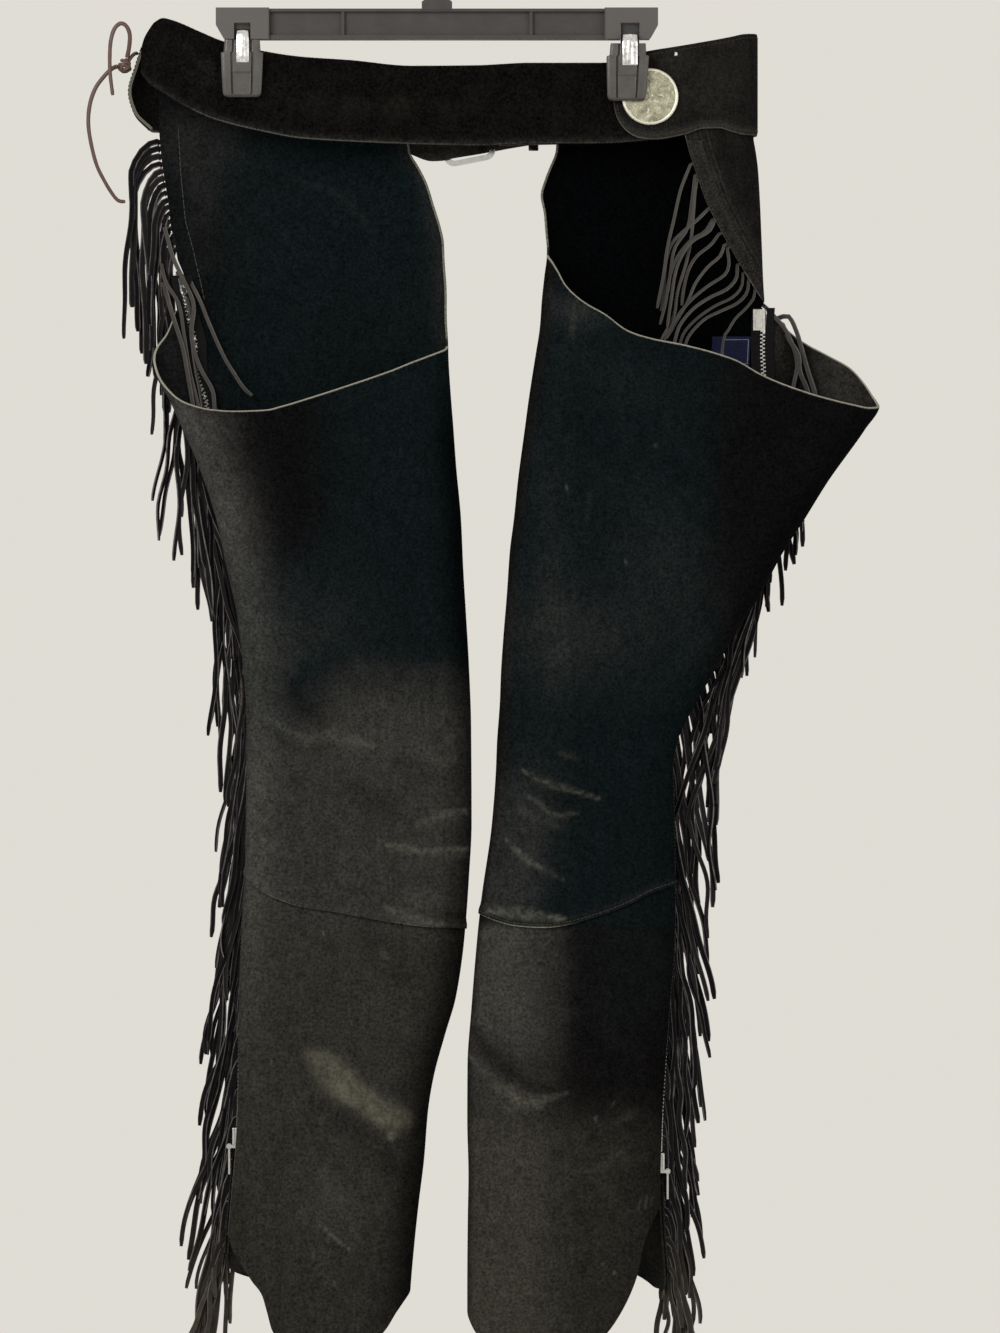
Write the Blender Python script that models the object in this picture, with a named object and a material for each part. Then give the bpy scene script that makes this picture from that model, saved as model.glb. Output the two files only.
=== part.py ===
"""Fringed suede chaps on a two-clip trouser hanger, hanging with the back of
the legs towards -Y.  Metres, +Z up.  The origin is the inner crown of the
hanger's hook, the point that a rail or a peg carries.

Every table below is in millimetres.  A leg is one flattened tube: at each
height it has an outer and an inner edge, a middle depth and a half depth, and
a zip line at an angle round it.  Angle 0 is the outer edge, 180 the inner
fold; positive angles run over the near side, negative ones over the far side.
"""
import math

import bmesh
import bpy
from mathutils import Matrix, Vector

for old in list(bpy.data.objects):
    bpy.data.objects.remove(old, do_unlink=True)

MM = 0.001

# ---- driving sizes, millimetres ------------------------------------------
LEATHER = 1.8            # suede of the legs
BELT = 3.2               # two layers of belt leather
STRAP = 3.0
STRIP = 1.6              # stitched heading of the fringe
TAPE = 0.7               # zip tape
SEAM = 0.3               # gap between pieces that are sewn together
ZIP_GAP = 8.0            # between the two leather edges of a zip
ROUND = 2.6              # how blunt the ends of a leg's section are
FAR_Y = 42.0             # far wall at the belt
CONCHO_R = 23.0
HOOK_R = 19.0            # inside of the hook's crown
HOOK_WIRE = 3.2          # radius of the hook's rod

LEFT = {
    "side": -1.0,
    # height, outer x, inner x, middle y, half depth, zip angle, inner curl, outer curl
    "rows": (
        (-115.0, -240.0, -30.0, 22.0, 20.0, 30.0, 0.15, 0.15),
        (-158.0, -240.0, -24.5, 21.0, 21.0, 30.0, 0.18, 0.20),
        (-174.0, -239.6, -23.2, 20.5, 21.5, 31.0, 0.22, 0.25),
        (-188.0, -239.0, -16.0, 20.0, 22.0, 31.5, 0.28, 0.30),
        (-202.0, -238.0, -9.0, 19.0, 23.0, 32.4, 0.35, 0.35),
        (-216.0, -236.0, -4.0, 18.0, 24.0, 32.3, 0.42, 0.45),
        (-234.0, -234.0, 1.5, 17.5, 24.5, 32.1, 0.50, 0.60),
        (-250.0, -232.0, 4.8, 17.0, 25.0, 33.4, 0.58, 0.80),
        (-276.0, -229.0, 5.8, 16.5, 25.5, 34.5, 0.75, 1.0),
        (-310.0, -228.2, 7.0, 16.0, 26.0, 39.0, 0.92, 1.0),
        (-333.0, -228.4, 8.1, 16.0, 26.0, 43.0, 1.0, 1.0),
        (-343.0, -228.6, 8.3, 16.0, 26.0, 43.0, 1.0, 1.0),
        (-356.0, -226.4, 9.0, 15.8, 25.8, 42.5, 1.0, 1.0),
        (-377.0, -215.2, 10.5, 15.5, 25.5, 40.5, 1.0, 1.0),
        (-397.0, -206.3, 12.1, 15.2, 24.8, 35.0, 1.0, 1.0),
        (-430.0, -191.8, 14.5, 15.0, 23.5, 28.0, 1.0, 1.0),
        (-474.0, -177.3, 18.5, 14.5, 21.5, 22.0, 1.0, 1.0),
        (-512.0, -169.2, 20.2, 14.2, 19.8, 20.0, 1.0, 1.0),
        (-552.0, -160.6, 22.6, 14.0, 18.4, 18.0, 1.0, 1.0),
        (-590.0, -156.2, 24.8, 14.0, 17.2, 16.0, 1.0, 1.0),
        (-640.0, -152.8, 26.6, 14.0, 16.4, 14.0, 1.0, 1.0),
        (-719.0, -153.5, 27.0, 14.0, 15.8, 13.0, 1.0, 1.0),
        (-760.0, -154.4, 25.0, 14.0, 15.5, 12.0, 1.0, 1.0),
        (-813.0, -157.4, 21.0, 14.2, 15.6, 11.0, 1.0, 1.0),
        (-858.0, -159.0, 14.5, 14.5, 16.0, 9.0, 1.0, 1.0),
        (-889.0, -159.6, 5.6, 14.8, 16.3, 7.0, 1.0, 1.0),
        (-923.0, -160.0, -3.6, 15.0, 16.8, 4.0, 1.0, 1.0),
        (-950.0, -160.6, -8.1, 15.2, 17.2, 2.0, 1.0, 1.0),
        (-991.0, -163.5, -11.5, 15.6, 17.6, 0.0, 1.0, 1.0),
        (-1025.0, -166.6, -15.7, 16.0, 18.0, 0.0, 1.0, 1.0),
        (-1060.0, -169.5, -19.4, 16.2, 18.2, 0.0, 1.0, 1.0),
        (-1095.0, -172.0, -22.4, 16.4, 18.0, 0.0, 1.0, 1.0),
        (-1160.0, -174.0, -26.0, 16.6, 17.6, 0.0, 1.0, 1.0),
    ),
    # raw top edge of the near side, from the zip over the outer edge to the
    # inner fold: angle, height
    "rim": (
        (-34.5, -276.5), (-30.0, -305.0), (-21.5, -324.0), (-11.0, -333.0),
        (0.0, -342.6), (7.0, -355.0), (12.0, -366.0), (19.0, -374.5),
        (30.5, -380.6), (43.0, -384.6), (56.0, -386.0), (70.0, -385.2),
        (78.0, -382.0), (93.6, -373.5), (113.5, -361.8), (127.0, -353.8),
        (141.0, -345.6), (158.0, -338.5), (180.0, -333.0),
    ),
    "belt_line": (-122.0, -158.0),     # top of the far panel: outer, inner edge
    "knee": (                          # angle (either side), height
        (0.0, -759.5), (14.0, -764.0), (32.0, -773.0), (49.0, -781.0),
        (62.0, -786.0), (79.0, -790.0), (93.0, -794.0), (109.0, -798.0),
        (129.0, -801.6), (150.0, -803.0), (180.0, -803.6),
    ),
    "hem": (                           # angle, height
        (-180.0, -1095.0), (-150.0, -1100.0), (-90.0, -1098.0),
        (-40.0, -1091.0), (-14.0, -1080.0), (-8.0, -1074.0), (0.0, -1062.0),
        (14.0, -1068.0), (36.0, -1086.0), (51.0, -1101.0), (58.5, -1112.0),
        (63.0, -1128.0), (76.0, -1143.5), (98.0, -1149.4), (122.0, -1143.0),
        (138.5, -1128.0), (151.0, -1112.0), (165.0, -1101.0), (180.0, -1095.0),
    ),
    "zip": (-276.5, -964.3),           # chain: top, bottom
    "slider": (-964.6, -981.2),
    "strip": (-164.5, -1066.0),
    # fringe: height, x of the longest tips
    "tips": (
        (-168.0, -244.0), (-200.0, -252.0), (-284.0, -254.5), (-345.0, -249.0),
        (-390.0, -241.0), (-440.0, -240.0), (-484.0, -231.0), (-525.0, -207.0),
        (-557.0, -193.0), (-622.0, -183.0), (-697.0, -182.0), (-761.0, -178.0),
        (-824.0, -181.0), (-870.0, -184.0), (-934.0, -198.0), (-1005.0, -197.0),
        (-1085.0, -214.0), (-1104.0, -211.0), (-1129.0, -204.0),
    ),
    "fringe": (("top", -168.0, -372.0), ("mid", -376.0, -740.0), ("low", -744.0, -1129.0)),
}

RIGHT = {
    "side": 1.0,
    "rows": (
        (-140.0, 340.0, 97.5, 20.0, 22.0, 62.0, 0.15, 1.0),
        (-173.0, 340.0, 96.5, 19.5, 22.5, 60.0, 0.20, 1.0),
        (-190.0, 340.0, 91.1, 19.0, 23.0, 60.0, 0.30, 1.0),
        (-197.0, 340.0, 88.6, 18.8, 23.2, 60.0, 0.36, 1.0),
        (-211.0, 340.0, 84.8, 18.0, 24.0, 60.0, 0.50, 1.0),
        (-226.0, 340.5, 87.4, 17.0, 25.0, 61.0, 0.66, 1.0),
        (-243.0, 341.0, 88.7, 16.0, 26.0, 62.0, 0.84, 1.0),
        (-259.5, 342.0, 89.5, 15.0, 27.0, 63.0, 1.0, 1.0),
        (-277.0, 343.5, 87.5, 14.4, 27.6, 65.0, 1.0, 1.0),
        (-297.0, 345.0, 85.4, 13.6, 28.4, 67.0, 1.0, 1.0),
        (-317.0, 348.0, 84.0, 13.0, 29.0, 68.6, 1.0, 1.0),
        (-340.0, 352.5, 80.5, 13.0, 29.6, 69.6, 1.0, 1.0),
        (-362.0, 356.2, 77.0, 13.0, 30.0, 69.8, 1.0, 1.0),
        (-381.0, 356.5, 74.2, 13.0, 30.0, 69.3, 1.0, 1.0),
        (-400.0, 345.0, 71.7, 13.2, 29.4, 65.5, 1.0, 1.0),
        (-442.0, 315.1, 66.1, 13.6, 27.6, 53.9, 1.0, 1.0),
        (-473.0, 295.8, 62.9, 13.8, 25.8, 46.0, 1.0, 1.0),
        (-499.0, 278.9, 59.6, 14.0, 24.0, 40.0, 1.0, 1.0),
        (-534.0, 260.0, 57.2, 14.0, 21.8, 36.0, 1.0, 1.0),
        (-568.0, 238.2, 54.4, 14.0, 19.8, 31.0, 1.0, 1.0),
        (-598.0, 221.7, 52.4, 14.0, 18.4, 27.5, 1.0, 1.0),
        (-620.0, 209.0, 51.6, 14.0, 17.4, 24.0, 1.0, 1.0),
        (-654.0, 193.0, 49.2, 14.0, 16.5, 18.0, 1.0, 1.0),
        (-675.0, 189.8, 48.4, 14.0, 16.2, 15.5, 1.0, 1.0),
        (-720.0, 190.8, 45.0, 14.0, 15.8, 13.5, 1.0, 1.0),
        (-779.0, 191.6, 36.7, 14.0, 15.5, 12.0, 1.0, 1.0),
        (-812.0, 191.2, 33.2, 14.2, 15.6, 11.0, 1.0, 1.0),
        (-869.0, 187.0, 28.5, 14.6, 16.0, 9.0, 1.0, 1.0),
        (-914.0, 183.8, 25.4, 15.0, 16.6, 6.0, 1.0, 1.0),
        (-958.0, 181.2, 25.2, 15.4, 17.2, 3.0, 1.0, 1.0),
        (-1003.0, 180.2, 26.2, 15.8, 17.6, 0.0, 1.0, 1.0),
        (-1040.0, 181.5, 25.6, 16.2, 18.0, 0.0, 1.0, 1.0),
        (-1092.0, 185.2, 25.2, 16.4, 18.0, 0.0, 1.0, 1.0),
        (-1165.0, 186.0, 25.2, 16.6, 17.6, 0.0, 1.0, 1.0),
    ),
    "rim": (
        (-68.0, -306.3), (-61.5, -316.8), (-54.0, -328.4), (-42.0, -340.2),
        (-32.0, -349.4), (-23.0, -362.0), (-12.0, -375.0), (0.0, -381.4),
        (20.0, -383.0), (33.6, -380.4), (48.2, -374.8), (60.0, -367.5),
        (70.7, -358.0), (81.0, -344.4), (97.4, -333.2), (108.9, -328.0),
        (117.7, -322.0), (128.0, -308.0), (137.4, -299.0), (150.0, -284.5),
        (158.0, -272.4), (168.0, -263.6), (180.0, -259.5),
    ),
    "belt_line": (-143.0, -156.0),
    "knee": (
        (0.0, -767.5), (18.0, -769.5), (39.6, -774.2), (62.0, -785.9),
        (82.0, -794.0), (97.5, -801.0), (110.0, -803.7), (129.0, -803.6),
        (146.0, -800.2), (163.0, -795.0), (180.0, -791.6),
    ),
    "hem": (
        (-180.0, -1112.0), (-150.0, -1106.0), (-90.0, -1098.0),
        (-40.0, -1096.5), (-14.0, -1093.5), (-8.0, -1090.0), (0.0, -1026.0),
        (12.0, -1029.0), (36.0, -1054.0), (46.0, -1085.0), (55.0, -1107.0),
        (66.0, -1128.0), (82.5, -1149.0), (103.0, -1155.0), (129.0, -1149.4),
        (154.0, -1131.0), (168.0, -1118.0), (180.0, -1112.0),
    ),
    "zip": (-306.3, -984.6),
    "slider": (-985.0, -1001.4),
    "strip": (-318.0, -1080.0),
    "tips": (
        (-330.0, 292.0), (-440.0, 300.0), (-487.0, 298.0), (-515.0, 288.0),
        (-541.0, 281.0), (-577.0, 263.0), (-597.0, 248.0), (-623.0, 244.0),
        (-660.0, 238.0), (-692.0, 226.0), (-740.0, 227.0), (-830.0, 227.0),
        (-893.0, 222.0), (-943.0, 224.0), (-1006.0, 212.0), (-1077.0, 219.0),
        (-1111.0, 218.0), (-1135.0, 208.0),
    ),
    "fringe": (("mid", -330.0, -700.0), ("low", -704.0, -1135.0)),
}

# The right hip: the far panel wraps forward round the hip and its free edge,
# with the fringe on it, runs down to the top of the zip.
HIP = (
    # height, outermost x, y of the near lap, x of its free edge
    (-143.0, 254.6, -0.7, 196.0),
    (-164.0, 254.9, -0.7, 200.0),
    (-176.0, 256.8, 0.0, 203.0),
    (-190.0, 258.6, 1.4, 207.6),
    (-215.0, 260.2, 6.0, 216.4),
    (-239.0, 261.4, 14.0, 229.0),
    (-258.0, 262.3, 22.5, 240.0),
    (-275.0, 263.1, 31.0, 250.5),
    (-288.0, 263.9, 37.4, 259.0),
    (-296.0, 264.6, 41.0, 264.4),
)


# ---- small tools ----------------------------------------------------------
def interp(table, key, column):
    """Value of a column at a height or an angle, smooth and without overshoot."""
    rows = table if table[0][0] < table[-1][0] else table[::-1]
    if key <= rows[0][0]:
        return rows[0][column]
    if key >= rows[-1][0]:
        return rows[-1][column]
    i = 0
    while rows[i + 1][0] < key:
        i += 1

    def slope(k):
        return (rows[k + 1][column] - rows[k][column]) / (rows[k + 1][0] - rows[k][0])

    def tangent(k):
        if k <= 0:
            return slope(0)
        if k >= len(rows) - 1:
            return slope(len(rows) - 2)
        a, b = slope(k - 1), slope(k)
        return 0.0 if a * b <= 0.0 else 2.0 * a * b / (a + b)

    h = rows[i + 1][0] - rows[i][0]
    t = (key - rows[i][0]) / h
    return ((2 * t ** 3 - 3 * t ** 2 + 1) * rows[i][column]
            + (t ** 3 - 2 * t ** 2 + t) * h * tangent(i)
            + (3 * t ** 2 - 2 * t ** 3) * rows[i + 1][column]
            + (t ** 3 - t ** 2) * h * tangent(i + 1))


def section(leg, z):
    names = ("outer", "inner", "mid", "half", "zip", "curl_in", "curl_out")
    s = {n: interp(leg["rows"], z, i + 1) for i, n in enumerate(names)}
    s["cx"] = (s["outer"] + s["inner"]) / 2
    s["a"] = abs(s["outer"] - s["inner"]) / 2
    return s


def around(leg, z, angle):
    """Point of the closed tube at a height and an angle."""
    s = section(leg, z)
    c = math.cos(math.radians(angle))
    depth = s["half"] * (1.0 - min(1.0, abs(c)) ** ROUND) ** (1.0 / ROUND)
    near = math.sin(math.radians(angle)) >= 0
    return Vector((s["cx"] + leg["side"] * s["a"] * c,
                   s["mid"] - depth if near else s["mid"] + depth, z))


def along(leg, z, start, distance):
    """Angle reached after a distance round the tube; + goes to the near side."""
    step = 0.4 if distance > 0 else -0.4
    angle, left, here = start, abs(distance), around(leg, z, start)
    while left > 0:
        there = around(leg, z, angle + step)
        length = (there - here).length
        if length >= left:
            return angle + step * left / length
        angle, left, here = angle + step, left - length, there
    return angle


def zip_angle(leg, z):
    return -section(leg, z)["zip"]


def far_edge(leg, z):
    """Angle of the far panel's outer edge."""
    top = leg["zip"][0]
    gap = ZIP_GAP / 2 * min(1.0, max(0.0, (top + 14.0 - z) / 14.0))
    return along(leg, z, zip_angle(leg, z), -gap) if gap > 0 else zip_angle(leg, z)


def near_edge(leg, z):
    return along(leg, z, zip_angle(leg, z), ZIP_GAP / 2)


def hip_at(z):
    return tuple(interp(HIP, z, i) for i in (1, 2, 3))


def far_point(leg, z, t):
    """Far panel: t = 0 at the inner fold or edge, 1 at the outer edge."""
    s = section(leg, z)
    wraps = leg is RIGHT and z > HIP[-1][0]
    if wraps:
        edge, near_y, _free = hip_at(z)
    else:
        edge = around(leg, z, far_edge(leg, z)).x
    x = s["inner"] + (edge - s["inner"]) * (1 - math.cos(math.pi * t)) / 2
    xi = max(-1.0, min(1.0, leg["side"] * (x - s["cx"]) / s["a"]))
    bow = s["half"] * (1.0 - (1.0 - abs(xi) ** ROUND) ** (1.0 / ROUND))
    y = s["mid"] + s["half"] - bow * (s["curl_in"] if xi < 0 else s["curl_out"])
    if wraps:
        half = (y - near_y) / 2
        reach = min(half * 1.0, 24.0)
        k = (x - (edge - reach)) / reach if reach > 0.01 else 0.0
        if k > 0:
            y -= half * (1.0 - math.sqrt(max(0.0, 1.0 - k * k)))
    return Vector((x, y, z))


def hip_point(z, t):
    """The near lap of the right hip: t = 0 at the outermost line, 1 at its edge."""
    edge, near_y, free = hip_at(z)
    s = section(RIGHT, z)
    xi = (edge - 24.0 - s["cx"]) / s["a"]
    bow = s["half"] * (1.0 - (1.0 - abs(xi) ** ROUND) ** (1.0 / ROUND))
    far_y = s["mid"] + s["half"] - bow * (s["curl_in"] if xi < 0 else s["curl_out"])
    half = (far_y - near_y) / 2
    reach = min(half, 24.0)
    points = [Vector((edge - reach + reach * math.cos(math.pi / 2 * k / 8),
                      far_y - half - half * math.sin(math.pi / 2 * k / 8), z)) for k in range(9)]
    points.append(Vector((min(free, edge - reach - 0.01), near_y, z)))
    lengths = [0.0]
    for a, b in zip(points, points[1:]):
        lengths.append(lengths[-1] + (b - a).length)
    want = t * lengths[-1]
    for k in range(len(points) - 1):
        if lengths[k + 1] >= want or k == len(points) - 2:
            span = max(1e-6, lengths[k + 1] - lengths[k])
            return points[k].lerp(points[k + 1], (want - lengths[k]) / span)
    return points[-1]


def normal_of(function, *at, step=(1.0, 1.0)):
    """Outward normal of a surface function of two numbers."""
    u, v = at
    du, dv = step
    a = function(u + du, v) - function(u - du, v)
    b = function(u, v + dv) - function(u, v - dv)
    n = a.cross(b)
    return n.normalized()


def material(name, colour, rough, metal=0.0):
    m = bpy.data.materials.get(name) or bpy.data.materials.new(name)
    m.use_nodes = True
    shader = m.node_tree.nodes["Principled BSDF"]
    shader.inputs["Base Color"].default_value = (*colour, 1.0)
    shader.inputs["Roughness"].default_value = rough
    shader.inputs["Metallic"].default_value = metal
    m.diffuse_color = (*colour, 1.0)
    return m


SUEDE = ("black_suede", (0.012, 0.014, 0.014), 0.95)
BELT_SUEDE = ("belt_suede", (0.006, 0.006, 0.006), 0.92)
THONG = ("fringe_leather", (0.02, 0.018, 0.017), 0.8)
LACE = ("lace_leather", (0.09, 0.055, 0.045), 0.6)
CLOTH_TAPE = ("zip_tape", (0.01, 0.01, 0.012), 0.9)
METAL = ("nickel", (0.6, 0.59, 0.56), 0.3, 1.0)
CHROME = ("chrome", (0.8, 0.8, 0.8), 0.12, 1.0)
CONCHO = ("worn_nickel_silver", (0.45, 0.43, 0.32), 0.42, 1.0)
PLASTIC = ("grey_plastic", (0.07, 0.065, 0.062), 0.45)
WOVEN = ("navy_label", (0.02, 0.025, 0.09), 0.8)


def finish(name, bm, look, smooth=True):
    """Make one named object from a bmesh in millimetres."""
    bmesh.ops.scale(bm, vec=(MM, MM, MM), verts=bm.verts)
    mesh = bpy.data.meshes.new(name)
    bm.to_mesh(mesh)
    bm.free()
    if smooth:
        mesh.shade_smooth()
        mesh.set_sharp_from_angle(angle=math.radians(40))
    obj = bpy.data.objects.new(name, mesh)
    bpy.context.scene.collection.objects.link(obj)
    obj.data.materials.append(material(*look))
    return obj


def solidify(obj, thickness):
    mod = obj.modifiers.new("wall", "SOLIDIFY")
    mod.thickness = thickness * MM
    mod.offset = 0.0
    mod.use_even_offset = False
    return obj


def grid_into(bm, rows, closed=False):
    """Quads from rows of points; returns the vertices row by row."""
    verts = [[bm.verts.new(p) for p in row] for row in rows]
    for upper, lower in zip(verts, verts[1:]):
        count = len(upper)
        for k in range(count if closed else count - 1):
            bm.faces.new((upper[k], lower[k], lower[(k + 1) % count], upper[(k + 1) % count]))
    return verts


def sheet(name, rows, thickness, look):
    """A thin wall on rows of points."""
    bm = bmesh.new()
    grid_into(bm, rows)
    bmesh.ops.recalc_face_normals(bm, faces=bm.faces)
    return solidify(finish(name, bm, look), thickness)


def loft(name, sections, look, smooth=True):
    """A closed solid through sections of equal count."""
    bm = bmesh.new()
    verts = grid_into(bm, sections, closed=True)
    bm.faces.new(verts[0])
    bm.faces.new(verts[-1][::-1])
    bmesh.ops.recalc_face_normals(bm, faces=bm.faces)
    return finish(name, bm, look, smooth)


def box(name, lo, hi, look, bevel=0.0):
    bm = bmesh.new()
    bmesh.ops.create_cube(bm, size=1.0)
    size = Vector(hi) - Vector(lo)
    bmesh.ops.scale(bm, vec=size, verts=bm.verts)
    bmesh.ops.translate(bm, vec=(Vector(hi) + Vector(lo)) / 2, verts=bm.verts)
    if bevel:
        bmesh.ops.bevel(bm, geom=list(bm.edges), offset=bevel, segments=2, affect='EDGES',
                        profile=0.5, clamp_overlap=True)
    return finish(name, bm, look)


def boolean(target, other, operation):
    mod = target.modifiers.new(operation.lower(), "BOOLEAN")
    mod.operation = operation
    mod.solver = "EXACT"
    mod.object = other
    other.hide_render = True
    other.display_type = "WIRE"
    return target


def rod(name, points, radius, look, resolution=2, cyclic=False):
    """A round rod or thong along points in millimetres."""
    curve = bpy.data.curves.new(name, "CURVE")
    curve.dimensions = "3D"
    curve.bevel_depth = radius * MM
    curve.bevel_resolution = resolution
    curve.use_fill_caps = True
    spline = curve.splines.new("POLY")
    spline.points.add(len(points) - 1)
    for p, q in zip(spline.points, points):
        p.co = (q[0] * MM, q[1] * MM, q[2] * MM, 1.0)
    spline.use_cyclic_u = cyclic
    obj = bpy.data.objects.new(name, curve)
    bpy.context.scene.collection.objects.link(obj)
    curve.materials.append(material(*look))
    return obj


def smooth_route(points, spacing):
    """Evenly spaced points on one smooth curve through a short route."""
    p = [Vector(q) for q in points]
    p = [p[0] * 2 - p[1]] + p + [p[-1] * 2 - p[-2]]
    fine = []
    for i in range(1, len(p) - 2):
        for k in range(24):
            t = k / 24
            fine.append(0.5 * ((2 * p[i]) + (p[i + 1] - p[i - 1]) * t
                        + (2 * p[i - 1] - 5 * p[i] + 4 * p[i + 1] - p[i + 2]) * t * t
                        + (3 * p[i] - p[i - 1] - 3 * p[i + 1] + p[i + 2]) * t ** 3))
    fine.append(p[-2])
    lengths = [0.0]
    for a, b in zip(fine, fine[1:]):
        lengths.append(lengths[-1] + (b - a).length)
    count = max(2, round(lengths[-1] / spacing))
    out, k = [], 0
    for n in range(count + 1):
        want = lengths[-1] * n / count
        while k < len(fine) - 2 and lengths[k + 1] < want:
            k += 1
        span = max(1e-9, lengths[k + 1] - lengths[k])
        out.append(fine[k].lerp(fine[k + 1], min(1.0, (want - lengths[k]) / span)))
    return out


# ---- the legs -------------------------------------------------------------
NEAR_COLUMNS, FAR_COLUMNS, HIP_COLUMNS = 15, 10, 5
UPPER_ROWS, TOP_ROWS, LOWER_ROWS = 14, 7, 9


def knee_height(leg, angle):
    a = abs((angle + 180.0) % 360.0 - 180.0)
    return interp(leg["knee"], a, 1)


def near_angle(leg, z, u):
    start = near_edge(leg, z)
    return start + (180.0 - start) * u


def settle(height_of, z):
    """Height where a column that shifts with height meets a cut edge."""
    for _ in range(12):
        z = height_of(z)
    return z


def far_angle(leg, z, t):
    """Angle of a far panel's column, where the tube is closed."""
    p, s = far_point(leg, z, t), section(leg, z)
    c = max(-1.0, min(1.0, leg["side"] * (p.x - s["cx"]) / s["a"]))
    return -math.degrees(math.acos(c))


def leg_upper(name, leg):
    bm = bmesh.new()
    rim = leg["rim"]
    inner_top, zip_top = rim[-1][1], rim[0][1]
    outer_belt, inner_belt = leg["belt_line"]
    rows = []
    for j in range(UPPER_ROWS + 1):
        f = (j / UPPER_ROWS) ** 1.3
        row = []
        for i in range(NEAR_COLUMNS + 1):
            u = i / NEAR_COLUMNS
            top = settle(lambda z: interp(rim, near_angle(leg, z, u), 1), -330.0)
            low = settle(lambda z: knee_height(leg, near_angle(leg, z, u)) + SEAM / 2, -780.0)
            z = top + (low - top) * f
            row.append(around(leg, z, near_angle(leg, z, u)))
        for i in range(1, FAR_COLUMNS + 1):
            t = i / FAR_COLUMNS
            top = inner_top + (zip_top - inner_top) * t
            low = settle(lambda z: knee_height(leg, far_angle(leg, z, t)) + SEAM / 2, -780.0)
            row.append(far_point(leg, top + (low - top) * f, t))
        rows.append(row)
    lower = grid_into(bm, rows)
    seam = lower[0][NEAR_COLUMNS:]
    top_rows = []
    for j in range(TOP_ROWS):
        row = []
        for i in range(FAR_COLUMNS + 1):
            t = i / FAR_COLUMNS
            low = inner_top + (zip_top - inner_top) * t
            if leg is RIGHT and t == 1.0:
                low = HIP[-1][0]
            high = inner_belt + (outer_belt - inner_belt) * t
            row.append(far_point(leg, high + (low - high) * j / TOP_ROWS, t))
        top_rows.append(row)
    upper = grid_into(bm, top_rows)
    for k in range(FAR_COLUMNS):
        bm.faces.new((upper[-1][k], seam[k], seam[k + 1], upper[-1][k + 1]))
    if leg is RIGHT:
        # the lap over the hip ends in a point at the top of the zip
        fold = [row[-1] for row in upper]
        previous = [fold[0]] + [bm.verts.new(hip_point(outer_belt, k / HIP_COLUMNS))
                                for k in range(1, HIP_COLUMNS + 1)]
        for j in range(1, TOP_ROWS):
            z = outer_belt + (HIP[-1][0] - outer_belt) * j / TOP_ROWS
            here = [fold[j]] + [bm.verts.new(hip_point(z, k / HIP_COLUMNS))
                                for k in range(1, HIP_COLUMNS + 1)]
            for k in range(HIP_COLUMNS):
                bm.faces.new((previous[k], here[k], here[k + 1], previous[k + 1]))
            previous = here
        tip = seam[-1]
        for k in range(HIP_COLUMNS):
            bm.faces.new((previous[k], tip, previous[k + 1]))
    bmesh.ops.recalc_face_normals(bm, faces=bm.faces)
    return solidify(finish(name, bm, SUEDE), LEATHER)


def leg_lower(name, leg):
    rows = []
    for j in range(LOWER_ROWS + 1):
        f = j / LOWER_ROWS
        row = []
        for i in range(NEAR_COLUMNS + 1):
            u = i / NEAR_COLUMNS
            top = settle(lambda z: knee_height(leg, near_angle(leg, z, u)) - SEAM / 2, -780.0)
            low = settle(lambda z: interp(leg["hem"], near_angle(leg, z, u), 1), -1090.0)
            z = top + (low - top) * f
            row.append(around(leg, z, near_angle(leg, z, u)))
        for i in range(1, FAR_COLUMNS + 1):
            t = i / FAR_COLUMNS
            top = settle(lambda z: knee_height(leg, far_angle(leg, z, t)) - SEAM / 2, -780.0)
            low = settle(lambda z: interp(leg["hem"], far_angle(leg, z, t), 1), -1090.0)
            row.append(far_point(leg, top + (low - top) * f, t))
        rows.append(row)
    return sheet(name, rows, LEATHER, SUEDE)


def top_strip(name, leg, top, bottom, width, offset, thickness, look, rows=6):
    """The heading strip on the far panel above the zip, at its outer edge."""
    grid = []
    for j in range(rows + 1):
        z = top + (bottom - top) * j / rows
        edge, inner = far_point(leg, z, 1.0), section(leg, z)["inner"]
        t_in = 1.0 - math.acos(max(-1.0, 1.0 - 2.0 * width / abs(edge.x - inner))) / math.pi
        out = Vector((0, offset, 0))
        grid.append([far_point(leg, z, 1.0) + out, far_point(leg, z, (1.0 + t_in) / 2) + out,
                     far_point(leg, z, t_in) + out])
    return grid


leg_upper("leg_left_upper", LEFT)
leg_upper("leg_right_upper", RIGHT)
leg_lower("leg_left_lower", LEFT)
leg_lower("leg_right_lower", RIGHT)

# ---- heading strips of the fringe ------------------------------------------
STRIP_OUT = LEATHER / 2 + SEAM + STRIP / 2
STRIP_WIDE = 12.0


def zip_side(leg, top, bottom, first, last, offset, rows):
    grid = []
    for j in range(rows + 1):
        z = top + (bottom - top) * j / rows
        row = []
        for d in (first, (first + last) / 2, last):
            angle = along(leg, z, zip_angle(leg, z), d)
            n = normal_of(lambda a, h: around(leg, h, a), angle, z, step=(0.6, 2.0))
            p = around(leg, z, angle)
            if n.dot(p - Vector((section(leg, z)["cx"], section(leg, z)["mid"], z))) < 0:
                n = -n
            row.append(p + n * offset)
        grid.append(row)
    return grid


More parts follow.
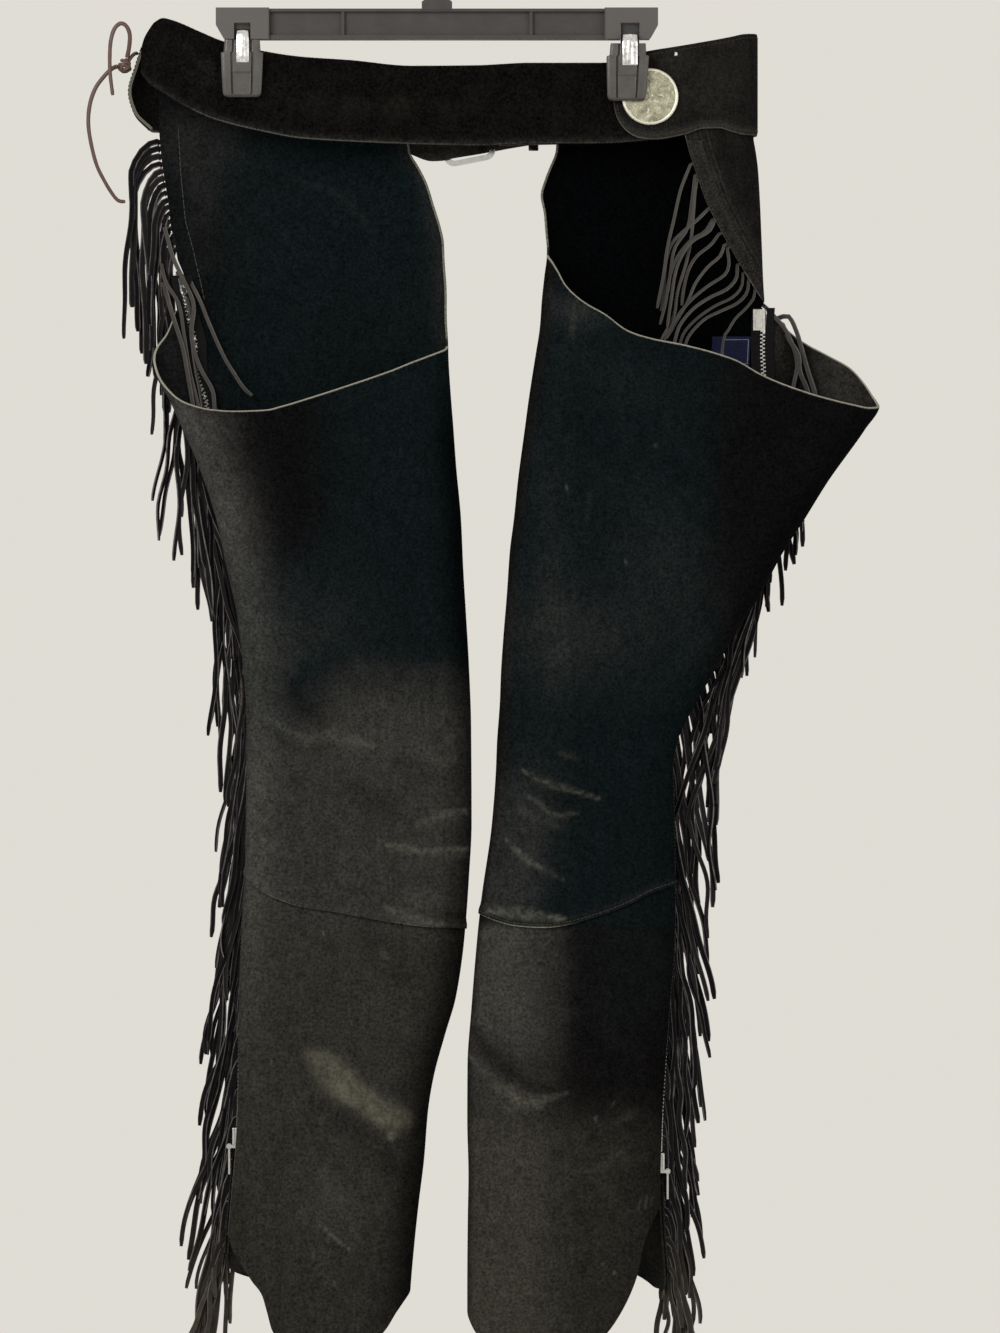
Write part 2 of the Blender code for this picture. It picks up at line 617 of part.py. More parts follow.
left_top = top_strip("strip_left", LEFT, LEFT["strip"][0], -262.0, STRIP_WIDE,
                     STRIP_OUT + 0.5, STRIP, THONG, rows=6)
left_low = zip_side(LEFT, -296.0, LEFT["strip"][1], -(ZIP_GAP / 2 + 0.4),
                    -(ZIP_GAP / 2 + STRIP_WIDE), STRIP_OUT + 1.1, rows=22)
sheet("strip_left", left_top + left_low, STRIP, THONG)
sheet("strip_right", zip_side(RIGHT, RIGHT["strip"][0], RIGHT["strip"][1],
                              -(ZIP_GAP / 2 + 0.4), -(ZIP_GAP / 2 + STRIP_WIDE),
                              STRIP_OUT + 1.3, rows=22), STRIP, THONG)
hip_rows = []
for j in range(7):
    z = -168.0 + (-272.0 + 168.0) * j / 6
    _edge, near_y, free = hip_at(z)
    wide = min(STRIP_WIDE, (hip_at(z)[0] - free) * 0.62)
    out = Vector((0, -(STRIP_OUT + 0.3), 0))
    hip_rows.append([Vector((free + 0.3, near_y, z)) + out,
                     Vector((free + 0.3 + wide, near_y, z)) + out])
sheet("strip_right_hip", hip_rows, STRIP, THONG)

# ---- fringe: a plain solid of its reach -------------------------------------
FRINGE_THICK = 6.0


def fringe_sections(leg, top, bottom, rows):
    sections = []
    for j in range(rows + 1):
        z = top + (bottom - top) * j / rows
        side = leg["side"]
        s = section(leg, z)
        root = around(leg, z, along(leg, z, zip_angle(leg, z), -14.0))
        if leg is LEFT and z > -262.0:
            root = far_point(LEFT, z, 0.93)
        tip_x = interp(leg["tips"], z, 1)
        back = root.y + 6.0
        tip_y = max(s["mid"] + 9.0, min(root.y + 3.0, s["mid"] + s["half"]))
        fold = (s["outer"] + side * 1.5, max(tip_y, s["mid"] + 0.62 * s["half"] + 4.5))
        taper = 0.45 if j in (0, rows) else 1.0
        thick = FRINGE_THICK * taper
        if abs(tip_x) > abs(fold[0]) + 3 and z < -340.0:
            front = [(root.x, back), (fold[0], fold[1]), (tip_x, tip_y)]
        else:
            front = [(root.x, back), ((root.x + tip_x) / 2, back), (tip_x, back - 1.0)]
        sections.append([Vector((x, y, z)) for x, y in front]
                        + [Vector((x, y + thick, z)) for x, y in front[::-1]])
    return sections


for leg, word in ((LEFT, "left"), (RIGHT, "right")):
    for part, top, bottom in leg["fringe"]:
        loft(f"fringe_{word}_{part}", fringe_sections(leg, top, bottom, 7), THONG)

# strands of the hip: from the free edge of the lap down into the open leg
FRINGE_HIP = (
    # height, x left, x right, y
    (-172.0, 196.0, 200.5, 8.0),
    (-200.0, 185.0, 208.0, 9.0),
    (-235.0, 181.0, 222.0, 12.0),
    (-270.0, 177.0, 236.0, 17.0),
    (-300.0, 175.0, 226.0, 20.0),
    (-335.0, 176.0, 206.0, 20.0),
    (-350.0, 178.0, 198.0, 20.0),
)
loft("fringe_right_hip",
     [[Vector((xl, y - 2.0, z)), Vector((xr, y - 2.0, z)),
       Vector((xr, y + 2.0, z)), Vector((xl, y + 2.0, z))] for z, xl, xr, y in FRINGE_HIP], THONG)

# ---- belts ------------------------------------------------------------------
BACK_STRIP = (
    # x, top, bottom, y
    (-238.5, -93.0, -112.0, 13.0),
    (-235.5, -84.0, -117.0, 10.0),
    (-232.0, -78.0, -121.0, 7.6),
    (-227.5, -72.3, -124.5, 5.4),
    (-221.0, -69.3, -128.8, 3.4),
    (-213.0, -71.2, -134.0, 1.8),
    (-191.0, -80.5, -146.0, 0.3),
    (-173.0, -88.0, -152.6, 0.0),
    (-143.5, -95.4, -159.8, 0.0),
    (-110.0, -100.6, -166.0, 0.0),
    (-70.0, -103.4, -168.6, 0.0),
    (-20.0, -108.0, -170.6, 0.0),
    (31.0, -107.6, -171.7, 0.0),
    (75.0, -105.6, -170.2, 0.0),
    (130.0, -105.6, -170.0, 0.0),
    (186.0, -101.0, -166.0, 0.0),
)


def belt_rows(table, columns, across=4):
    lo, hi = table[0][0], table[-1][0]
    rows = []
    for k in range(columns + 1):
        f = k / columns
        x = lo + (hi - lo) * (f * f * (1.6 - 0.6 * f) if table is BACK_STRIP else f)
        top, low, y = (interp(table, x, c) for c in (1, 2, 3))
        rows.append([Vector((x, y, top + (low - top) * i / across)) for i in range(across + 1)])
    return rows


sheet("belt_back", belt_rows(BACK_STRIP, 26), BELT, BELT_SUEDE)

HIP_BELT = (
    # distance along the belt from its near end, top, bottom
    (0.0, -118.0, -131.0),
    (1.5, -108.0, -143.0),
    (5.0, -102.5, -152.5),
    (12.0, -99.3, -161.0),
    (22.0, -97.5, -166.0),
    (34.0, -95.4, -167.0),
    (58.0, -91.6, -163.0),
    (73.0, -89.0, -158.3),
    (86.0, -86.8, -158.0),
    (95.0, -85.4, -161.0),
    (108.0, -83.4, -164.2),
    (130.0, -83.0, -164.6),
    (165.0, -84.0, -165.0),
    (230.0, -90.0, -166.0),
    (300.0, -99.0, -168.0),
    (352.0, -105.0, -169.0),
)
BELT_NEAR_Y = -(BELT / 2 + SEAM + BELT / 2)
BELT_FAR_Y = FAR_Y + LEATHER / 2 + SEAM + BELT / 2
WRAP_R = (BELT_FAR_Y - BELT_NEAR_Y) / 2
WRAP_X = 257.7 - WRAP_R
HIP_START = 141.6


def hip_belt_plan(d):
    """Plan position along the hip belt: near run, half turn, far run."""
    near_run = WRAP_X - HIP_START
    turn = math.pi * WRAP_R
    if d <= near_run:
        return HIP_START + d, BELT_NEAR_Y
    if d <= near_run + turn:
        a = (d - near_run) / WRAP_R
        return WRAP_X + WRAP_R * math.sin(a), BELT_NEAR_Y + WRAP_R * (1 - math.cos(a))
    return WRAP_X - (d - near_run - turn), BELT_FAR_Y


hip_rows = []
near_run, turn = WRAP_X - HIP_START, math.pi * WRAP_R
stops = ([0.0, 1.5, 5.0, 12.0, 22.0, 34.0, 46.0, 58.0, 73.0, 86.0] +
         [near_run + turn * k / 10 for k in range(11)] +
         [near_run + turn + s for s in (30, 60, 90, 120, 150, 183.0)])
for d in stops:
    x, y = hip_belt_plan(d)
    top, low = interp(HIP_BELT, d, 1), interp(HIP_BELT, d, 2)
    hip_rows.append([Vector((x, y, top + (low - top) * i / 4)) for i in range(5)])
sheet("belt_right", hip_rows, BELT, BELT_SUEDE)

FRONT_BELT = (
    # distance from the centre end, top, bottom, how far the bend leans out
    (0.0, -120.0, -158.0, 0.0),
    (4.0, -112.0, -167.0, 0.0),
    (14.0, -107.5, -171.0, 0.0),
    (70.0, -103.0, -168.0, 0.0),
    (140.0, -97.0, -161.0, 0.0),
    (180.0, -92.0, -158.0, 0.1),
    (205.0, -89.0, -158.5, 0.6),
    (222.0, -88.5, -158.5, 1.0),
    (232.0, -90.0, -157.0, 1.0),
)
LEAN = ((0.0, -1.5), (0.25, 4.0), (0.55, 9.5), (0.8, 5.0), (1.0, -8.0))   # down the bend, mm outwards


def front_belt_plan(d):
    """From the centre to the left, then round towards the near side."""
    start, bend, radius = -24.0, 200.0, 15.0
    if d <= bend:
        return start - d, BELT_FAR_Y
    a = min((d - bend) / radius, math.pi / 2)
    extra = max(0.0, d - bend - radius * math.pi / 2)
    return start - bend - radius * math.sin(a), BELT_FAR_Y - radius * (1 - math.cos(a)) - extra


rows = []
for d in (0.0, 4.0, 14.0, 45.0, 80.0, 115.0, 145.0, 170.0, 188.0, 200.0,
          205.0, 210.0, 215.0, 220.0, 226.0, 232.0):
    x, y = front_belt_plan(d)
    top, low, lean = (interp(FRONT_BELT, d, c) for c in (1, 2, 3))
    rows.append([Vector((x - lean * interp(LEAN, i / 6, 1), y, top + (low - top) * i / 6))
                 for i in range(7)])
sheet("belt_left", rows, BELT, BELT_SUEDE)

# ---- front closure: billet, buckle, chape, keeper ---------------------------
BILLET = (
    # x, y, middle height, half height
    (-74.0, 48.5, -143.0, 10.0),
    (-70.0, 48.5, -143.5, 16.0),
    (-60.0, 48.5, -146.0, 19.0),
    (-24.0, 48.4, -156.5, 18.6),
    (-4.0, 46.8, -163.6, 18.0),
    (4.0, 46.7, -163.2, 18.0),
    (12.0, 47.2, -161.4, 18.0),
    (20.0, 50.4, -159.8, 18.0),
    (28.0, 56.0, -158.2, 18.0),
    (36.0, 60.0, -156.6, 18.0),
    (48.0, 60.8, -154.4, 18.0),
    (60.0, 60.2, -152.2, 18.0),
    (78.0, 55.8, -149.6, 18.0),
    (100.0, 52.4, -147.0, 17.0),
    (112.0, 51.8, -146.0, 11.0),
    (118.0, 51.6, -145.6, 5.0),
)
sheet("billet_strap", [[Vector((x, y, zc + h * (1 - 0.5 * i))) for i in range(5)]
                       for x, y, zc, h in BILLET], STRAP, BELT_SUEDE)

TILT = math.radians(11)


def tilted(x, y, z, centre=(23.0, 52.0, -159.0)):
    """A point of the buckle's own plane, turned to the way it hangs."""
    c, s = math.cos(TILT), math.sin(TILT)
    return Vector((centre[0] + x * c - z * s, centre[1] + y, centre[2] + x * s + z * c))


def rounded_rectangle(w, h, r, steps=5):
    points = []
    for cx, cz, a0 in ((w - r, h - r, 0), (-w + r, h - r, 90), (-w + r, -h + r, 180), (w - r, -h + r, 270)):
        for k in range(steps + 1):
            a = math.radians(a0 + 90 * k / steps)
            points.append((cx + r * math.cos(a), cz + r * math.sin(a)))
    return points


def flat_ring(name, outline, inner, thick, place, look):
    """A flat ring: an outer and an inner outline, extruded both ways."""
    bm = bmesh.new()
    n = len(outline)
    rings = []
    for pts, y in ((outline, -thick), (outline, thick), (inner, thick), (inner, -thick)):
        rings.append([bm.verts.new(place(x, y, z)) for x, z in pts])
    for k in range(4):
        a, b = rings[k], rings[(k + 1) % 4]
        for i in range(n):
            bm.faces.new((a[i], b[i], b[(i + 1) % n], a[(i + 1) % n]))
    bmesh.ops.recalc_face_normals(bm, faces=bm.faces)
    return finish(name, bm, look)


flat_ring("buckle_frame", rounded_rectangle(21.0, 24.5, 8.0), rounded_rectangle(16.5, 20.0, 4.0),
          2.2, tilted, CHROME)
prong = [tilted(9.0, 9.6, 0), tilted(3.0, 9.8, 0), tilted(-6.0, 7.0, 0), tilted(-17.0, 4.2, 0),
         tilted(-22.0, 4.2, 0)]
rod("buckle_prong", prong, 1.5, CHROME)

CHAPE = (
    # x, y of the folded strap's middle, in the buckle's plane
    (46.0, -4.1), (34.0, -4.1), (22.0, -4.2), (16.2, -3.7), (13.4, 0.0), (16.2, 3.7), (22.0, 4.1), (34.0, 3.9),
)
sheet("buckle_chape", [[tilted(x, y, h) for h in (-17.0, -6.0, 6.0, 17.0)] for x, y in CHAPE],
      1.6, BELT_SUEDE)
bm = bmesh.new()


def keeper_ring(half, y0, y1):
    c = -150.0
    return [(y0, c - half), (y1, c - half), (y1, c + half), (y0, c + half)]


outer = keeper_ring(22.0, 50.0, 61.2)
inner_k = keeper_ring(20.4, 51.5, 59.7)
rings = []
for pts, x in ((outer, 74.0), (outer, 82.0), (inner_k, 82.0), (inner_k, 74.0)):
    rings.append([bm.verts.new(Vector((x, y, z))) for y, z in pts])
for k in range(4):
    a, b = rings[k], rings[(k + 1) % 4]
    for i in range(4):
        bm.faces.new((a[i], b[i], b[(i + 1) % 4], a[(i + 1) % 4]))
bmesh.ops.recalc_face_normals(bm, faces=bm.faces)
finish("buckle_keeper", bm, BELT_SUEDE)

# ---- concho ------------------------------------------------------------------
CONCHO_PROFILE = (   # radius, height off the belt
    (0.0, 2.5), (8.0, 2.3), (15.0, 1.8), (19.6, 1.3), (20.2, 1.9), (21.6, 2.1), (22.6, 1.6), (23.0, 0.8), (22.6, 0.0),
)
bm = bmesh.new()
base_y = BELT_NEAR_Y - BELT / 2 - SEAM
centre = Vector((171.7, base_y, -133.0))
rings = []
STEPS = 36
for r, h in CONCHO_PROFILE[1:]:
    rings.append([bm.verts.new(centre + Vector((r * math.cos(2 * math.pi * k / STEPS), -h,
                                                r * math.sin(2 * math.pi * k / STEPS))))
                  for k in range(STEPS)])
crown = bm.verts.new(centre + Vector((0, -CONCHO_PROFILE[0][1], 0)))
for k in range(STEPS):
    bm.faces.new((crown, rings[0][k], rings[0][(k + 1) % STEPS]))
    for a, b in zip(rings, rings[1:]):
        bm.faces.new((a[k], b[k], b[(k + 1) % STEPS], a[(k + 1) % STEPS]))
bm.faces.new(rings[-1])
bmesh.ops.recalc_face_normals(bm, faces=bm.faces)
finish("concho", bm, CONCHO)

# ---- zips ----------------------------------------------------------------------
TAPE_IN = -(LEATHER / 2 + SEAM + TAPE / 2 + 1.0)


def frame_at(leg, z, distance=0.0):
    """Place, outward normal and run of the zip line at a height."""
    angle = along(leg, z, zip_angle(leg, z), distance) if distance else zip_angle(leg, z)
    p = around(leg, z, angle)
    n = normal_of(lambda a, h: around(leg, h, a), angle, z, step=(2.0, 3.0))
    if n.dot(p - Vector((section(leg, z)["cx"], section(leg, z)["mid"], z))) < 0:
        n = -n
    return p, n


for leg, word in ((LEFT, "left"), (RIGHT, "right")):
    top, bottom = leg["zip"]
    low = leg["slider"][1] - 14.0
    sheet(f"tape_{word}_near", zip_side(leg, top - 2.0, low, 0.35, 8.6, TAPE_IN - 0.6, 26), TAPE, CLOTH_TAPE)
    sheet(f"tape_{word}_far", zip_side(leg, top - 2.0, low, -9.5, -0.35, TAPE_IN, 26), TAPE, CLOTH_TAPE)
    sheet(f"chain_{word}", zip_side(leg, top - 13.0, bottom + 0.3, -2.2, 2.2, 0.3, 26), 2.0, METAL)

    # the box and pin that end the chain at the top
    z0, z1 = top + 0.3, top - 12.4
    p0, n0 = frame_at(leg, z0)
    p1, _ = frame_at(leg, z1)
    down = (p1 - p0).normalized()
    across = down.cross(n0).normalized()
    cross = [(-5.0, -0.9), (3.6, -0.9), (3.6, 1.9), (-5.0, 1.9)]
    lift = 0.35 if leg is LEFT else 0.35
    sections = []
    for k in range(2):
        p = p0 + down * (12.2 * k)
        sections.append([p + across * (a * 0.62) + n0 * (b + lift) for a, b in cross])
    loft(f"zip_box_{word}", sections, METAL, smooth=False)

    # slider: a neck between the leather edges and a wider plate outside it
    s_top, s_low = leg["slider"]
    side = leg["side"]
    ps = around(leg, (s_top + s_low) / 2, 0.0)
    x0, y0 = ps.x, ps.y

    def slab(name, x_in, x_out, half_y, z_hi, z_lo, look, bevel=0.5):
        lo = Vector((min(x0 + side * x_in, x0 + side * x_out), y0 - half_y, z_lo))
        hi = Vector((max(x0 + side * x_in, x0 + side * x_out), y0 + half_y, z_hi))
        return box(name, lo, hi, look, bevel)

    body = slab(f"slider_{word}", -0.6, 3.4, 2.9, s_top, s_low, METAL, 0.6)
    wing = slab(f"cut_wing_{word}", 1.6, 3.4, 4.6, s_top - 0.4, s_low + 3.0, METAL, 0.5)
    boolean(body, wing, "UNION")
    pivot = Vector((x0 + side * 6.0, y0, s_low + 1.6))
    for k, sy in enumerate((-1, 1)):
        lug_lo = Vector((min(x0 + side * 2.8, x0 + side * 7.2), y0 + sy * 3.25 - 0.55, s_low + 0.4))
        lug_hi = Vector((max(x0 + side * 2.8, x0 + side * 7.2), y0 + sy * 3.25 + 0.55, s_low + 2.8))
        boolean(body, box(f"cut_lug_{word}_{k}", lug_lo, lug_hi, METAL), "UNION")
    bm = bmesh.new()
    bmesh.ops.create_cone(bm, cap_ends=True, segments=12, radius1=0.8, radius2=0.8, depth=6.4)
    bmesh.ops.rotate(bm, cent=(0, 0, 0), matrix=Matrix.Rotation(math.pi / 2, 3, 'X'), verts=bm.verts)
    bmesh.ops.translate(bm, vec=pivot, verts=bm.verts)
    boolean(body, finish(f"cut_pin_{word}", bm, METAL), "UNION")

    # pull tab: an eye round the pin and a plate with a window, origin on the pin
    eye, tail, t_half, y_half = 2.3, 22.5, 0.75, 2.2
    outline = []
    for k in range(15):
        a = math.radians(-70 + 320 * k / 14)
        outline.append((eye * math.cos(a), eye * math.sin(a)))
    outline = [(t_half, -2.2)] + [q for q in outline if q[1] > -2.15] + [(-t_half, -2.2)]
    outline += [(-t_half, -tail), (t_half, -tail)]
    bm = bmesh.new()
    faces = []
    for y in (-y_half, y_half):
        faces.append([bm.verts.new((x, y, z)) for x, z in outline])
    bm.faces.new(faces[0])
    bm.faces.new(faces[1][::-1])
    n = len(outline)
    for i in range(n):
        bm.faces.new((faces[0][i], faces[1][i], faces[1][(i + 1) % n], faces[0][(i + 1) % n]))
    bmesh.ops.recalc_face_normals(bm, faces=bm.faces)
    tab = finish(f"pull_{word}", bm, METAL)
    tab.location = pivot * MM
    bm = bmesh.new()
    bmesh.ops.create_cone(bm, cap_ends=True, segments=16, radius1=1.2, radius2=1.2, depth=8.0)
    bmesh.ops.rotate(bm, cent=(0, 0, 0), matrix=Matrix.Rotation(math.pi / 2, 3, 'X'), verts=bm.verts)
    bmesh.ops.translate(bm, vec=pivot, verts=bm.verts)
    boolean(tab, finish(f"cut_eye_{word}", bm, METAL), "DIFFERENCE")
    boolean(tab, box(f"cut_window_{word}", pivot + Vector((-3, -1.1, -19.5)),
                     pivot + Vector((3, 1.1, -7.0)), METAL), "DIFFERENCE")

# ---- label inside the right leg ---------------------------------------------------
rows = []
for j in range(4):
    z = -324.5 - 24.5 * j / 3
    row = []
    for i in range(5):
        x = 223.0 + 31.0 * i / 4
        s = section(RIGHT, z)
        xi = (x - s["cx"]) / s["a"]
        y = s["mid"] + s["half"] * (1 - abs(xi) ** ROUND) ** (1 / ROUND)
        row.append(Vector((x - 0.4 * j, y - LEATHER / 2 - TAPE - 2 * SEAM - 0.7, z)))
    rows.append(row)
sheet("label_inside", rows, 0.6, WOVEN)

# ---- lace ---------------------------------------------------------------------------
KNOT = Vector((-252.6, 19.5, -106.5))
bm = bmesh.new()
bmesh.ops.create_icosphere(bm, subdivisions=2, radius=1.0)
bmesh.ops.scale(bm, vec=(5.2, 4.6, 5.4), verts=bm.verts)
bmesh.ops.translate(bm, vec=KNOT, verts=bm.verts)
finish("lace_knot", bm, LACE)
LACE_LOOP = (
    (-250.6, 17.0, -99.6), (-248.9, 14.5, -92.0), (-248.2, 12.5, -82.0), (-250.8, 12.0, -75.0), (-255.6, 12.0, -72.6),
    (-260.6, 12.0, -77.0), (-263.6, 12.2, -87.0), (-264.4, 12.4, -100.0), (-264.0, 12.4, -114.0), (-262.0, 12.2, -130.6),
)
LACE_TAIL = (
    (-258.6, 20.0, -106.6), (-263.0, 20.6, -108.6), (-268.6, 21.0, -113.8), (-276.4, 21.6, -124.3),
    (-281.0, 22.0, -137.8), (-282.2, 22.6, -153.0), (-280.0, 23.4, -169.0), (-275.6, 24.6, -186.0),
    (-269.2, 26.4, -199.3), (-262.6, 28.6, -210.0), (-258.0, 29.8, -214.8), (-252.6, 30.2, -215.6),
)
rod("lace_loop", smooth_route(LACE_LOOP, 5.0), 1.75, LACE)
rod("lace_tail", smooth_route(LACE_TAIL, 6.0), 1.75, LACE)

# ---- hanger -----------------------------------------------------------------------------
I_PROFILE = (   # y, z of one half of the bar's section
    (-5.6, -62.0), (5.6, -62.0), (5.6, -64.4), (1.6, -64.4), (1.6, -83.4), (5.6, -83.4),
    (5.6, -87.0), (-5.6, -87.0), (-5.6, -83.4), (-1.6, -83.4), (-1.6, -64.4), (-5.6, -64.4),
)
frame = loft("hanger_frame", [[Vector((x, y, z)) for y, z in I_PROFILE] for x in (-150.0, 150.0)],
             PLASTIC, smooth=False)
for side, word in ((-1, "left"), (1, "right")):
    cap = [(135.2, -61.3), (178.1, -61.3), (178.1, -75.0), (172.6, -84.6), (171.0, -86.6), (139.0, -86.6), (135.2, -86.6)]
    pts = [(side * x, z) for x, z in cap]
    boolean(frame, loft(f"cut_cap_{word}", [[Vector((x, y, z)) for x, z in pts] for y in (-8.0, 8.0)],
                        PLASTIC, smooth=False), "UNION")
    boolean(frame, box(f"cut_rib_{word}", (side * 75.8 - 1.2, -5.0, -84.0), (side * 75.8 + 1.2, 5.0, -63.0),
                       PLASTIC), "UNION")
neck = [(-12.2, -63.0), (12.2, -63.0), (12.2, -56.5), (7.5, -53.2), (-7.5, -53.2), (-12.2, -56.5)]
boolean(frame, loft("cut_neck", [[Vector((x, y, z)) for x, z in neck] for y in (-6.4, 6.4)],
                    PLASTIC, smooth=False), "UNION")
for side, word, x_lo, x_hi in ((-1, "left", -163.4, -150.2), (1, "right", 147.8, 163.2)):
    boolean(frame, box(f"cut_slot_{word}", (x_lo, -20.0, -90.0), (x_hi, 20.0, -73.6), PLASTIC), "DIFFERENCE")

hook = []
cr = HOOK_R + HOOK_WIRE
for z in (-52.8, -50.0, -47.0):
    hook.append((0.0, 0.0, z))
for k in range(6):
    a = math.radians(-62 + 12 * k)
    hook.append((cr * math.cos(a) * (0.62 + 0.38 * k / 5), 0.0, -HOOK_R + cr * math.sin(a)))
for k in range(17):
    a = math.radians(12 + 12 * k)
    hook.append((cr * math.cos(a), 0.0, -HOOK_R + cr * math.sin(a)))
rod("hanger_hook", smooth_route(hook, 5.0), HOOK_WIRE, PLASTIC, resolution=4)

JAW = (
    # height above the clip's foot, half width, inner y, outer y (both from the gripped face)
    (0.0, 13.0, 0.0, 4.2), (2.2, 15.6, 0.0, 5.4), (8.0, 16.8, 0.0, 6.2), (22.0, 17.2, 0.0, 7.2),
    (34.0, 16.6, 0.3, 7.0), (38.0, 15.0, 0.9, 6.6), (46.0, 13.8, 2.2, 6.2),
)


def jaw(name, centre_x, foot, face, direction, slant=0.0):
    sections = []
    for h, half, inner, outer in JAW:
        z = foot + h
        c = centre_x + slant * h
        ys = (face + direction * inner, face + direction * outer)
        bevel = min(1.6, (outer - inner) * 0.45)
        sections.append([Vector((c - half, ys[0], z)), Vector((c + half, ys[0], z)),
                         Vector((c + half, ys[1] - direction * bevel, z)),
                         Vector((c + half - bevel * 1.3, ys[1], z)),
                         Vector((c - half + bevel * 1.3, ys[1], z)),
                         Vector((c - half, ys[1] - direction * bevel, z))])
    return loft(name, sections, PLASTIC)


LEFT_FACE, RIGHT_FACE = -(BELT / 2 + SEAM), -(BELT / 2 + SEAM + BELT + SEAM + 2.9)
FAR_FACE = BELT / 2 + SEAM
for word, cx, foot, near_face in (("left", -157.0, -133.2, LEFT_FACE), ("right", 154.4, -135.6, RIGHT_FACE)):
    jaw(f"clip_{word}_near", cx, foot, near_face, -1.0)
    jaw(f"clip_{word}_far", cx, foot, FAR_FACE, 1.0)
    n_out, f_out = near_face - 7.7, FAR_FACE + 7.7
    x_lo, x_hi = (-162.4, -151.2) if word == "left" else (148.8, 162.2)
    z_top, z_low = (-75.0, -105.6) if word == "left" else (-75.0, -108.4)
    plan = [(n_out, z_low), (n_out, z_top), (f_out, z_top), (f_out, z_low),
            (f_out - 0.9, z_low), (f_out - 0.9, z_top - 0.9), (n_out + 0.9, z_top - 0.9), (n_out + 0.9, z_low)]
    plan[7] = (n_out - 0.0 + 0.35, z_low)
    plan[6] = (n_out + 0.35, z_top - 0.9)
    plan[5] = (f_out - 0.35, z_top - 0.9)
    plan[4] = (f_out - 0.35, z_low)
    loft(f"clip_{word}_spring", [[Vector((x, y, z)) for y, z in plan] for x in (x_lo, x_hi)],
         CHROME, smooth=False)
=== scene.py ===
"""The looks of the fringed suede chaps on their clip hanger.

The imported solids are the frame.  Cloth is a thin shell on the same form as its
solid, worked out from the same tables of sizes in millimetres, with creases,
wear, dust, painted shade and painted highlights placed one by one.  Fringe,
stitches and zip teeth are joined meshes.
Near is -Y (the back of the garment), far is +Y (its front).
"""
import math
import random

import bmesh
import bpy
import numpy as np
from mathutils import Matrix, Vector


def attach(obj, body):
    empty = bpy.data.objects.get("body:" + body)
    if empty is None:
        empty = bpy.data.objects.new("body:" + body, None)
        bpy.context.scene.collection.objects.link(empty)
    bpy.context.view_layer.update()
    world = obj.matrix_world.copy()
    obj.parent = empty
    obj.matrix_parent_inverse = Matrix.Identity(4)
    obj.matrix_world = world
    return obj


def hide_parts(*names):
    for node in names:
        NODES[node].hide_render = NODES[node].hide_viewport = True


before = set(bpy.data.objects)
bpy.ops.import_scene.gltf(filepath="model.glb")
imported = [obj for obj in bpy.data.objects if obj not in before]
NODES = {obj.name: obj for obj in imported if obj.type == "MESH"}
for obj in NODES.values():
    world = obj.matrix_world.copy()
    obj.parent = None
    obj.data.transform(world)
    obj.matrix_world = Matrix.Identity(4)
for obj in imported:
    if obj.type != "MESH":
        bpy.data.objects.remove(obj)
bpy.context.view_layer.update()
BODY = "chaps"

MM = 0.001
scene = bpy.context.scene

# ---- camera: level, square on to the garment --------------------------------
cam_data = bpy.data.cameras.new("camera")
cam_data.sensor_width = 36.0
cam_data.lens = 221.1
cam_data.clip_start, cam_data.clip_end = 0.05, 60.0
camera = bpy.data.objects.new("camera", cam_data)
scene.collection.objects.link(camera)
camera.location = (0.0508, -6.6, -0.592)
camera.rotation_euler = (math.pi / 2, 0.0, 0.0)
scene.camera = camera

# ---- driving sizes, millimetres (the same as the solids') -------------------
LEATHER = 1.8            # suede of the legs
BELT = 3.2               # two layers of belt leather
STRAP = 3.0
STRIP = 1.6              # stitched heading of the fringe
TAPE = 0.7               # zip tape
SEAM = 0.3               # gap between pieces that are sewn together
ZIP_GAP = 8.0            # between the two leather edges of a zip
ROUND = 2.6              # how blunt the ends of a leg's section are
FAR_Y = 42.0             # far wall at the belt
CONCHO_R = 23.0
HOOK_R = 19.0            # inside of the hook's crown
HOOK_WIRE = 3.2          # radius of the hook's rod

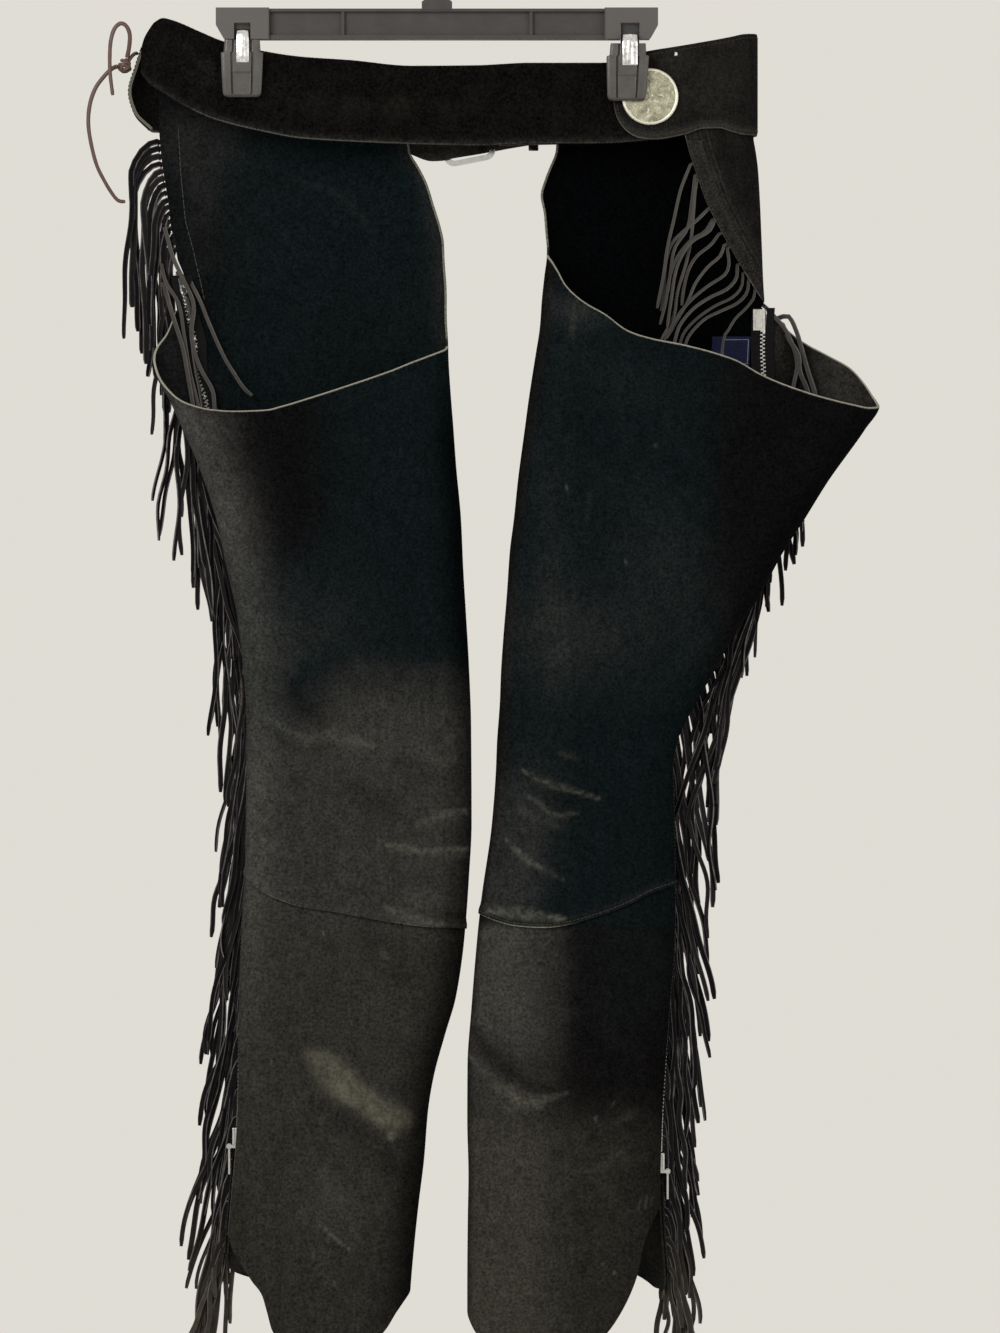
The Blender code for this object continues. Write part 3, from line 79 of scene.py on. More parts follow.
LEFT = {
    "side": -1.0,
    # height, outer x, inner x, middle y, half depth, zip angle, inner curl, outer curl
    "rows": (
        (-115.0, -240.0, -30.0, 22.0, 20.0, 30.0, 0.15, 0.15),
        (-158.0, -240.0, -24.5, 21.0, 21.0, 30.0, 0.18, 0.20),
        (-174.0, -239.6, -23.2, 20.5, 21.5, 31.0, 0.22, 0.25),
        (-188.0, -239.0, -16.0, 20.0, 22.0, 31.5, 0.28, 0.30),
        (-202.0, -238.0, -9.0, 19.0, 23.0, 32.4, 0.35, 0.35),
        (-216.0, -236.0, -4.0, 18.0, 24.0, 32.3, 0.42, 0.45),
        (-234.0, -234.0, 1.5, 17.5, 24.5, 32.1, 0.50, 0.60),
        (-250.0, -232.0, 4.8, 17.0, 25.0, 33.4, 0.58, 0.80),
        (-276.0, -229.0, 5.8, 16.5, 25.5, 34.5, 0.75, 1.0),
        (-310.0, -228.2, 7.0, 16.0, 26.0, 39.0, 0.92, 1.0),
        (-333.0, -228.4, 8.1, 16.0, 26.0, 43.0, 1.0, 1.0),
        (-343.0, -228.6, 8.3, 16.0, 26.0, 43.0, 1.0, 1.0),
        (-356.0, -226.4, 9.0, 15.8, 25.8, 42.5, 1.0, 1.0),
        (-377.0, -215.2, 10.5, 15.5, 25.5, 40.5, 1.0, 1.0),
        (-397.0, -206.3, 12.1, 15.2, 24.8, 35.0, 1.0, 1.0),
        (-430.0, -191.8, 14.5, 15.0, 23.5, 28.0, 1.0, 1.0),
        (-474.0, -177.3, 18.5, 14.5, 21.5, 22.0, 1.0, 1.0),
        (-512.0, -169.2, 20.2, 14.2, 19.8, 20.0, 1.0, 1.0),
        (-552.0, -160.6, 22.6, 14.0, 18.4, 18.0, 1.0, 1.0),
        (-590.0, -156.2, 24.8, 14.0, 17.2, 16.0, 1.0, 1.0),
        (-640.0, -152.8, 26.6, 14.0, 16.4, 14.0, 1.0, 1.0),
        (-719.0, -153.5, 27.0, 14.0, 15.8, 13.0, 1.0, 1.0),
        (-760.0, -154.4, 25.0, 14.0, 15.5, 12.0, 1.0, 1.0),
        (-813.0, -157.4, 21.0, 14.2, 15.6, 11.0, 1.0, 1.0),
        (-858.0, -159.0, 14.5, 14.5, 16.0, 9.0, 1.0, 1.0),
        (-889.0, -159.6, 5.6, 14.8, 16.3, 7.0, 1.0, 1.0),
        (-923.0, -160.0, -3.6, 15.0, 16.8, 4.0, 1.0, 1.0),
        (-950.0, -160.6, -8.1, 15.2, 17.2, 2.0, 1.0, 1.0),
        (-991.0, -163.5, -11.5, 15.6, 17.6, 0.0, 1.0, 1.0),
        (-1025.0, -166.6, -15.7, 16.0, 18.0, 0.0, 1.0, 1.0),
        (-1060.0, -169.5, -19.4, 16.2, 18.2, 0.0, 1.0, 1.0),
        (-1095.0, -172.0, -22.4, 16.4, 18.0, 0.0, 1.0, 1.0),
        (-1160.0, -174.0, -26.0, 16.6, 17.6, 0.0, 1.0, 1.0),
    ),
    # raw top edge of the near side, from the zip over the outer edge to the
    # inner fold: angle, height
    "rim": (
        (-34.5, -276.5), (-30.0, -305.0), (-21.5, -324.0), (-11.0, -333.0),
        (0.0, -342.6), (7.0, -355.0), (12.0, -366.0), (19.0, -374.5),
        (30.5, -380.6), (43.0, -384.6), (56.0, -386.0), (70.0, -385.2),
        (78.0, -382.0), (93.6, -373.5), (113.5, -361.8), (127.0, -353.8),
        (141.0, -345.6), (158.0, -338.5), (180.0, -333.0),
    ),
    "belt_line": (-122.0, -158.0),     # top of the far panel: outer, inner edge
    "knee": (                          # angle (either side), height
        (0.0, -759.5), (14.0, -764.0), (32.0, -773.0), (49.0, -781.0),
        (62.0, -786.0), (79.0, -790.0), (93.0, -794.0), (109.0, -798.0),
        (129.0, -801.6), (150.0, -803.0), (180.0, -803.6),
    ),
    "hem": (                           # angle, height
        (-180.0, -1095.0), (-150.0, -1100.0), (-90.0, -1098.0),
        (-40.0, -1086.0), (-14.0, -1078.0), (-8.0, -1072.0), (-3.0, -1062.0), (0.0, -1047.0),
        (14.0, -1056.0), (24.0, -1065.0), (36.0, -1076.0), (46.0, -1088.0), (54.0, -1098.0), (58.5, -1112.0),
        (63.0, -1128.0), (76.0, -1143.5), (98.0, -1149.4), (122.0, -1143.0),
        (138.5, -1128.0), (151.0, -1112.0), (165.0, -1101.0), (180.0, -1095.0),
    ),
    "zip": (-276.5, -964.3),           # chain: top, bottom
    "slider": (-964.6, -981.2),
    "strip": (-164.5, -1066.0),
    # fringe: height, x of the longest tips
    "tips": (
        (-168.0, -244.0), (-200.0, -252.0), (-284.0, -254.5), (-345.0, -249.0),
        (-390.0, -241.0), (-440.0, -240.0), (-484.0, -231.0), (-525.0, -207.0),
        (-557.0, -193.0), (-622.0, -183.0), (-697.0, -182.0), (-761.0, -178.0),
        (-824.0, -181.0), (-870.0, -184.0), (-934.0, -198.0), (-1005.0, -197.0),
        (-1085.0, -214.0), (-1104.0, -211.0), (-1129.0, -204.0),
    ),
    "fringe": (("top", -168.0, -372.0), ("mid", -376.0, -740.0), ("low", -744.0, -1129.0)),
}

RIGHT = {
    "side": 1.0,
    "rows": (
        (-140.0, 340.0, 97.5, 20.0, 22.0, 62.0, 0.15, 1.0),
        (-173.0, 340.0, 96.5, 19.5, 22.5, 60.0, 0.20, 1.0),
        (-190.0, 340.0, 91.1, 19.0, 23.0, 60.0, 0.30, 1.0),
        (-197.0, 340.0, 88.6, 18.8, 23.2, 60.0, 0.36, 1.0),
        (-211.0, 340.0, 84.8, 18.0, 24.0, 60.0, 0.50, 1.0),
        (-226.0, 340.5, 87.4, 17.0, 25.0, 61.0, 0.66, 1.0),
        (-243.0, 341.0, 88.7, 16.0, 26.0, 62.0, 0.84, 1.0),
        (-259.5, 342.0, 89.5, 15.0, 27.0, 63.0, 1.0, 1.0),
        (-277.0, 343.5, 87.5, 14.4, 27.6, 65.0, 1.0, 1.0),
        (-297.0, 345.0, 85.4, 13.6, 28.4, 67.0, 1.0, 1.0),
        (-317.0, 348.0, 84.0, 13.0, 29.0, 68.6, 1.0, 1.0),
        (-340.0, 352.5, 80.5, 13.0, 29.6, 69.6, 1.0, 1.0),
        (-362.0, 356.2, 77.0, 13.0, 30.0, 69.8, 1.0, 1.0),
        (-381.0, 356.5, 74.2, 13.0, 30.0, 69.3, 1.0, 1.0),
        (-400.0, 345.0, 71.7, 13.2, 29.4, 65.5, 1.0, 1.0),
        (-442.0, 315.1, 66.1, 13.6, 27.6, 53.9, 1.0, 1.0),
        (-473.0, 295.8, 62.9, 13.8, 25.8, 46.0, 1.0, 1.0),
        (-499.0, 278.9, 59.6, 14.0, 24.0, 40.0, 1.0, 1.0),
        (-534.0, 260.0, 57.2, 14.0, 21.8, 36.0, 1.0, 1.0),
        (-568.0, 238.2, 54.4, 14.0, 19.8, 31.0, 1.0, 1.0),
        (-598.0, 221.7, 52.4, 14.0, 18.4, 27.5, 1.0, 1.0),
        (-620.0, 209.0, 51.6, 14.0, 17.4, 24.0, 1.0, 1.0),
        (-654.0, 193.0, 49.2, 14.0, 16.5, 18.0, 1.0, 1.0),
        (-675.0, 189.8, 48.4, 14.0, 16.2, 15.5, 1.0, 1.0),
        (-720.0, 190.8, 45.0, 14.0, 15.8, 13.5, 1.0, 1.0),
        (-779.0, 191.6, 36.7, 14.0, 15.5, 12.0, 1.0, 1.0),
        (-812.0, 191.2, 33.2, 14.2, 15.6, 11.0, 1.0, 1.0),
        (-869.0, 187.0, 28.5, 14.6, 16.0, 9.0, 1.0, 1.0),
        (-914.0, 183.8, 25.4, 15.0, 16.6, 6.0, 1.0, 1.0),
        (-958.0, 181.2, 25.2, 15.4, 17.2, 3.0, 1.0, 1.0),
        (-1003.0, 180.2, 26.2, 15.8, 17.6, 0.0, 1.0, 1.0),
        (-1040.0, 181.5, 25.6, 16.2, 18.0, 0.0, 1.0, 1.0),
        (-1092.0, 185.2, 25.2, 16.4, 18.0, 0.0, 1.0, 1.0),
        (-1165.0, 186.0, 25.2, 16.6, 17.6, 0.0, 1.0, 1.0),
    ),
    "rim": (
        (-68.0, -298.5), (-65.0, -302.5), (-61.5, -313.5), (-54.0, -327.6), (-42.0, -340.2),
        (-32.0, -349.4), (-23.0, -362.0), (-12.0, -375.0), (0.0, -381.4),
        (20.0, -383.0), (33.6, -380.4), (48.2, -374.8), (60.0, -367.5),
        (70.7, -358.0), (81.0, -344.4), (97.4, -333.2), (108.9, -328.0),
        (117.7, -322.0), (128.0, -308.0), (137.4, -299.0), (150.0, -284.5),
        (158.0, -272.4), (168.0, -263.6), (180.0, -259.5),
    ),
    "belt_line": (-143.0, -156.0),
    "knee": (
        (0.0, -767.5), (18.0, -769.5), (39.6, -774.2), (62.0, -785.9),
        (82.0, -795.2), (97.5, -800.8), (110.0, -802.7), (129.0, -801.3),
        (146.0, -797.4), (163.0, -793.4), (180.0, -791.0),
    ),
    "hem": (
        (-180.0, -1112.0), (-150.0, -1105.0), (-90.0, -1090.0), (-62.0, -1083.0),
        (-47.0, -1084.5), (-36.0, -1090.0), (-27.0, -1095.0), (-14.0, -1096.0), (-8.0, -1091.0), (0.0, -1026.0),
        (12.0, -1029.0), (36.0, -1054.0), (46.0, -1085.0), (55.0, -1107.0),
        (66.0, -1128.0), (82.5, -1149.0), (103.0, -1155.0), (129.0, -1149.4),
        (154.0, -1131.0), (168.0, -1118.0), (180.0, -1112.0),
    ),
    "zip": (-306.3, -984.6),
    "slider": (-985.0, -1001.4),
    "strip": (-318.0, -1080.0),
    "tips": (
        (-330.0, 292.0), (-440.0, 300.0), (-487.0, 298.0), (-515.0, 288.0),
        (-541.0, 281.0), (-577.0, 263.0), (-597.0, 248.0), (-623.0, 244.0),
        (-660.0, 238.0), (-692.0, 226.0), (-740.0, 227.0), (-830.0, 227.0),
        (-893.0, 222.0), (-943.0, 224.0), (-1006.0, 212.0), (-1077.0, 219.0),
        (-1111.0, 218.0), (-1135.0, 208.0),
    ),
    "fringe": (("mid", -330.0, -700.0), ("low", -704.0, -1135.0)),
}

# The right hip: the far panel wraps forward round the hip and its free edge,
# with the fringe on it, runs down to the top of the zip.
HIP = (
    # height, outermost x, y of the near lap, x of its free edge
    (-143.0, 254.6, -0.7, 196.0),
    (-164.0, 254.9, -0.7, 200.0),
    (-176.0, 256.8, 0.0, 203.0),
    (-190.0, 258.6, 1.4, 207.6),
    (-215.0, 260.2, 6.0, 216.4),
    (-239.0, 261.4, 14.0, 229.0),
    (-258.0, 262.3, 22.5, 240.0),
    (-275.0, 263.1, 31.0, 250.5),
    (-288.0, 263.9, 37.4, 259.0),
    (-296.0, 264.6, 41.0, 264.4),
)


# ---- curves through the tables ------------------------------------------------
def curve(table, keys, column):
    """A column of a table at many heights or angles, smooth, without overshoot."""
    rows = table if table[0][0] < table[-1][0] else table[::-1]
    k = np.array([r[0] for r in rows], float)
    v = np.array([r[column] for r in rows], float)
    h = np.diff(k)
    s = np.diff(v) / h
    m = np.zeros(len(k))
    m[0], m[-1] = s[0], s[-1]
    both = s[:-1] * s[1:]
    m[1:-1] = np.where(both > 0, 2 * both / np.where(both > 0, s[:-1] + s[1:], 1.0), 0.0)
    x = np.clip(np.asarray(keys, float), k[0], k[-1])
    i = np.clip(np.searchsorted(k, x, side="right") - 1, 0, len(h) - 1)
    t = (x - k[i]) / h[i]
    return ((2 * t ** 3 - 3 * t ** 2 + 1) * v[i] + (t ** 3 - 2 * t ** 2 + t) * h[i] * m[i]
            + (3 * t ** 2 - 2 * t ** 3) * v[i + 1] + (t ** 3 - t ** 2) * h[i] * m[i + 1])


def ramp(x, lo, hi):
    t = np.clip((np.asarray(x, float) - lo) / (hi - lo), 0.0, 1.0)
    return t * t * (3 - 2 * t)


def through(points, spacing):
    """Evenly spaced points on one smooth curve through a short route (n x 3)."""
    p = np.asarray(points, float)
    p = np.vstack([2 * p[0] - p[1], p, 2 * p[-1] - p[-2]])
    fine = []
    t = (np.arange(24) / 24)[:, None]
    for i in range(1, len(p) - 2):
        fine.append(0.5 * ((2 * p[i]) + (p[i + 1] - p[i - 1]) * t
                    + (2 * p[i - 1] - 5 * p[i] + 4 * p[i + 1] - p[i + 2]) * t * t
                    + (3 * p[i] - p[i - 1] - 3 * p[i + 1] + p[i + 2]) * t ** 3))
    fine.append(p[-2][None])
    fine = np.vstack(fine)
    run = np.concatenate([[0], np.cumsum(np.linalg.norm(np.diff(fine, axis=0), axis=1))])
    count = max(2, round(run[-1] / spacing))
    want = np.linspace(0, run[-1], count + 1)
    return np.stack([np.interp(want, run, fine[:, c]) for c in range(3)], 1)


class Leg:
    """One flattened tube, read every millimetre of its height."""

    def __init__(self, data):
        self.d, self.side = data, data["side"]
        self.zs = np.arange(-1176.0, -109.0, 1.0)
        names = ("outer", "inner", "mid", "half", "zip", "curl_in", "curl_out")
        self.c = {n: curve(data["rows"], self.zs, i + 1) for i, n in enumerate(names)}
        self.c["cx"] = (self.c["outer"] + self.c["inner"]) / 2
        self.c["a"] = np.abs(self.c["outer"] - self.c["inner"]) / 2
        self.angles = np.arange(-180.0, 180.25, 0.5)
        p = self.around(self.zs[:, None], self.angles[None, :])
        step = np.linalg.norm(np.diff(p, axis=1), axis=2)
        run = np.concatenate([np.zeros((len(self.zs), 1)), np.cumsum(step, axis=1)], axis=1)
        self.run = run
        self.girth = run[:, -1]
        self.kept = {}
        gap = ZIP_GAP / 2 * np.clip((data["zip"][0] + 14.0 - self.zs) / 14.0, 0.0, 1.0)
        self.far_edge_at = self.offset(-gap)
        self.near_edge_at = self.offset(ZIP_GAP / 2)

    def s(self, name, z):
        return np.interp(z, self.zs, self.c[name])

    def around(self, z, angle):
        z, angle = np.broadcast_arrays(np.asarray(z, float), np.asarray(angle, float))
        r = np.radians(angle)
        c = np.cos(r)
        depth = self.s("half", z) * (1.0 - np.minimum(1.0, np.abs(c)) ** ROUND) ** (1.0 / ROUND)
        y = self.s("mid", z) + np.where(np.sin(r) >= 0, -depth, depth)
        return np.stack([self.s("cx", z) + self.side * self.s("a", z) * c, y, z], -1)

    def offset(self, distance):
        """Angle, at every height, of the line a distance round from the zip."""
        distance = np.broadcast_to(distance, self.zs.shape)
        out = np.empty(len(self.zs))
        for k in range(len(self.zs)):
            start = np.interp(-self.c["zip"][k], self.angles, self.run[k])
            out[k] = np.interp(start + distance[k], self.run[k], self.angles)
        return out

    def line(self, z, distance):
        """Angle of the line that lies a fixed distance round from the zip."""
        if distance not in self.kept:
            self.kept[distance] = self.offset(distance)
        return np.interp(z, self.zs, self.kept[distance])

    def near_angle(self, z, u):
        start = np.interp(z, self.zs, self.near_edge_at)
        return start + (180.0 - start) * u

    def far_edge(self, z):
        return np.interp(z, self.zs, self.far_edge_at)

    def far_point(self, z, t):
        z, t = np.broadcast_arrays(np.asarray(z, float), np.asarray(t, float))
        inner, cx, a = self.s("inner", z), self.s("cx", z), self.s("a", z)
        half, mid = self.s("half", z), self.s("mid", z)
        edge = self.around(z, self.far_edge(z))[..., 0]
        wraps = (z > HIP[-1][0]) if self.d is RIGHT else np.zeros(z.shape, bool)
        near_y = curve(HIP, z, 2)
        edge = np.where(wraps, curve(HIP, z, 1), edge)
        x = inner + (edge - inner) * (1 - np.cos(np.pi * t)) / 2
        xi = np.clip(self.side * (x - cx) / a, -1.0, 1.0)
        bow = half * (1.0 - (1.0 - np.abs(xi) ** ROUND) ** (1.0 / ROUND))
        y = mid + half - bow * np.where(xi < 0, self.s("curl_in", z), self.s("curl_out", z))
        h2 = (y - near_y) / 2
        reach = np.maximum(np.minimum(h2, 24.0), 0.01)
        k = np.clip((x - (edge - reach)) / reach, 0.0, 1.0)
        y = np.where(wraps & (k > 0), y - h2 * (1.0 - np.sqrt(np.maximum(0.0, 1.0 - k * k))), y)
        return np.stack([x, y, z], -1)

    def far_angle(self, z, t):
        p = self.far_point(z, t)
        c = np.clip(self.side * (p[..., 0] - self.s("cx", z)) / self.s("a", z), -1.0, 1.0)
        return -np.degrees(np.arccos(c))

    def knee(self, angle):
        return curve(self.d["knee"], np.abs((angle + 180.0) % 360.0 - 180.0), 1)

    def hem(self, angle):
        return curve(self.d["hem"], angle, 1)

    def normal(self, z, angle):
        """Outward normal of the closed tube."""
        da = self.around(z, np.asarray(angle) + 0.7) - self.around(z, np.asarray(angle) - 0.7)
        dz = self.around(np.asarray(z) + 2.0, angle) - self.around(np.asarray(z) - 2.0, angle)
        n = np.cross(da, dz)
        n /= np.linalg.norm(n, axis=-1, keepdims=True) + 1e-9
        p = self.around(z, angle)
        out = p - np.stack([self.s("cx", p[..., 2]), self.s("mid", p[..., 2]), p[..., 2]], -1)
        flip = (n * out).sum(-1, keepdims=True) < 0
        return np.where(flip, -n, n)


def hip_point(z, t):
    """The near lap of the right hip: t = 0 at the outermost line, 1 at its edge."""
    edge, near_y, free = (float(curve(HIP, z, c)) for c in (1, 2, 3))
    s = {n: float(R.s(n, z)) for n in ("cx", "a", "half", "mid", "curl_in", "curl_out")}
    xi = (edge - 24.0 - s["cx"]) / s["a"]
    bow = s["half"] * (1.0 - (1.0 - abs(xi) ** ROUND) ** (1.0 / ROUND))
    far_y = s["mid"] + s["half"] - bow * (s["curl_in"] if xi < 0 else s["curl_out"])
    half = (far_y - near_y) / 2
    reach = min(half, 24.0)
    k = np.arange(17) / 16
    pts = np.stack([edge - reach + reach * np.cos(np.pi / 2 * k),
                    far_y - half - half * np.sin(np.pi / 2 * k), np.full(17, z)], 1)
    pts = np.vstack([pts, [min(free, edge - reach - 0.01), near_y, z]])
    run = np.concatenate([[0], np.cumsum(np.linalg.norm(np.diff(pts, axis=0), axis=1))])
    return np.stack([np.interp(np.asarray(t) * run[-1], run, pts[:, c]) for c in range(3)], -1)


L, R = Leg(LEFT), Leg(RIGHT)


def settle(height_of, z):
    for _ in range(14):
        z = height_of(z)
    return z


def spaced(length, coarse, start=(), end=()):
    """0..1 over a length in mm: fine steps at given distances from either end."""
    a = [d for d in (0.0, *start)]
    b = [length - d for d in (0.0, *end)][::-1]
    lo, hi = a[-1], b[0]
    n = max(2, int(round((hi - lo) / coarse)))
    mid = np.linspace(lo, hi, n + 1)[1:-1]
    return np.concatenate([a, mid, b]) / length


# ---- marks ---------------------------------------------------------------------
def stroke(x, z, points, width, skew=0.0):
    """A soft stroke along a short line: 1 on it, 0 away from it.  A skewed one
    has a hollow beside its ridge, on the side below (+) or above (-)."""
    best = np.full(x.shape, 1e9)
    along_it = np.zeros(x.shape)
    signed = np.zeros(x.shape)
    p = np.asarray(points, float)
    run = np.concatenate([[0], np.cumsum(np.linalg.norm(np.diff(p, axis=0), axis=1))])
    for k in range(len(p) - 1):
        d = p[k + 1] - p[k]
        n = d @ d
        t = np.clip(((x - p[k][0]) * d[0] + (z - p[k][1]) * d[1]) / n, 0.0, 1.0)
        qx, qz = p[k][0] + d[0] * t, p[k][1] + d[1] * t
        dist = np.hypot(x - qx, z - qz)
        hit = dist < best
        best = np.where(hit, dist, best)
        along_it = np.where(hit, (run[k] + t * math.sqrt(n)) / run[-1], along_it)
        left = d[0] * (z - p[k][1]) - d[1] * (x - p[k][0])
        signed = np.where(hit, np.sign(left) * dist, signed)
    fade_ends = np.sin(np.pi * np.clip(along_it, 0.0, 1.0)) ** 0.6
    fade_ends = np.where((along_it <= 0) | (along_it >= 1), 0.0, fade_ends)
    soft = np.exp(-(best / width) ** 2)
    if skew:
        hollow = np.exp(-((signed + 1.7 * width * np.sign(skew)) / width) ** 2) * np.exp(-(best / (4 * width)) ** 2)
        soft = soft - abs(skew) * hollow
    return soft * fade_ends


def blob(x, z, cx, cz, rx, rz, turn=0.0):
    c, s = math.cos(math.radians(turn)), math.sin(math.radians(turn))
    u = (x - cx) * c + (z - cz) * s
    v = -(x - cx) * s + (z - cz) * c
    return np.exp(-((u / rx) ** 2 + (v / rz) ** 2))


def shot(points, u0, v0, scale):
    """Width and height in mm of points measured on an enlargement."""
    out = []
    for u, v in points:
        px, py = u0 + u / scale, v0 + v / scale
        out.append(((px - 437.0) * 0.806, -(py + 68.0) * 0.806))
    return np.array(out)


def smear(x, z, points, widths, power=2.6):
    """A flat-topped mark: points along its middle, half its width at each."""
    best = np.zeros(x.shape)
    for k in range(len(points) - 1):
        d = points[k + 1] - points[k]
        t = np.clip(((x - points[k][0]) * d[0] + (z - points[k][1]) * d[1]) / (d @ d + 1e-9), 0.0, 1.0)
        dist = np.hypot(x - points[k][0] - d[0] * t, z - points[k][1] - d[1] * t)
        w = widths[k] + (widths[k + 1] - widths[k]) * t
        best = np.maximum(best, np.exp(-(dist / w) ** power) * np.minimum(1.0, w / 0.9))
    return best


def marks_of(x, z, table, power=2.6):
    """The strongest of a table of marks at every point."""
    out = np.zeros(x.shape)
    for (u0, v0, scale), points, widths, strength in table:
        wide = [max(0.35, w / scale * 0.806) for w in widths]
        out = np.maximum(out, strength * smear(x, z, shot(points, u0, v0, scale), wide, power))
    return out


def waves(x, z, seed, size, amount):
    """Slow undulation: a few crossed sine waves with hand-sized lengths."""
    rng = random.Random(seed)
    out = np.zeros(np.shape(x))
    for _ in range(5):
        a = rng.uniform(0, math.pi)
        k = 2 * math.pi / (size * rng.uniform(0.6, 1.5))
        out = out + np.sin((x * math.cos(a) + z * math.sin(a)) * k + rng.uniform(0, 6.28)) * rng.uniform(0.5, 1.0)
    return out * amount / 2.2


# ---- materials -------------------------------------------------------------------
class Look:
    """A Principled material built node by node, in object space, metres."""

    def __init__(self, name, rough=0.9, metal=0.0, specular=None, sheen=0.0, sheen_rough=0.5,
                 sheen_tint=(1, 1, 1), coat=0.0, coat_rough=0.1, aniso=0.0):
        self.m = bpy.data.materials.new(name)
        self.m.use_nodes = True
        self.t = self.m.node_tree
        self.b = self.t.nodes["Principled BSDF"]
        self.b.inputs["Roughness"].default_value = rough
        self.b.inputs["Metallic"].default_value = metal
        if specular is not None:
            self.b.inputs["Specular IOR Level"].default_value = specular
        self.b.inputs["Sheen Weight"].default_value = sheen
        self.b.inputs["Sheen Roughness"].default_value = sheen_rough
        self.b.inputs["Sheen Tint"].default_value = (*sheen_tint, 1.0)
        self.b.inputs["Coat Weight"].default_value = coat
        self.b.inputs["Coat Roughness"].default_value = coat_rough
        self.b.inputs["Anisotropic"].default_value = aniso
        self.where = self.t.nodes.new("ShaderNodeTexCoord").outputs["Object"]

    def link(self, a, b):
        self.t.links.new(a, b)

    def put(self, socket, value):
        if isinstance(value, bpy.types.NodeSocket):
            self.link(value, socket)
        elif isinstance(value, (tuple, list)) and len(value) == 3 and socket.type == "RGBA":
            socket.default_value = (*value, 1.0)
        else:
            socket.default_value = value

    def attr(self, name):
        n = self.t.nodes.new("ShaderNodeAttribute")
        n.attribute_name = name
        return n.outputs["Fac"]

    def stretch(self, scale, vector=None):
        n = self.t.nodes.new("ShaderNodeMapping")
        self.link(vector or self.where, n.inputs["Vector"])
        n.inputs["Scale"].default_value = scale
        return n.outputs["Vector"]

    def noise(self, scale, detail=3.0, rough=0.55, vector=None, distortion=0.0):
        n = self.t.nodes.new("ShaderNodeTexNoise")
        self.link(vector or self.where, n.inputs["Vector"])
        n.inputs["Scale"].default_value = scale
        n.inputs["Detail"].default_value = detail
        n.inputs["Roughness"].default_value = rough
        n.inputs["Distortion"].default_value = distortion
        return n.outputs["Fac"]

    def cells(self, scale, feature="F1", vector=None):
        n = self.t.nodes.new("ShaderNodeTexVoronoi")
        self.link(vector or self.where, n.inputs["Vector"])
        n.inputs["Scale"].default_value = scale
        n.feature = feature
        return n.outputs["Distance"]

    def bands(self, scale, direction="Z", vector=None, distortion=0.0):
        n = self.t.nodes.new("ShaderNodeTexWave")
        self.link(vector or self.where, n.inputs["Vector"])
        n.inputs["Scale"].default_value = scale
        n.inputs["Distortion"].default_value = distortion
        n.bands_direction = direction
        return n.outputs["Fac"]

    def math(self, kind, a, b=0.0, c=None, clamp=False):
        n = self.t.nodes.new("ShaderNodeMath")
        n.operation = kind
        n.use_clamp = clamp
        self.put(n.inputs[0], a)
        self.put(n.inputs[1], b)
        if c is not None:
            self.put(n.inputs[2], c)
        return n.outputs[0]

    def range(self, value, lo, hi, to_lo=0.0, to_hi=1.0):
        n = self.t.nodes.new("ShaderNodeMapRange")
        n.clamp = True
        self.put(n.inputs["Value"], value)
        n.inputs["From Min"].default_value = lo
        n.inputs["From Max"].default_value = hi
        n.inputs["To Min"].default_value = to_lo
        n.inputs["To Max"].default_value = to_hi
        return n.outputs["Result"]

    def mix(self, fac, a, b, kind="MIX"):
        n = self.t.nodes.new("ShaderNodeMix")
        n.data_type = "RGBA"
        n.blend_type = kind
        n.clamp_factor = True
        self.put(n.inputs[0], fac)
        self.put(n.inputs[6], a)
        self.put(n.inputs[7], b)
        return n.outputs[2]

    def bump(self, height, strength, distance, normal=None):
        n = self.t.nodes.new("ShaderNodeBump")
        n.inputs["Strength"].default_value = strength
        n.inputs["Distance"].default_value = distance
        self.link(height, n.inputs["Height"])
        if normal is not None:
            self.link(normal, n.inputs["Normal"])
        return n.outputs["Normal"]

    def done(self, colour=None, rough=None, normal=None):
        if colour is not None:
            self.put(self.b.inputs["Base Color"], colour)
        if rough is not None:
            self.put(self.b.inputs["Roughness"], rough)
        if normal is not None:
            self.link(normal, self.b.inputs["Normal"])
        return self.m


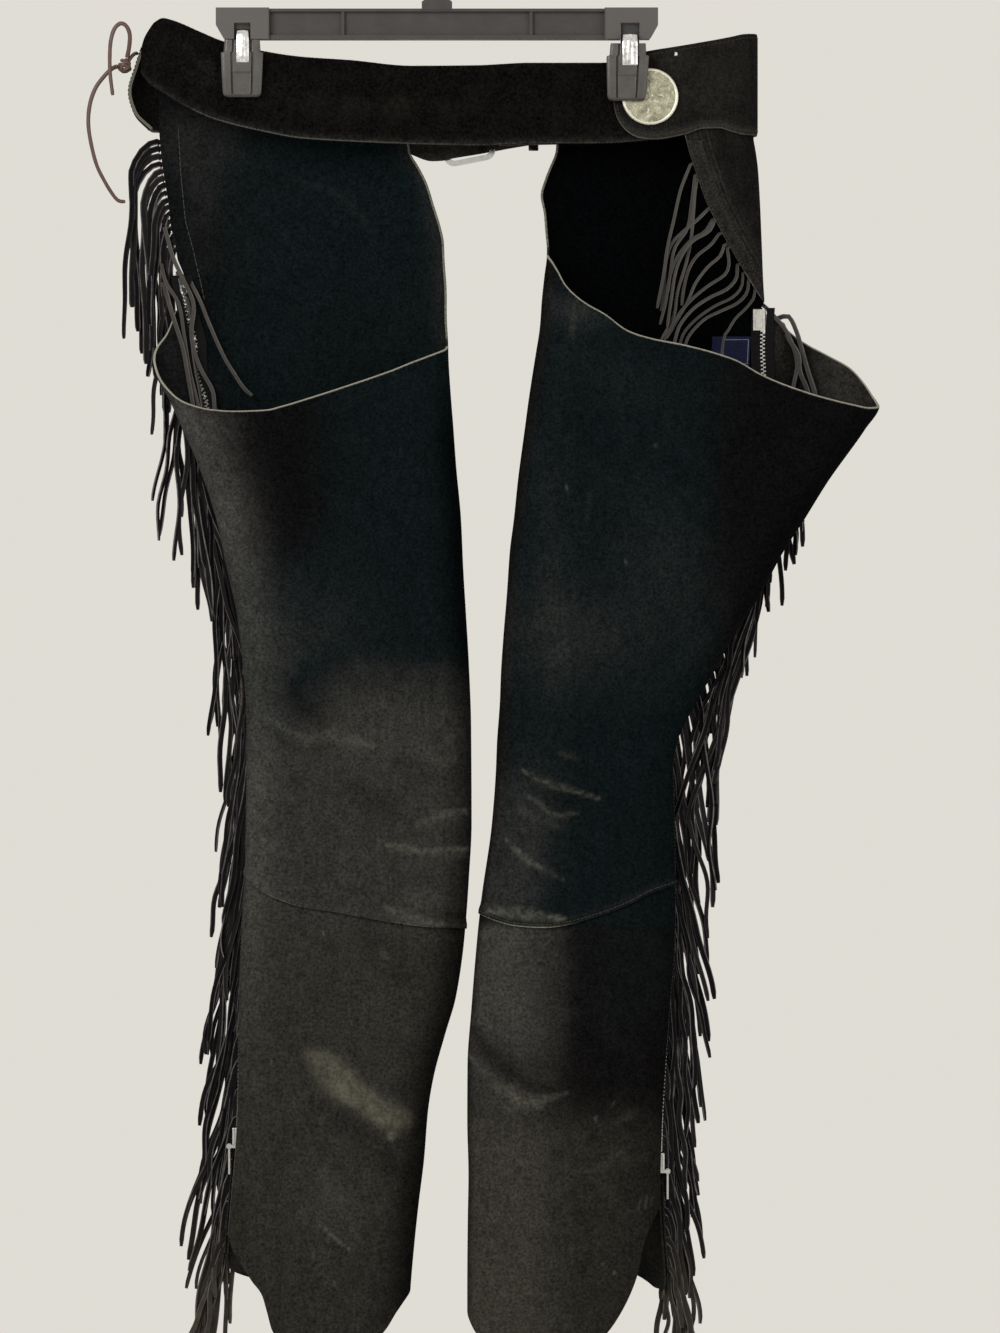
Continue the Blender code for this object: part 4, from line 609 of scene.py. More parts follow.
def suede(name, dark, cool, faded_and_highlight, dusty, edge_colour, grain=1.0, sheen=0.16, fuzz=1.0, coarse=1.0, age="fade"):
    """Napped leather: black and blue-black, fading to grey-brown, dusted, with a
    pale rubbed or cut edge.  Vertex values drive it: fading, which also carries a
    painted highlight where rounded edges catch the light; painted shade; dust, wear
    and the pale edge."""
    k = Look(name, rough=0.95, specular=0.0, sheen=sheen * 0.05, sheen_rough=0.5, sheen_tint=(0.8, 0.86, 0.84))
    big = k.noise(9.0, 3.0, 0.6)
    middle = k.noise(46.0, 5.0, 0.68, distortion=0.4)
    nap = k.noise(430.0, 3.0, 0.75)
    brushed = k.noise(150.0, 3.0, 0.65, vector=k.stretch((1.0, 1.0, 0.6)))
    pores = k.noise(1500.0, 1.0, 0.5)
    tint = k.math("ADD", k.attr("cool"), k.math("MULTIPLY", k.math("SUBTRACT", big, 0.5), 0.9), clamp=True)
    base = k.mix(tint, dark, cool)
    fade = k.math("ADD", k.attr(age), k.math("MULTIPLY", k.math("SUBTRACT", middle, 0.5), 0.30))
    fade = k.math("MULTIPLY", k.math("MAXIMUM", fade, 0.0), k.range(k.attr(age), 0.0, 0.20))
    grey = k.mix(k.attr("warm"), faded_and_highlight, tuple(c * w for c, w in zip(faded_and_highlight, (1.0, 0.965, 0.82))))
    base = k.mix(fade, base, grey)
    lift = k.math("MULTIPLY", k.range(brushed, 0.30, 0.72, 0.82, 1.20), k.range(nap, 0.34, 0.68, 1.0 - 0.50 * coarse, 1.0 + 0.56 * coarse))
    lift = k.math("MULTIPLY", lift, k.range(k.noise(22.0, 4.0, 0.7), 0.3, 0.7, 0.90, 1.10))
    # painted shade: the shade value darkens the colour where folds and edges fall into shade
    lift = k.math("MULTIPLY", lift, k.math("SUBTRACT", 1.0, k.math("MULTIPLY", k.attr("shade"), 0.86)))
    tone = k.t.nodes.new("ShaderNodeVectorMath")
    tone.operation = "SCALE"
    k.link(base, tone.inputs[0])
    k.link(lift, tone.inputs["Scale"])
    base = tone.outputs["Vector"]
    dust = k.math("MULTIPLY", k.attr("dust"), k.math("MULTIPLY", k.range(middle, 0.28, 0.66), k.range(nap, 0.2, 0.75, 0.45, 1.15)))
    base = k.mix(dust, base, dusty)
    wear = k.math("MULTIPLY", k.attr("wear"), k.range(nap, 0.22, 0.7, 0.25, 1.1))
    wear = k.math("MULTIPLY", wear, k.range(k.noise(180.0, 3.0, 0.6), 0.36, 0.64, 0.42, 1.25))
    base = k.mix(wear, base, tuple(c * 0.62 + 0.045 for c in dusty))
    rag = k.math("ADD", k.attr("edge"), k.math("MULTIPLY", k.math("SUBTRACT", k.noise(900.0, 2.0), 0.5), 0.7 * fuzz))
    edge = k.math("MULTIPLY", k.range(rag, 0.30, 0.85), k.range(k.attr("edge"), 0.0, 0.12))
    base = k.mix(edge, base, edge_colour)
    height = k.math("ADD", k.math("MULTIPLY", nap, 0.55), k.math("MULTIPLY", pores, 0.45))
    height = k.math("ADD", height, k.math("MULTIPLY", brushed, 0.9))
    n = k.bump(middle, 0.35, 0.0012 * grain)
    n = k.bump(height, 0.6, 0.0005 * grain, n)
    return k.done(base, k.range(nap, 0.2, 0.8, 0.86, 1.0), n)


def hide(name, dark, light, edge_colour, rough=0.5, specular=0.5, tone_amount=0.5):
    """Smooth thin leather of strands and laces: lighter along its edges, partly the paler cut edge and partly a painted
    highlight on the side that faces the light.
    """
    k = Look(name, rough=rough, specular=specular)
    tone = k.attr("tone")
    scuff = k.noise(150.0, 4.0, 0.65)
    grain = k.cells(1400.0)
    base = k.mix(k.math("MULTIPLY", k.math("ADD", tone, k.math("SUBTRACT", scuff, 0.5)), tone_amount, clamp=True), dark, light)
    edge = k.math("MULTIPLY", k.attr("edge"), k.range(k.noise(120.0, 3.0), 0.30, 0.66, 0.30, 1.0))
    base = k.mix(edge, base, edge_colour)
    base = k.mix(k.math("MULTIPLY", k.attr("dust"), k.range(scuff, 0.25, 0.7, 0.4, 1.0)), base, (0.075, 0.066, 0.050))
    n = k.bump(grain, 0.25, 0.0002)
    n = k.bump(scuff, 0.4, 0.0004, n)
    return k.done(base, k.range(scuff, 0.3, 0.75, rough - 0.1, rough + 0.2), n)


def woven(name, colour, light, pitch=0.0009, rough=0.9):
    k = Look(name, rough=rough, specular=0.08, sheen=0.01)
    s = 2 * math.pi / pitch / 20.0 * 3.2
    weft, warp = k.bands(s, "Z"), k.bands(s, "X")
    weave = k.math("MULTIPLY", weft, warp)
    base = k.mix(k.range(k.math("ADD", weave, k.noise(500.0)), 0.4, 1.3), colour, light)
    return k.done(base, None, k.bump(weave, 0.5, 0.0003))


def metal(name, colour, dirt, rough=0.3, worn=0.35, size=300.0, specular=0.5):
    k = Look(name, rough=rough, metal=1.0)
    stain = k.noise(size, 5.0, 0.65)
    scratch = k.noise(900.0, 3.0, 0.6, vector=k.stretch((1.0, 1.0, 0.15)))
    base = k.mix(k.range(stain, 0.45, 0.75, 0.0, worn), colour, dirt)
    return k.done(base, k.range(k.math("ADD", stain, scratch), 0.6, 1.4, max(0.02, rough - 0.08), rough + 0.22),
                  k.bump(scratch, 0.15, 0.0001))


def plastic(name, colour, rough=0.42, specular=0.5, caps=False):
    """Moulded plastic; with caps, the flat ends of the hanger are paler."""
    k = Look(name, rough=rough, specular=specular)
    cloud = k.noise(60.0, 3.0)
    fine = k.noise(1600.0, 2.0)
    scuff = k.noise(420.0, 4.0, 0.7, vector=k.stretch((0.3, 1.0, 1.0)))
    base = k.mix(k.range(cloud, 0.3, 0.7), tuple(c * 0.86 for c in colour), tuple(c * 1.12 for c in colour))
    base = k.mix(k.range(scuff, 0.66, 0.82, 0.0, 0.35), base, tuple(min(1.0, c * 2.1) for c in colour))
    if caps:
        parts = k.t.nodes.new("ShaderNodeSeparateXYZ")
        k.link(k.where, parts.inputs[0])
        away = k.math("ABSOLUTE", parts.outputs["X"])
        base = k.mix(k.range(away, 0.1345, 0.1365), base, tuple(c * 2.1 for c in colour))
    return k.done(base, k.range(scuff, 0.35, 0.75, rough - 0.08, rough + 0.2), k.bump(fine, 0.25, 0.00015))


RAW = (0.235, 0.225, 0.185)
# the third colour is the grey-brown of worn, sun-bleached suede, also the colour of painted highlights along rounded
# edges
BLACK, COOL, FADED_AND_HIGHLIGHT, DUSTY = (0.0034, 0.0031, 0.0034), (0.0036, 0.0058, 0.0064), (0.0450, 0.0440, 0.0410), (0.130, 0.123, 0.092)
SUEDE = suede("black_suede", BLACK, COOL, FADED_AND_HIGHLIGHT, DUSTY, RAW)
FLESH = suede("suede_inside", (0.0034, 0.0040, 0.0043), (0.0036, 0.0061, 0.0068), (0.030, 0.029, 0.027), DUSTY, RAW, grain=0.8, sheen=0.10, age="inner")
CUT = suede("suede_cut_edge", (0.010, 0.0098, 0.0090), (0.010, 0.0098, 0.0090), (0.020, 0.019, 0.017), DUSTY, RAW, grain=0.5, sheen=0.1)
DARK_CUT = suede("suede_dark_edge", (0.03, 0.029, 0.026), (0.045, 0.044, 0.038), (0.06, 0.055, 0.045), DUSTY, RAW, grain=0.5, sheen=0.1)
BELT_LOOK = suede("belt_suede", (0.0025, 0.0022, 0.0024), (0.0031, 0.0028, 0.0030), (0.0105, 0.0092, 0.0088), DUSTY, (0.070, 0.068, 0.062), grain=1.5, sheen=0.12, fuzz=2.3, coarse=1.6)
HIP_LOOK = suede("hip_suede", (0.0036, 0.0033, 0.0033), (0.0043, 0.0040, 0.0040), (0.0130, 0.0122, 0.0116), DUSTY, (0.078, 0.074, 0.066), grain=1.0, sheen=0.12)
# the strands' pale edge colour stands partly for the cut edge and partly for a painted highlight
THONG = hide("fringe_leather", (0.0024, 0.0021, 0.0024), (0.0130, 0.0112, 0.0117), (0.125, 0.116, 0.116), rough=0.6, specular=0.04, tone_amount=0.8)
HIP_THONG = hide("hip_strand_leather", (0.024, 0.0220, 0.0205), (0.056, 0.0520, 0.0480), (0.120, 0.112, 0.104), rough=0.6, specular=0.10, tone_amount=0.8)
LACE_LOOK = hide("lace_leather", (0.042, 0.021, 0.015), (0.100, 0.054, 0.041), (0.16, 0.10, 0.08), rough=0.45, specular=0.4, tone_amount=0.9)
STRAP_LOOK = suede("strap_leather", (0.0085, 0.0075, 0.0070), (0.011, 0.0095, 0.0090), (0.03, 0.026, 0.022), DUSTY, (0.10, 0.085, 0.068), grain=0.7, sheen=0.08)
THREAD = woven("thread", (0.035, 0.034, 0.032), (0.085, 0.082, 0.075), pitch=0.0006)
PALE_THREAD = woven("pale_thread", (0.13, 0.12, 0.10), (0.26, 0.24, 0.20), pitch=0.0006)
TAPE_LOOK = woven("zip_tape", (0.0036, 0.0036, 0.0042), (0.0095, 0.0095, 0.011), pitch=0.0011)
NICKEL = metal("nickel", (0.55, 0.54, 0.51), (0.20, 0.19, 0.165), rough=0.32, worn=0.6, size=500.0)
CHROME = metal("chrome", (0.62, 0.62, 0.62), (0.45, 0.45, 0.45), rough=0.08, worn=0.3, size=200.0)
PLASTIC = plastic("hanger_plastic", (0.0315, 0.0285, 0.0268), rough=0.45, specular=0.35, caps=True)
# near-black plastic that stands for the shade in the clips' spring slots
SLOT_SHADE_PLASTIC = plastic("clip_slot_shade", (0.014, 0.013, 0.012), rough=0.55)


# ---- meshes -------------------------------------------------------------------------
def put(obj, *nodes, slot=None, body=BODY):
    """Ride on a body and stand for CAD nodes; the slot is not used."""
    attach(obj, body)
    if nodes:
        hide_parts(*nodes)
    return obj


def object_of(name, mesh, *looks):
    obj = bpy.data.objects.new(name, mesh)
    scene.collection.objects.link(obj)
    for look in looks:
        mesh.materials.append(look)
    return obj


def shells(name, blocks, thickness, looks, weld=0.02, sharp=None):
    """One thin shell from blocks of points.  A block is (points rows x columns x 3
    in mm, {value name: rows x columns}, flipped).  looks: outside, inside, rim."""
    bm = bmesh.new()
    names = sorted({n for _, values, _ in blocks for n in values})
    layers = {n: bm.verts.layers.float.new(n) for n in names}
    for points, values, flipped in blocks:
        rows, cols = points.shape[:2]
        verts = [bm.verts.new(p) for p in (points.reshape(-1, 3) * MM)]
        for n in names:
            if n in values:
                layer, flat = layers[n], np.asarray(values[n], float).reshape(-1)
                for v, q in zip(verts, flat):
                    v[layer] = q
        for r in range(rows - 1):
            for c in range(cols - 1):
                a, b = verts[r * cols + c], verts[(r + 1) * cols + c]
                d, e = verts[(r + 1) * cols + c + 1], verts[r * cols + c + 1]
                bm.faces.new((e, d, b, a) if flipped else (a, b, d, e))
    bmesh.ops.remove_doubles(bm, verts=bm.verts, dist=weld * MM)
    bmesh.ops.dissolve_degenerate(bm, edges=bm.edges, dist=1e-7)
    mesh = bpy.data.meshes.new(name)
    bm.to_mesh(mesh)
    bm.free()
    mesh.shade_smooth()
    obj = object_of(name, mesh, *looks)
    mod = obj.modifiers.new("thickness", "SOLIDIFY")
    mod.thickness = thickness * MM
    mod.offset = 0.0
    mod.use_even_offset = False
    mod.material_offset = 1 if len(looks) > 1 else 0
    mod.material_offset_rim = 2 if len(looks) > 2 else 0
    return obj


def normals_of(p, outward):
    """Vertex normals of a grid of points, turned to agree with `outward`."""
    du = np.gradient(p, axis=1)
    dv = np.gradient(p, axis=0)
    n = np.cross(du, dv)
    n /= np.linalg.norm(n, axis=-1, keepdims=True) + 1e-9
    flip = (n * outward).sum(-1, keepdims=True) < 0
    return np.where(flip, -n, n)


class Heap:
    """Many small things joined into one mesh."""

    def __init__(self):
        self.v, self.f, self.smooth, self.n = [], [], [], 0
        self.values = {}

    def add(self, verts, faces, smooth=True, **values):
        verts = np.asarray(verts, float)
        self.v.append(verts)
        self.f.extend([tuple(i + self.n for i in f) for f in faces])
        self.smooth.extend([smooth] * len(faces))
        for k in set(self.values) | set(values):
            got = values.get(k, 0.0)
            got = np.broadcast_to(np.asarray(got, float), (len(verts),))
            self.values.setdefault(k, [np.zeros(self.n)] if self.n else []).append(got)
        self.n += len(verts)

    def tube(self, path, radius, sides=6, flat=1.0, wide=None, start=0.0, twist=0.0, taper=None,
             caps=True, normal=None, smooth=True, lit=1.0, **values):
        """A tube or flat strip along points in mm."""
        p = np.asarray(path, float)
        t = np.gradient(p, axis=0)
        t /= np.linalg.norm(t, axis=1, keepdims=True) + 1e-12
        ref = np.array(normal if normal is not None else (0.0, -1.0, 0.05), float)
        n = np.empty_like(p)
        for k in range(len(p)):
            ref = ref - t[k] * (ref @ t[k])
            ref /= np.linalg.norm(ref) + 1e-12
            n[k] = ref
        b = np.cross(t, n)
        ang = start + twist * np.linspace(0, 1, len(p))
        nn = n * np.cos(ang)[:, None] + b * np.sin(ang)[:, None]
        bb = np.cross(t, nn)
        size = np.ones(len(p)) if taper is None else taper(np.linspace(0, 1, len(p)))
        if wide is None:
            ring = [(math.cos(2 * math.pi * i / sides) * radius, math.sin(2 * math.pi * i / sides) * radius * flat)
                    for i in range(sides)]
            rim = [0.0] * sides
        else:
            w, h = wide / 2, radius
            e, q = min(0.3, 0.12 * w), min(1.3, 0.45 * w)
            ring = [(-w, 0), (-w + e, h), (-w + q, h), (w - q, h), (w - e, h),
                    (w, 0), (w - e, -h), (w - q, -h), (-w + q, -h), (-w + e, -h)]
            # edge values: the paler cut edges, with one side lighter than the other by lit, a painted highlight on the
            # side that faces the light
            rim = [lit, lit, 0.0, 0.0, 1.3 - lit, 1.3 - lit, 1.3 - lit, 0.0, 0.0, lit]
            sides = 10
        verts = np.concatenate([(p[k] + bb[k] * u * size[k] + nn[k] * v * (1 if wide else size[k]))[None]
                                for k in range(len(p)) for u, v in ring])
        faces = []
        for k in range(len(p) - 1):
            for i in range(sides):
                a, c = k * sides + i, k * sides + (i + 1) % sides
                faces.append((a, c, c + sides, a + sides))
        if caps:
            faces.append(tuple(range(sides))[::-1])
            faces.append(tuple((len(p) - 1) * sides + i for i in range(sides)))
        rim_values = np.tile(rim, len(p)) if wide is not None else values.pop("edge", 0.0)
        values.pop("edge", None)
        self.add(verts, faces, smooth, edge=rim_values, **values)

    def block(self, place, size, axes, chamfer=0.0, **values):
        """A small box, or one with its long edges cut, at a place with its own axes."""
        a, b, c = (np.asarray(q, float) for q in axes)
        hx, hy, hz = (s / 2 for s in size)
        k = chamfer
        if k:
            plan = [(-hx, -hy + k), (-hx + k, -hy), (hx - k, -hy), (hx, -hy + k),
                    (hx, hy - k), (hx - k, hy), (-hx + k, hy), (-hx, hy - k)]
        else:
            plan = [(-hx, -hy), (hx, -hy), (hx, hy), (-hx, hy)]
        n = len(plan)
        verts = [np.asarray(place) + a * u + b * v + c * w for w in (-hz, hz) for u, v in plan]
        faces = [(i, (i + 1) % n, (i + 1) % n + n, i + n) for i in range(n)]
        faces += [tuple(range(n))[::-1], tuple(range(n, 2 * n))]
        self.add(verts, faces, False, **values)

    def make(self, name, *looks, sharp=35):
        mesh = bpy.data.meshes.new(name)
        v = np.concatenate(self.v) * MM
        mesh.from_pydata(v.tolist(), [], self.f)
        for key, parts in self.values.items():
            layer = mesh.attributes.new(key, "FLOAT", "POINT")
            layer.data.foreach_set("value", np.concatenate(parts).astype(np.float32))
        mesh.polygons.foreach_set("use_smooth", self.smooth)
        mesh.update()
        bm = bmesh.new()
        bm.from_mesh(mesh)
        bmesh.ops.recalc_face_normals(bm, faces=bm.faces)
        bm.to_mesh(mesh)
        bm.free()
        if sharp:
            mesh.set_sharp_from_angle(angle=math.radians(sharp))
        return object_of(name, mesh, *looks)


def stitches(heap, path, normals, pitch, length, radius, lift=0.15, seed=1, sink=0.5):
    """A row of thread dashes along a path in mm, dipping into the leather at their ends."""
    rng = random.Random(seed)
    p, n = np.asarray(path, float), np.asarray(normals, float)
    run = np.concatenate([[0], np.cumsum(np.linalg.norm(np.diff(p, axis=0), axis=1))])
    count = int(run[-1] / pitch)
    for i in range(count):
        c = (i + 0.5) * pitch + rng.uniform(-0.08, 0.08) * pitch
        at = c + length * np.array([-0.5, -0.22, 0.22, 0.5])
        q = np.stack([np.interp(at, run, p[:, k]) for k in range(3)], 1)
        m = np.stack([np.interp(at, run, n[:, k]) for k in range(3)], 1)
        rise = np.array([-sink, lift, lift, -sink])
        q = q + m * (rise * rng.uniform(0.85, 1.15))[:, None]
        heap.tube(q, radius, sides=5, normal=m[1], caps=False, tone=rng.uniform(0.2, 0.9))


def plies(name, p, values, thickness, looks, count=1, bulge=0.3, towards=None, pale=0.8, closed=False):
    """A closed strip of leather from a grid of points in mm: rounded cut rims, with a
    groove between the plies.  looks: outside, inside, rim."""
    rows, cols = p.shape[:2]
    du, dv = np.gradient(p, axis=1), np.gradient(p, axis=0)
    n = np.cross(du, dv)
    n /= np.linalg.norm(n, axis=-1, keepdims=True) + 1e-9
    if towards is not None and (n * np.asarray(towards, float)).sum() < 0:
        n = -n
    h = thickness / 2
    ring = ([(0, c) for c in range(cols)] + [(r, cols - 1) for r in range(1, rows)]
            + [(rows - 1, c) for c in range(cols - 2, -1, -1)] + [(r, 0) for r in range(rows - 2, 0, -1)])
    out = []
    for r, c in ring:
        q = np.zeros(3)
        if c == 0:
            q += p[r, 0] - p[r, 1]
        if c == cols - 1:
            q += p[r, -1] - p[r, -2]
        if r == 0:
            d = p[0, c] - p[1, c]
            q += d / (np.linalg.norm(d) + 1e-9) * (np.linalg.norm(q) or 1.0)
        if r == rows - 1:
            d = p[-1, c] - p[-2, c]
            q += d / (np.linalg.norm(d) + 1e-9) * (np.linalg.norm(q) or 1.0)
        out.append(q / (np.linalg.norm(q) + 1e-9))
    out = np.array(out)
    per = 4
    prof = []
    for k in range(count):
        for i in range(per + 1):
            s = -1 + 2 * (k + i / per) / count
            b = bulge * (1 - (2 * i / per - 1) ** 2)
            prof.append((s, b - (0.12 if i in (0, per) and 0 < k + i / per < count else 0.0), 0.15 if i in (0, per) else pale))
    clean = []
    for item in prof:
        if clean and abs(clean[-1][0] - item[0]) < 1e-6:
            continue
        clean.append(item)
    prof = clean[1:-1]
    thick = values.get("thick", np.ones((rows, cols)))[..., None]
    top, low = p + n * h * thick, p - n * h * thick
    verts = [top.reshape(-1, 3), low.reshape(-1, 3)]
    count_v = rows * cols
    rim_edge, base = [], 2 * count_v
    idx = [r * cols + c for r, c in ring]
    pr = np.array([p[r, c] for r, c in ring])
    nr = np.array([n[r, c] for r, c in ring])
    tr = np.array([thick[r, c] for r, c in ring])
    for s, b, e in prof:
        verts.append(pr + nr * (-s) * h * tr + out * b)
        rim_edge.append(np.full(len(ring), e))
    faces, mats = [], []
    for r in range(rows - 1):
        for c in range(cols - 1):
            a, b, d, e = r * cols + c, (r + 1) * cols + c, (r + 1) * cols + c + 1, r * cols + c + 1
            faces.append((a, e, d, b))
            mats.append(0)
            faces.append((a + count_v, b + count_v, d + count_v, e + count_v))
            mats.append(min(1, len(looks) - 1))
    m = len(ring)
    levels = [idx] + [[base + j * m + i for i in range(m)] for j in range(len(prof))] + [[i + count_v for i in idx]]
    for a, b in zip(levels, levels[1:]):
        for i in range(m):
            j = (i + 1) % m
            faces.append((a[i], a[j], b[j], b[i]))
            mats.append(len(looks) - 1)
    mesh = bpy.data.meshes.new(name)
    mesh.from_pydata((np.concatenate(verts) * MM).tolist(), [], faces)
    mesh.polygons.foreach_set("material_index", mats)
    for key in sorted(set(values) | {"edge"}):
        if key == "thick":
            continue
        v = np.asarray(values.get(key, np.zeros((rows, cols))), float).reshape(-1)
        ring_v = np.array([v[i] for i in idx])
        rim = np.concatenate(rim_edge) * np.tile(np.clip(ring_v * 1.2 + 0.15, 0, 1), len(prof)) if key == "edge" else np.tile(ring_v, len(prof))
        layer = mesh.attributes.new(key, "FLOAT", "POINT")
        layer.data.foreach_set("value", np.concatenate([v, v, rim]).astype(np.float32))
    mesh.shade_smooth()
    bm = bmesh.new()
    bm.from_mesh(mesh)
    bmesh.ops.recalc_face_normals(bm, faces=bm.faces)
    bm.to_mesh(mesh)
    bm.free()
    mesh.set_sharp_from_angle(angle=math.radians(62))
    return object_of(name, mesh, *looks), n


def fibres(heap, path, out, normals, per_mm, length, radius=0.045, seed=5):
    """Loose nap along a cut edge: short closed hairs."""
    rng = random.Random(seed)
    p, o, m = (np.asarray(q, float) for q in (path, out, normals))
    run = np.concatenate([[0], np.cumsum(np.linalg.norm(np.diff(p, axis=0), axis=1))])
    along = np.gradient(p, axis=0)
    along /= np.linalg.norm(along, axis=1, keepdims=True) + 1e-9
    for _ in range(int(run[-1] * per_mm)):
        s = rng.uniform(0, run[-1])
        q, oo, mm, aa = (np.array([np.interp(s, run, v[:, k]) for k in range(3)]) for v in (p, o, m, along))
        l = length * rng.uniform(0.35, 1.0)
        side, lean = rng.uniform(-1, 1), rng.uniform(-0.8, 0.8)
        q = q + mm * rng.uniform(-0.9, 0.9) - oo * 0.25
        mid = q + oo * l * 0.5 + mm * lean * l * 0.2 + aa * side * l * 0.15
        end = q + oo * l * 0.85 + mm * lean * l * 0.55 + aa * side * l * 0.6
        heap.tube([q, mid, end], radius, sides=3, taper=lambda t: 1.0 - 0.75 * t, normal=mm,
                  tone=rng.uniform(0.0, 1.0))


# ---- marks on the legs, millimetres -------------------------------------------------
# ridge: points (x, height), width, how far it stands out, hollow beside it
LEFT_NEAR = (
    (((-9, -715.7), (2, -712.5), (22, -709.3)), 4.0, 1.6, 0.5),
    (((-46, -732), (-27, -739.9), (-10, -740.7), (24, -742.3)), 5.0, 1.9, 0.5),
    (((-141, -630), (-121, -643), (-109, -651), (-83, -646), (-50, -656)), 10.0, 2.0, 0.35),
    (((-24, -775), (-1, -801)), 8.0, 1.1, 0.3),
    (((-60, -752), (-30, -757), (8, -752)), 9.0, 1.2, 0.4),
    (((-148, -700), (-128, -716), (-96, -724)), 10.0, 1.3, 0.4),
    (((-148, -585), (-120, -596), (-90, -590)), 13.0, 1.3, 0.3),
    (((-206, -402), (-176, -452), (-152, -515), (-138, -585)), 17.0, 2.2, 0.35),
    (((-150, -398), (-128, -460), (-100, -540)), 24.0, 2.0, 0.2),
    (((8, -372), (-16, -450), (-30, -540)), 22.0, 1.8, 0.25),
    (((-60, -400), (-62, -470), (-80, -560)), 26.0, -1.6, 0.0),
    (((18, -430), (2, -500), (6, -590), (16, -660)), 9.0, 1.2, 0.3),
)
LEFT_LOW_NEAR = (
    (((-30, -815), (-8, -842), (-14, -880)), 9.0, 1.8, 0.4),
    (((-96, -905), (-70, -928), (-44, -948), (-30, -968)), 11.0, 2.2, 0.5),
    (((-150, -860), (-118, -876), (-84, -872)), 12.0, 1.2, 0.3),
    (((-20, -880), (-34, -930), (-40, -985)), 12.0, 1.8, 0.3),
    (((-110, -1010), (-86, -1046), (-70, -1096)), 16.0, 1.6, 0.3),
    (((-96, -1044), (-80, -1060), (-72, -1064)), 5.0, 1.2, 0.5),
    (((-150, -960), (-140, -1020), (-146, -1080)), 13.0, 1.5, 0.3),
    (((-60, -990), (-50, -1040), (-40, -1100)), 14.0, -1.4, 0.0),
)
RIGHT_NEAR = (
    (((74, -678), (96, -686), (118, -692), (137, -701)), 4.2, 1.9, 0.5),
    (((71, -697), (82, -706), (93, -714), (114, -709)), 4.6, 2.0, 0.5),
    (((54, -732), (66, -745), (78, -753), (103, -763)), 6.5, 1.8, 0.4),
    (((36, -783), (60, -788), (90, -794)), 6.0, 1.0, 0.3),
    (((48, -655), (70, -664), (96, -666)), 8.0, 1.3, 0.4),
    (((120, -730), (146, -724), (172, -730)), 9.0, 1.4, 0.4),
    (((116, -622), (140, -634), (176, -634)), 12.0, 1.3, 0.3),
    (((334, -396), (286, -470), (232, -560), (190, -640)), 17.0, 3.2, 0.4),
    (((300, -386), (246, -462), (196, -556), (160, -650)), 26.0, -2.8, 0.0),
    (((246, -376), (204, -450), (172, -540), (140, -640)), 24.0, 2.6, 0.2),
    (((176, -340), (146, -430), (122, -540)), 24.0, 2.0, 0.25),
    (((112, -296), (106, -320), (104, -352)), 5.0, 1.5, 0.6),
    (((96, -300), (84, -380), (72, -480), (66, -570)), 17.0, 1.8, 0.3),
)
RIGHT_LOW_NEAR = (
    (((30, -898), (44, -918), (60, -931), (92, -939)), 8.0, 3.2, 0.8),
    (((34, -842), (56, -838), (84, -850)), 9.0, 1.2, 0.4),
    (((150, -850), (128, -872), (96, -880)), 11.0, 1.2, 0.3),
    (((110, -960), (132, -990), (150, -1036)), 14.0, 1.6, 0.3),
    (((52, -990), (66, -1040), (78, -1110)), 14.0, 1.5, 0.3),
    (((168, -900), (160, -960), (166, -1030)), 12.0, 1.4, 0.2),
    (((40, -1010), (64, -1024), (98, -1020)), 8.0, 1.2, 0.5),
)
# the front of the legs: the bends of the knee and soft drapes
LEFT_FAR = (
    (((-150, -660), (-100, -672), (-40, -664), (16, -676)), 9.0, 2.2, 0.5),
    (((-148, -694), (-96, -704), (-46, -700), (18, -712)), 8.0, 2.0, 0.5),
    (((-140, -730), (-92, -738), (-30, -730)), 8.0, 1.8, 0.5),
    (((-60, -690), (-20, -684), (16, -692)), 5.0, 1.4, 0.5),
    (((-170, -330), (-130, -420), (-100, -540)), 24.0, 2.4, 0.3),
    (((-60, -220), (-50, -330), (-66, -470)), 26.0, 2.0, 0.2),
    (((-190, -250), (-176, -340), (-150, -440)), 20.0, -1.8, 0.0),
    (((0, -380), (-14, -470), (-8, -570)), 16.0, 1.6, 0.3),
    (((-118, -196), (-84, -206), (-62, -226), (-50, -246)), 3.2, 0.9, 0.4),
)
RIGHT_FAR = (
    (((44, -668), (90, -676), (140, -670), (180, -682)), 9.0, 2.2, 0.5),
    (((46, -700), (96, -712), (150, -706), (184, -716)), 8.0, 2.0, 0.5),
    (((50, -738), (100, -746), (150, -738)), 8.0, 1.7, 0.5),
    (((220, -330), (190, -430), (150, -560)), 24.0, 2.6, 0.3),
    (((130, -240), (120, -340), (110, -480)), 24.0, 2.0, 0.2),
    (((320, -400), (270, -480), (214, -570)), 18.0, 2.4, 0.3),
    (((170, -200), (186, -280), (176, -380)), 22.0, -1.8, 0.0),
)
LOW_FAR = (
    ((("i", 20, -830), ("i", 70, -842), ("i", 120, -836)), 9.0, 1.5, 0.4),
    ((("i", 30, -900), ("i", 60, -950), ("i", 54, -1010)), 16.0, 1.8, 0.3),
    ((("i", 96, -880), ("i", 88, -950), ("i", 100, -1040)), 16.0, -1.4, 0.0),
    ((("i", 10, -1000), ("i", 50, -1018), ("i", 90, -1012)), 8.0, 1.3, 0.5),
    ((("i", 100, -1050), ("i", 70, -1080)), 10.0, 1.2, 0.4),
)


def low_far(leg):
    side = leg.side
    out = []
    for pts, w, h, k in LOW_FAR:
        out.append((tuple((float(leg.s("inner", z)) + side * x, z) for _i, x, z in pts), w, h, k))
    return out


def raised(x, z, marks, seed, size=170.0, amount=1.2):
    out = waves(x, z, seed, size, amount) + waves(x, z, seed + 40, size * 0.35, amount * 0.28)
    for points, width, height, skew in marks:
        out = out + height * stroke(x, z, points, width, skew)
    return out


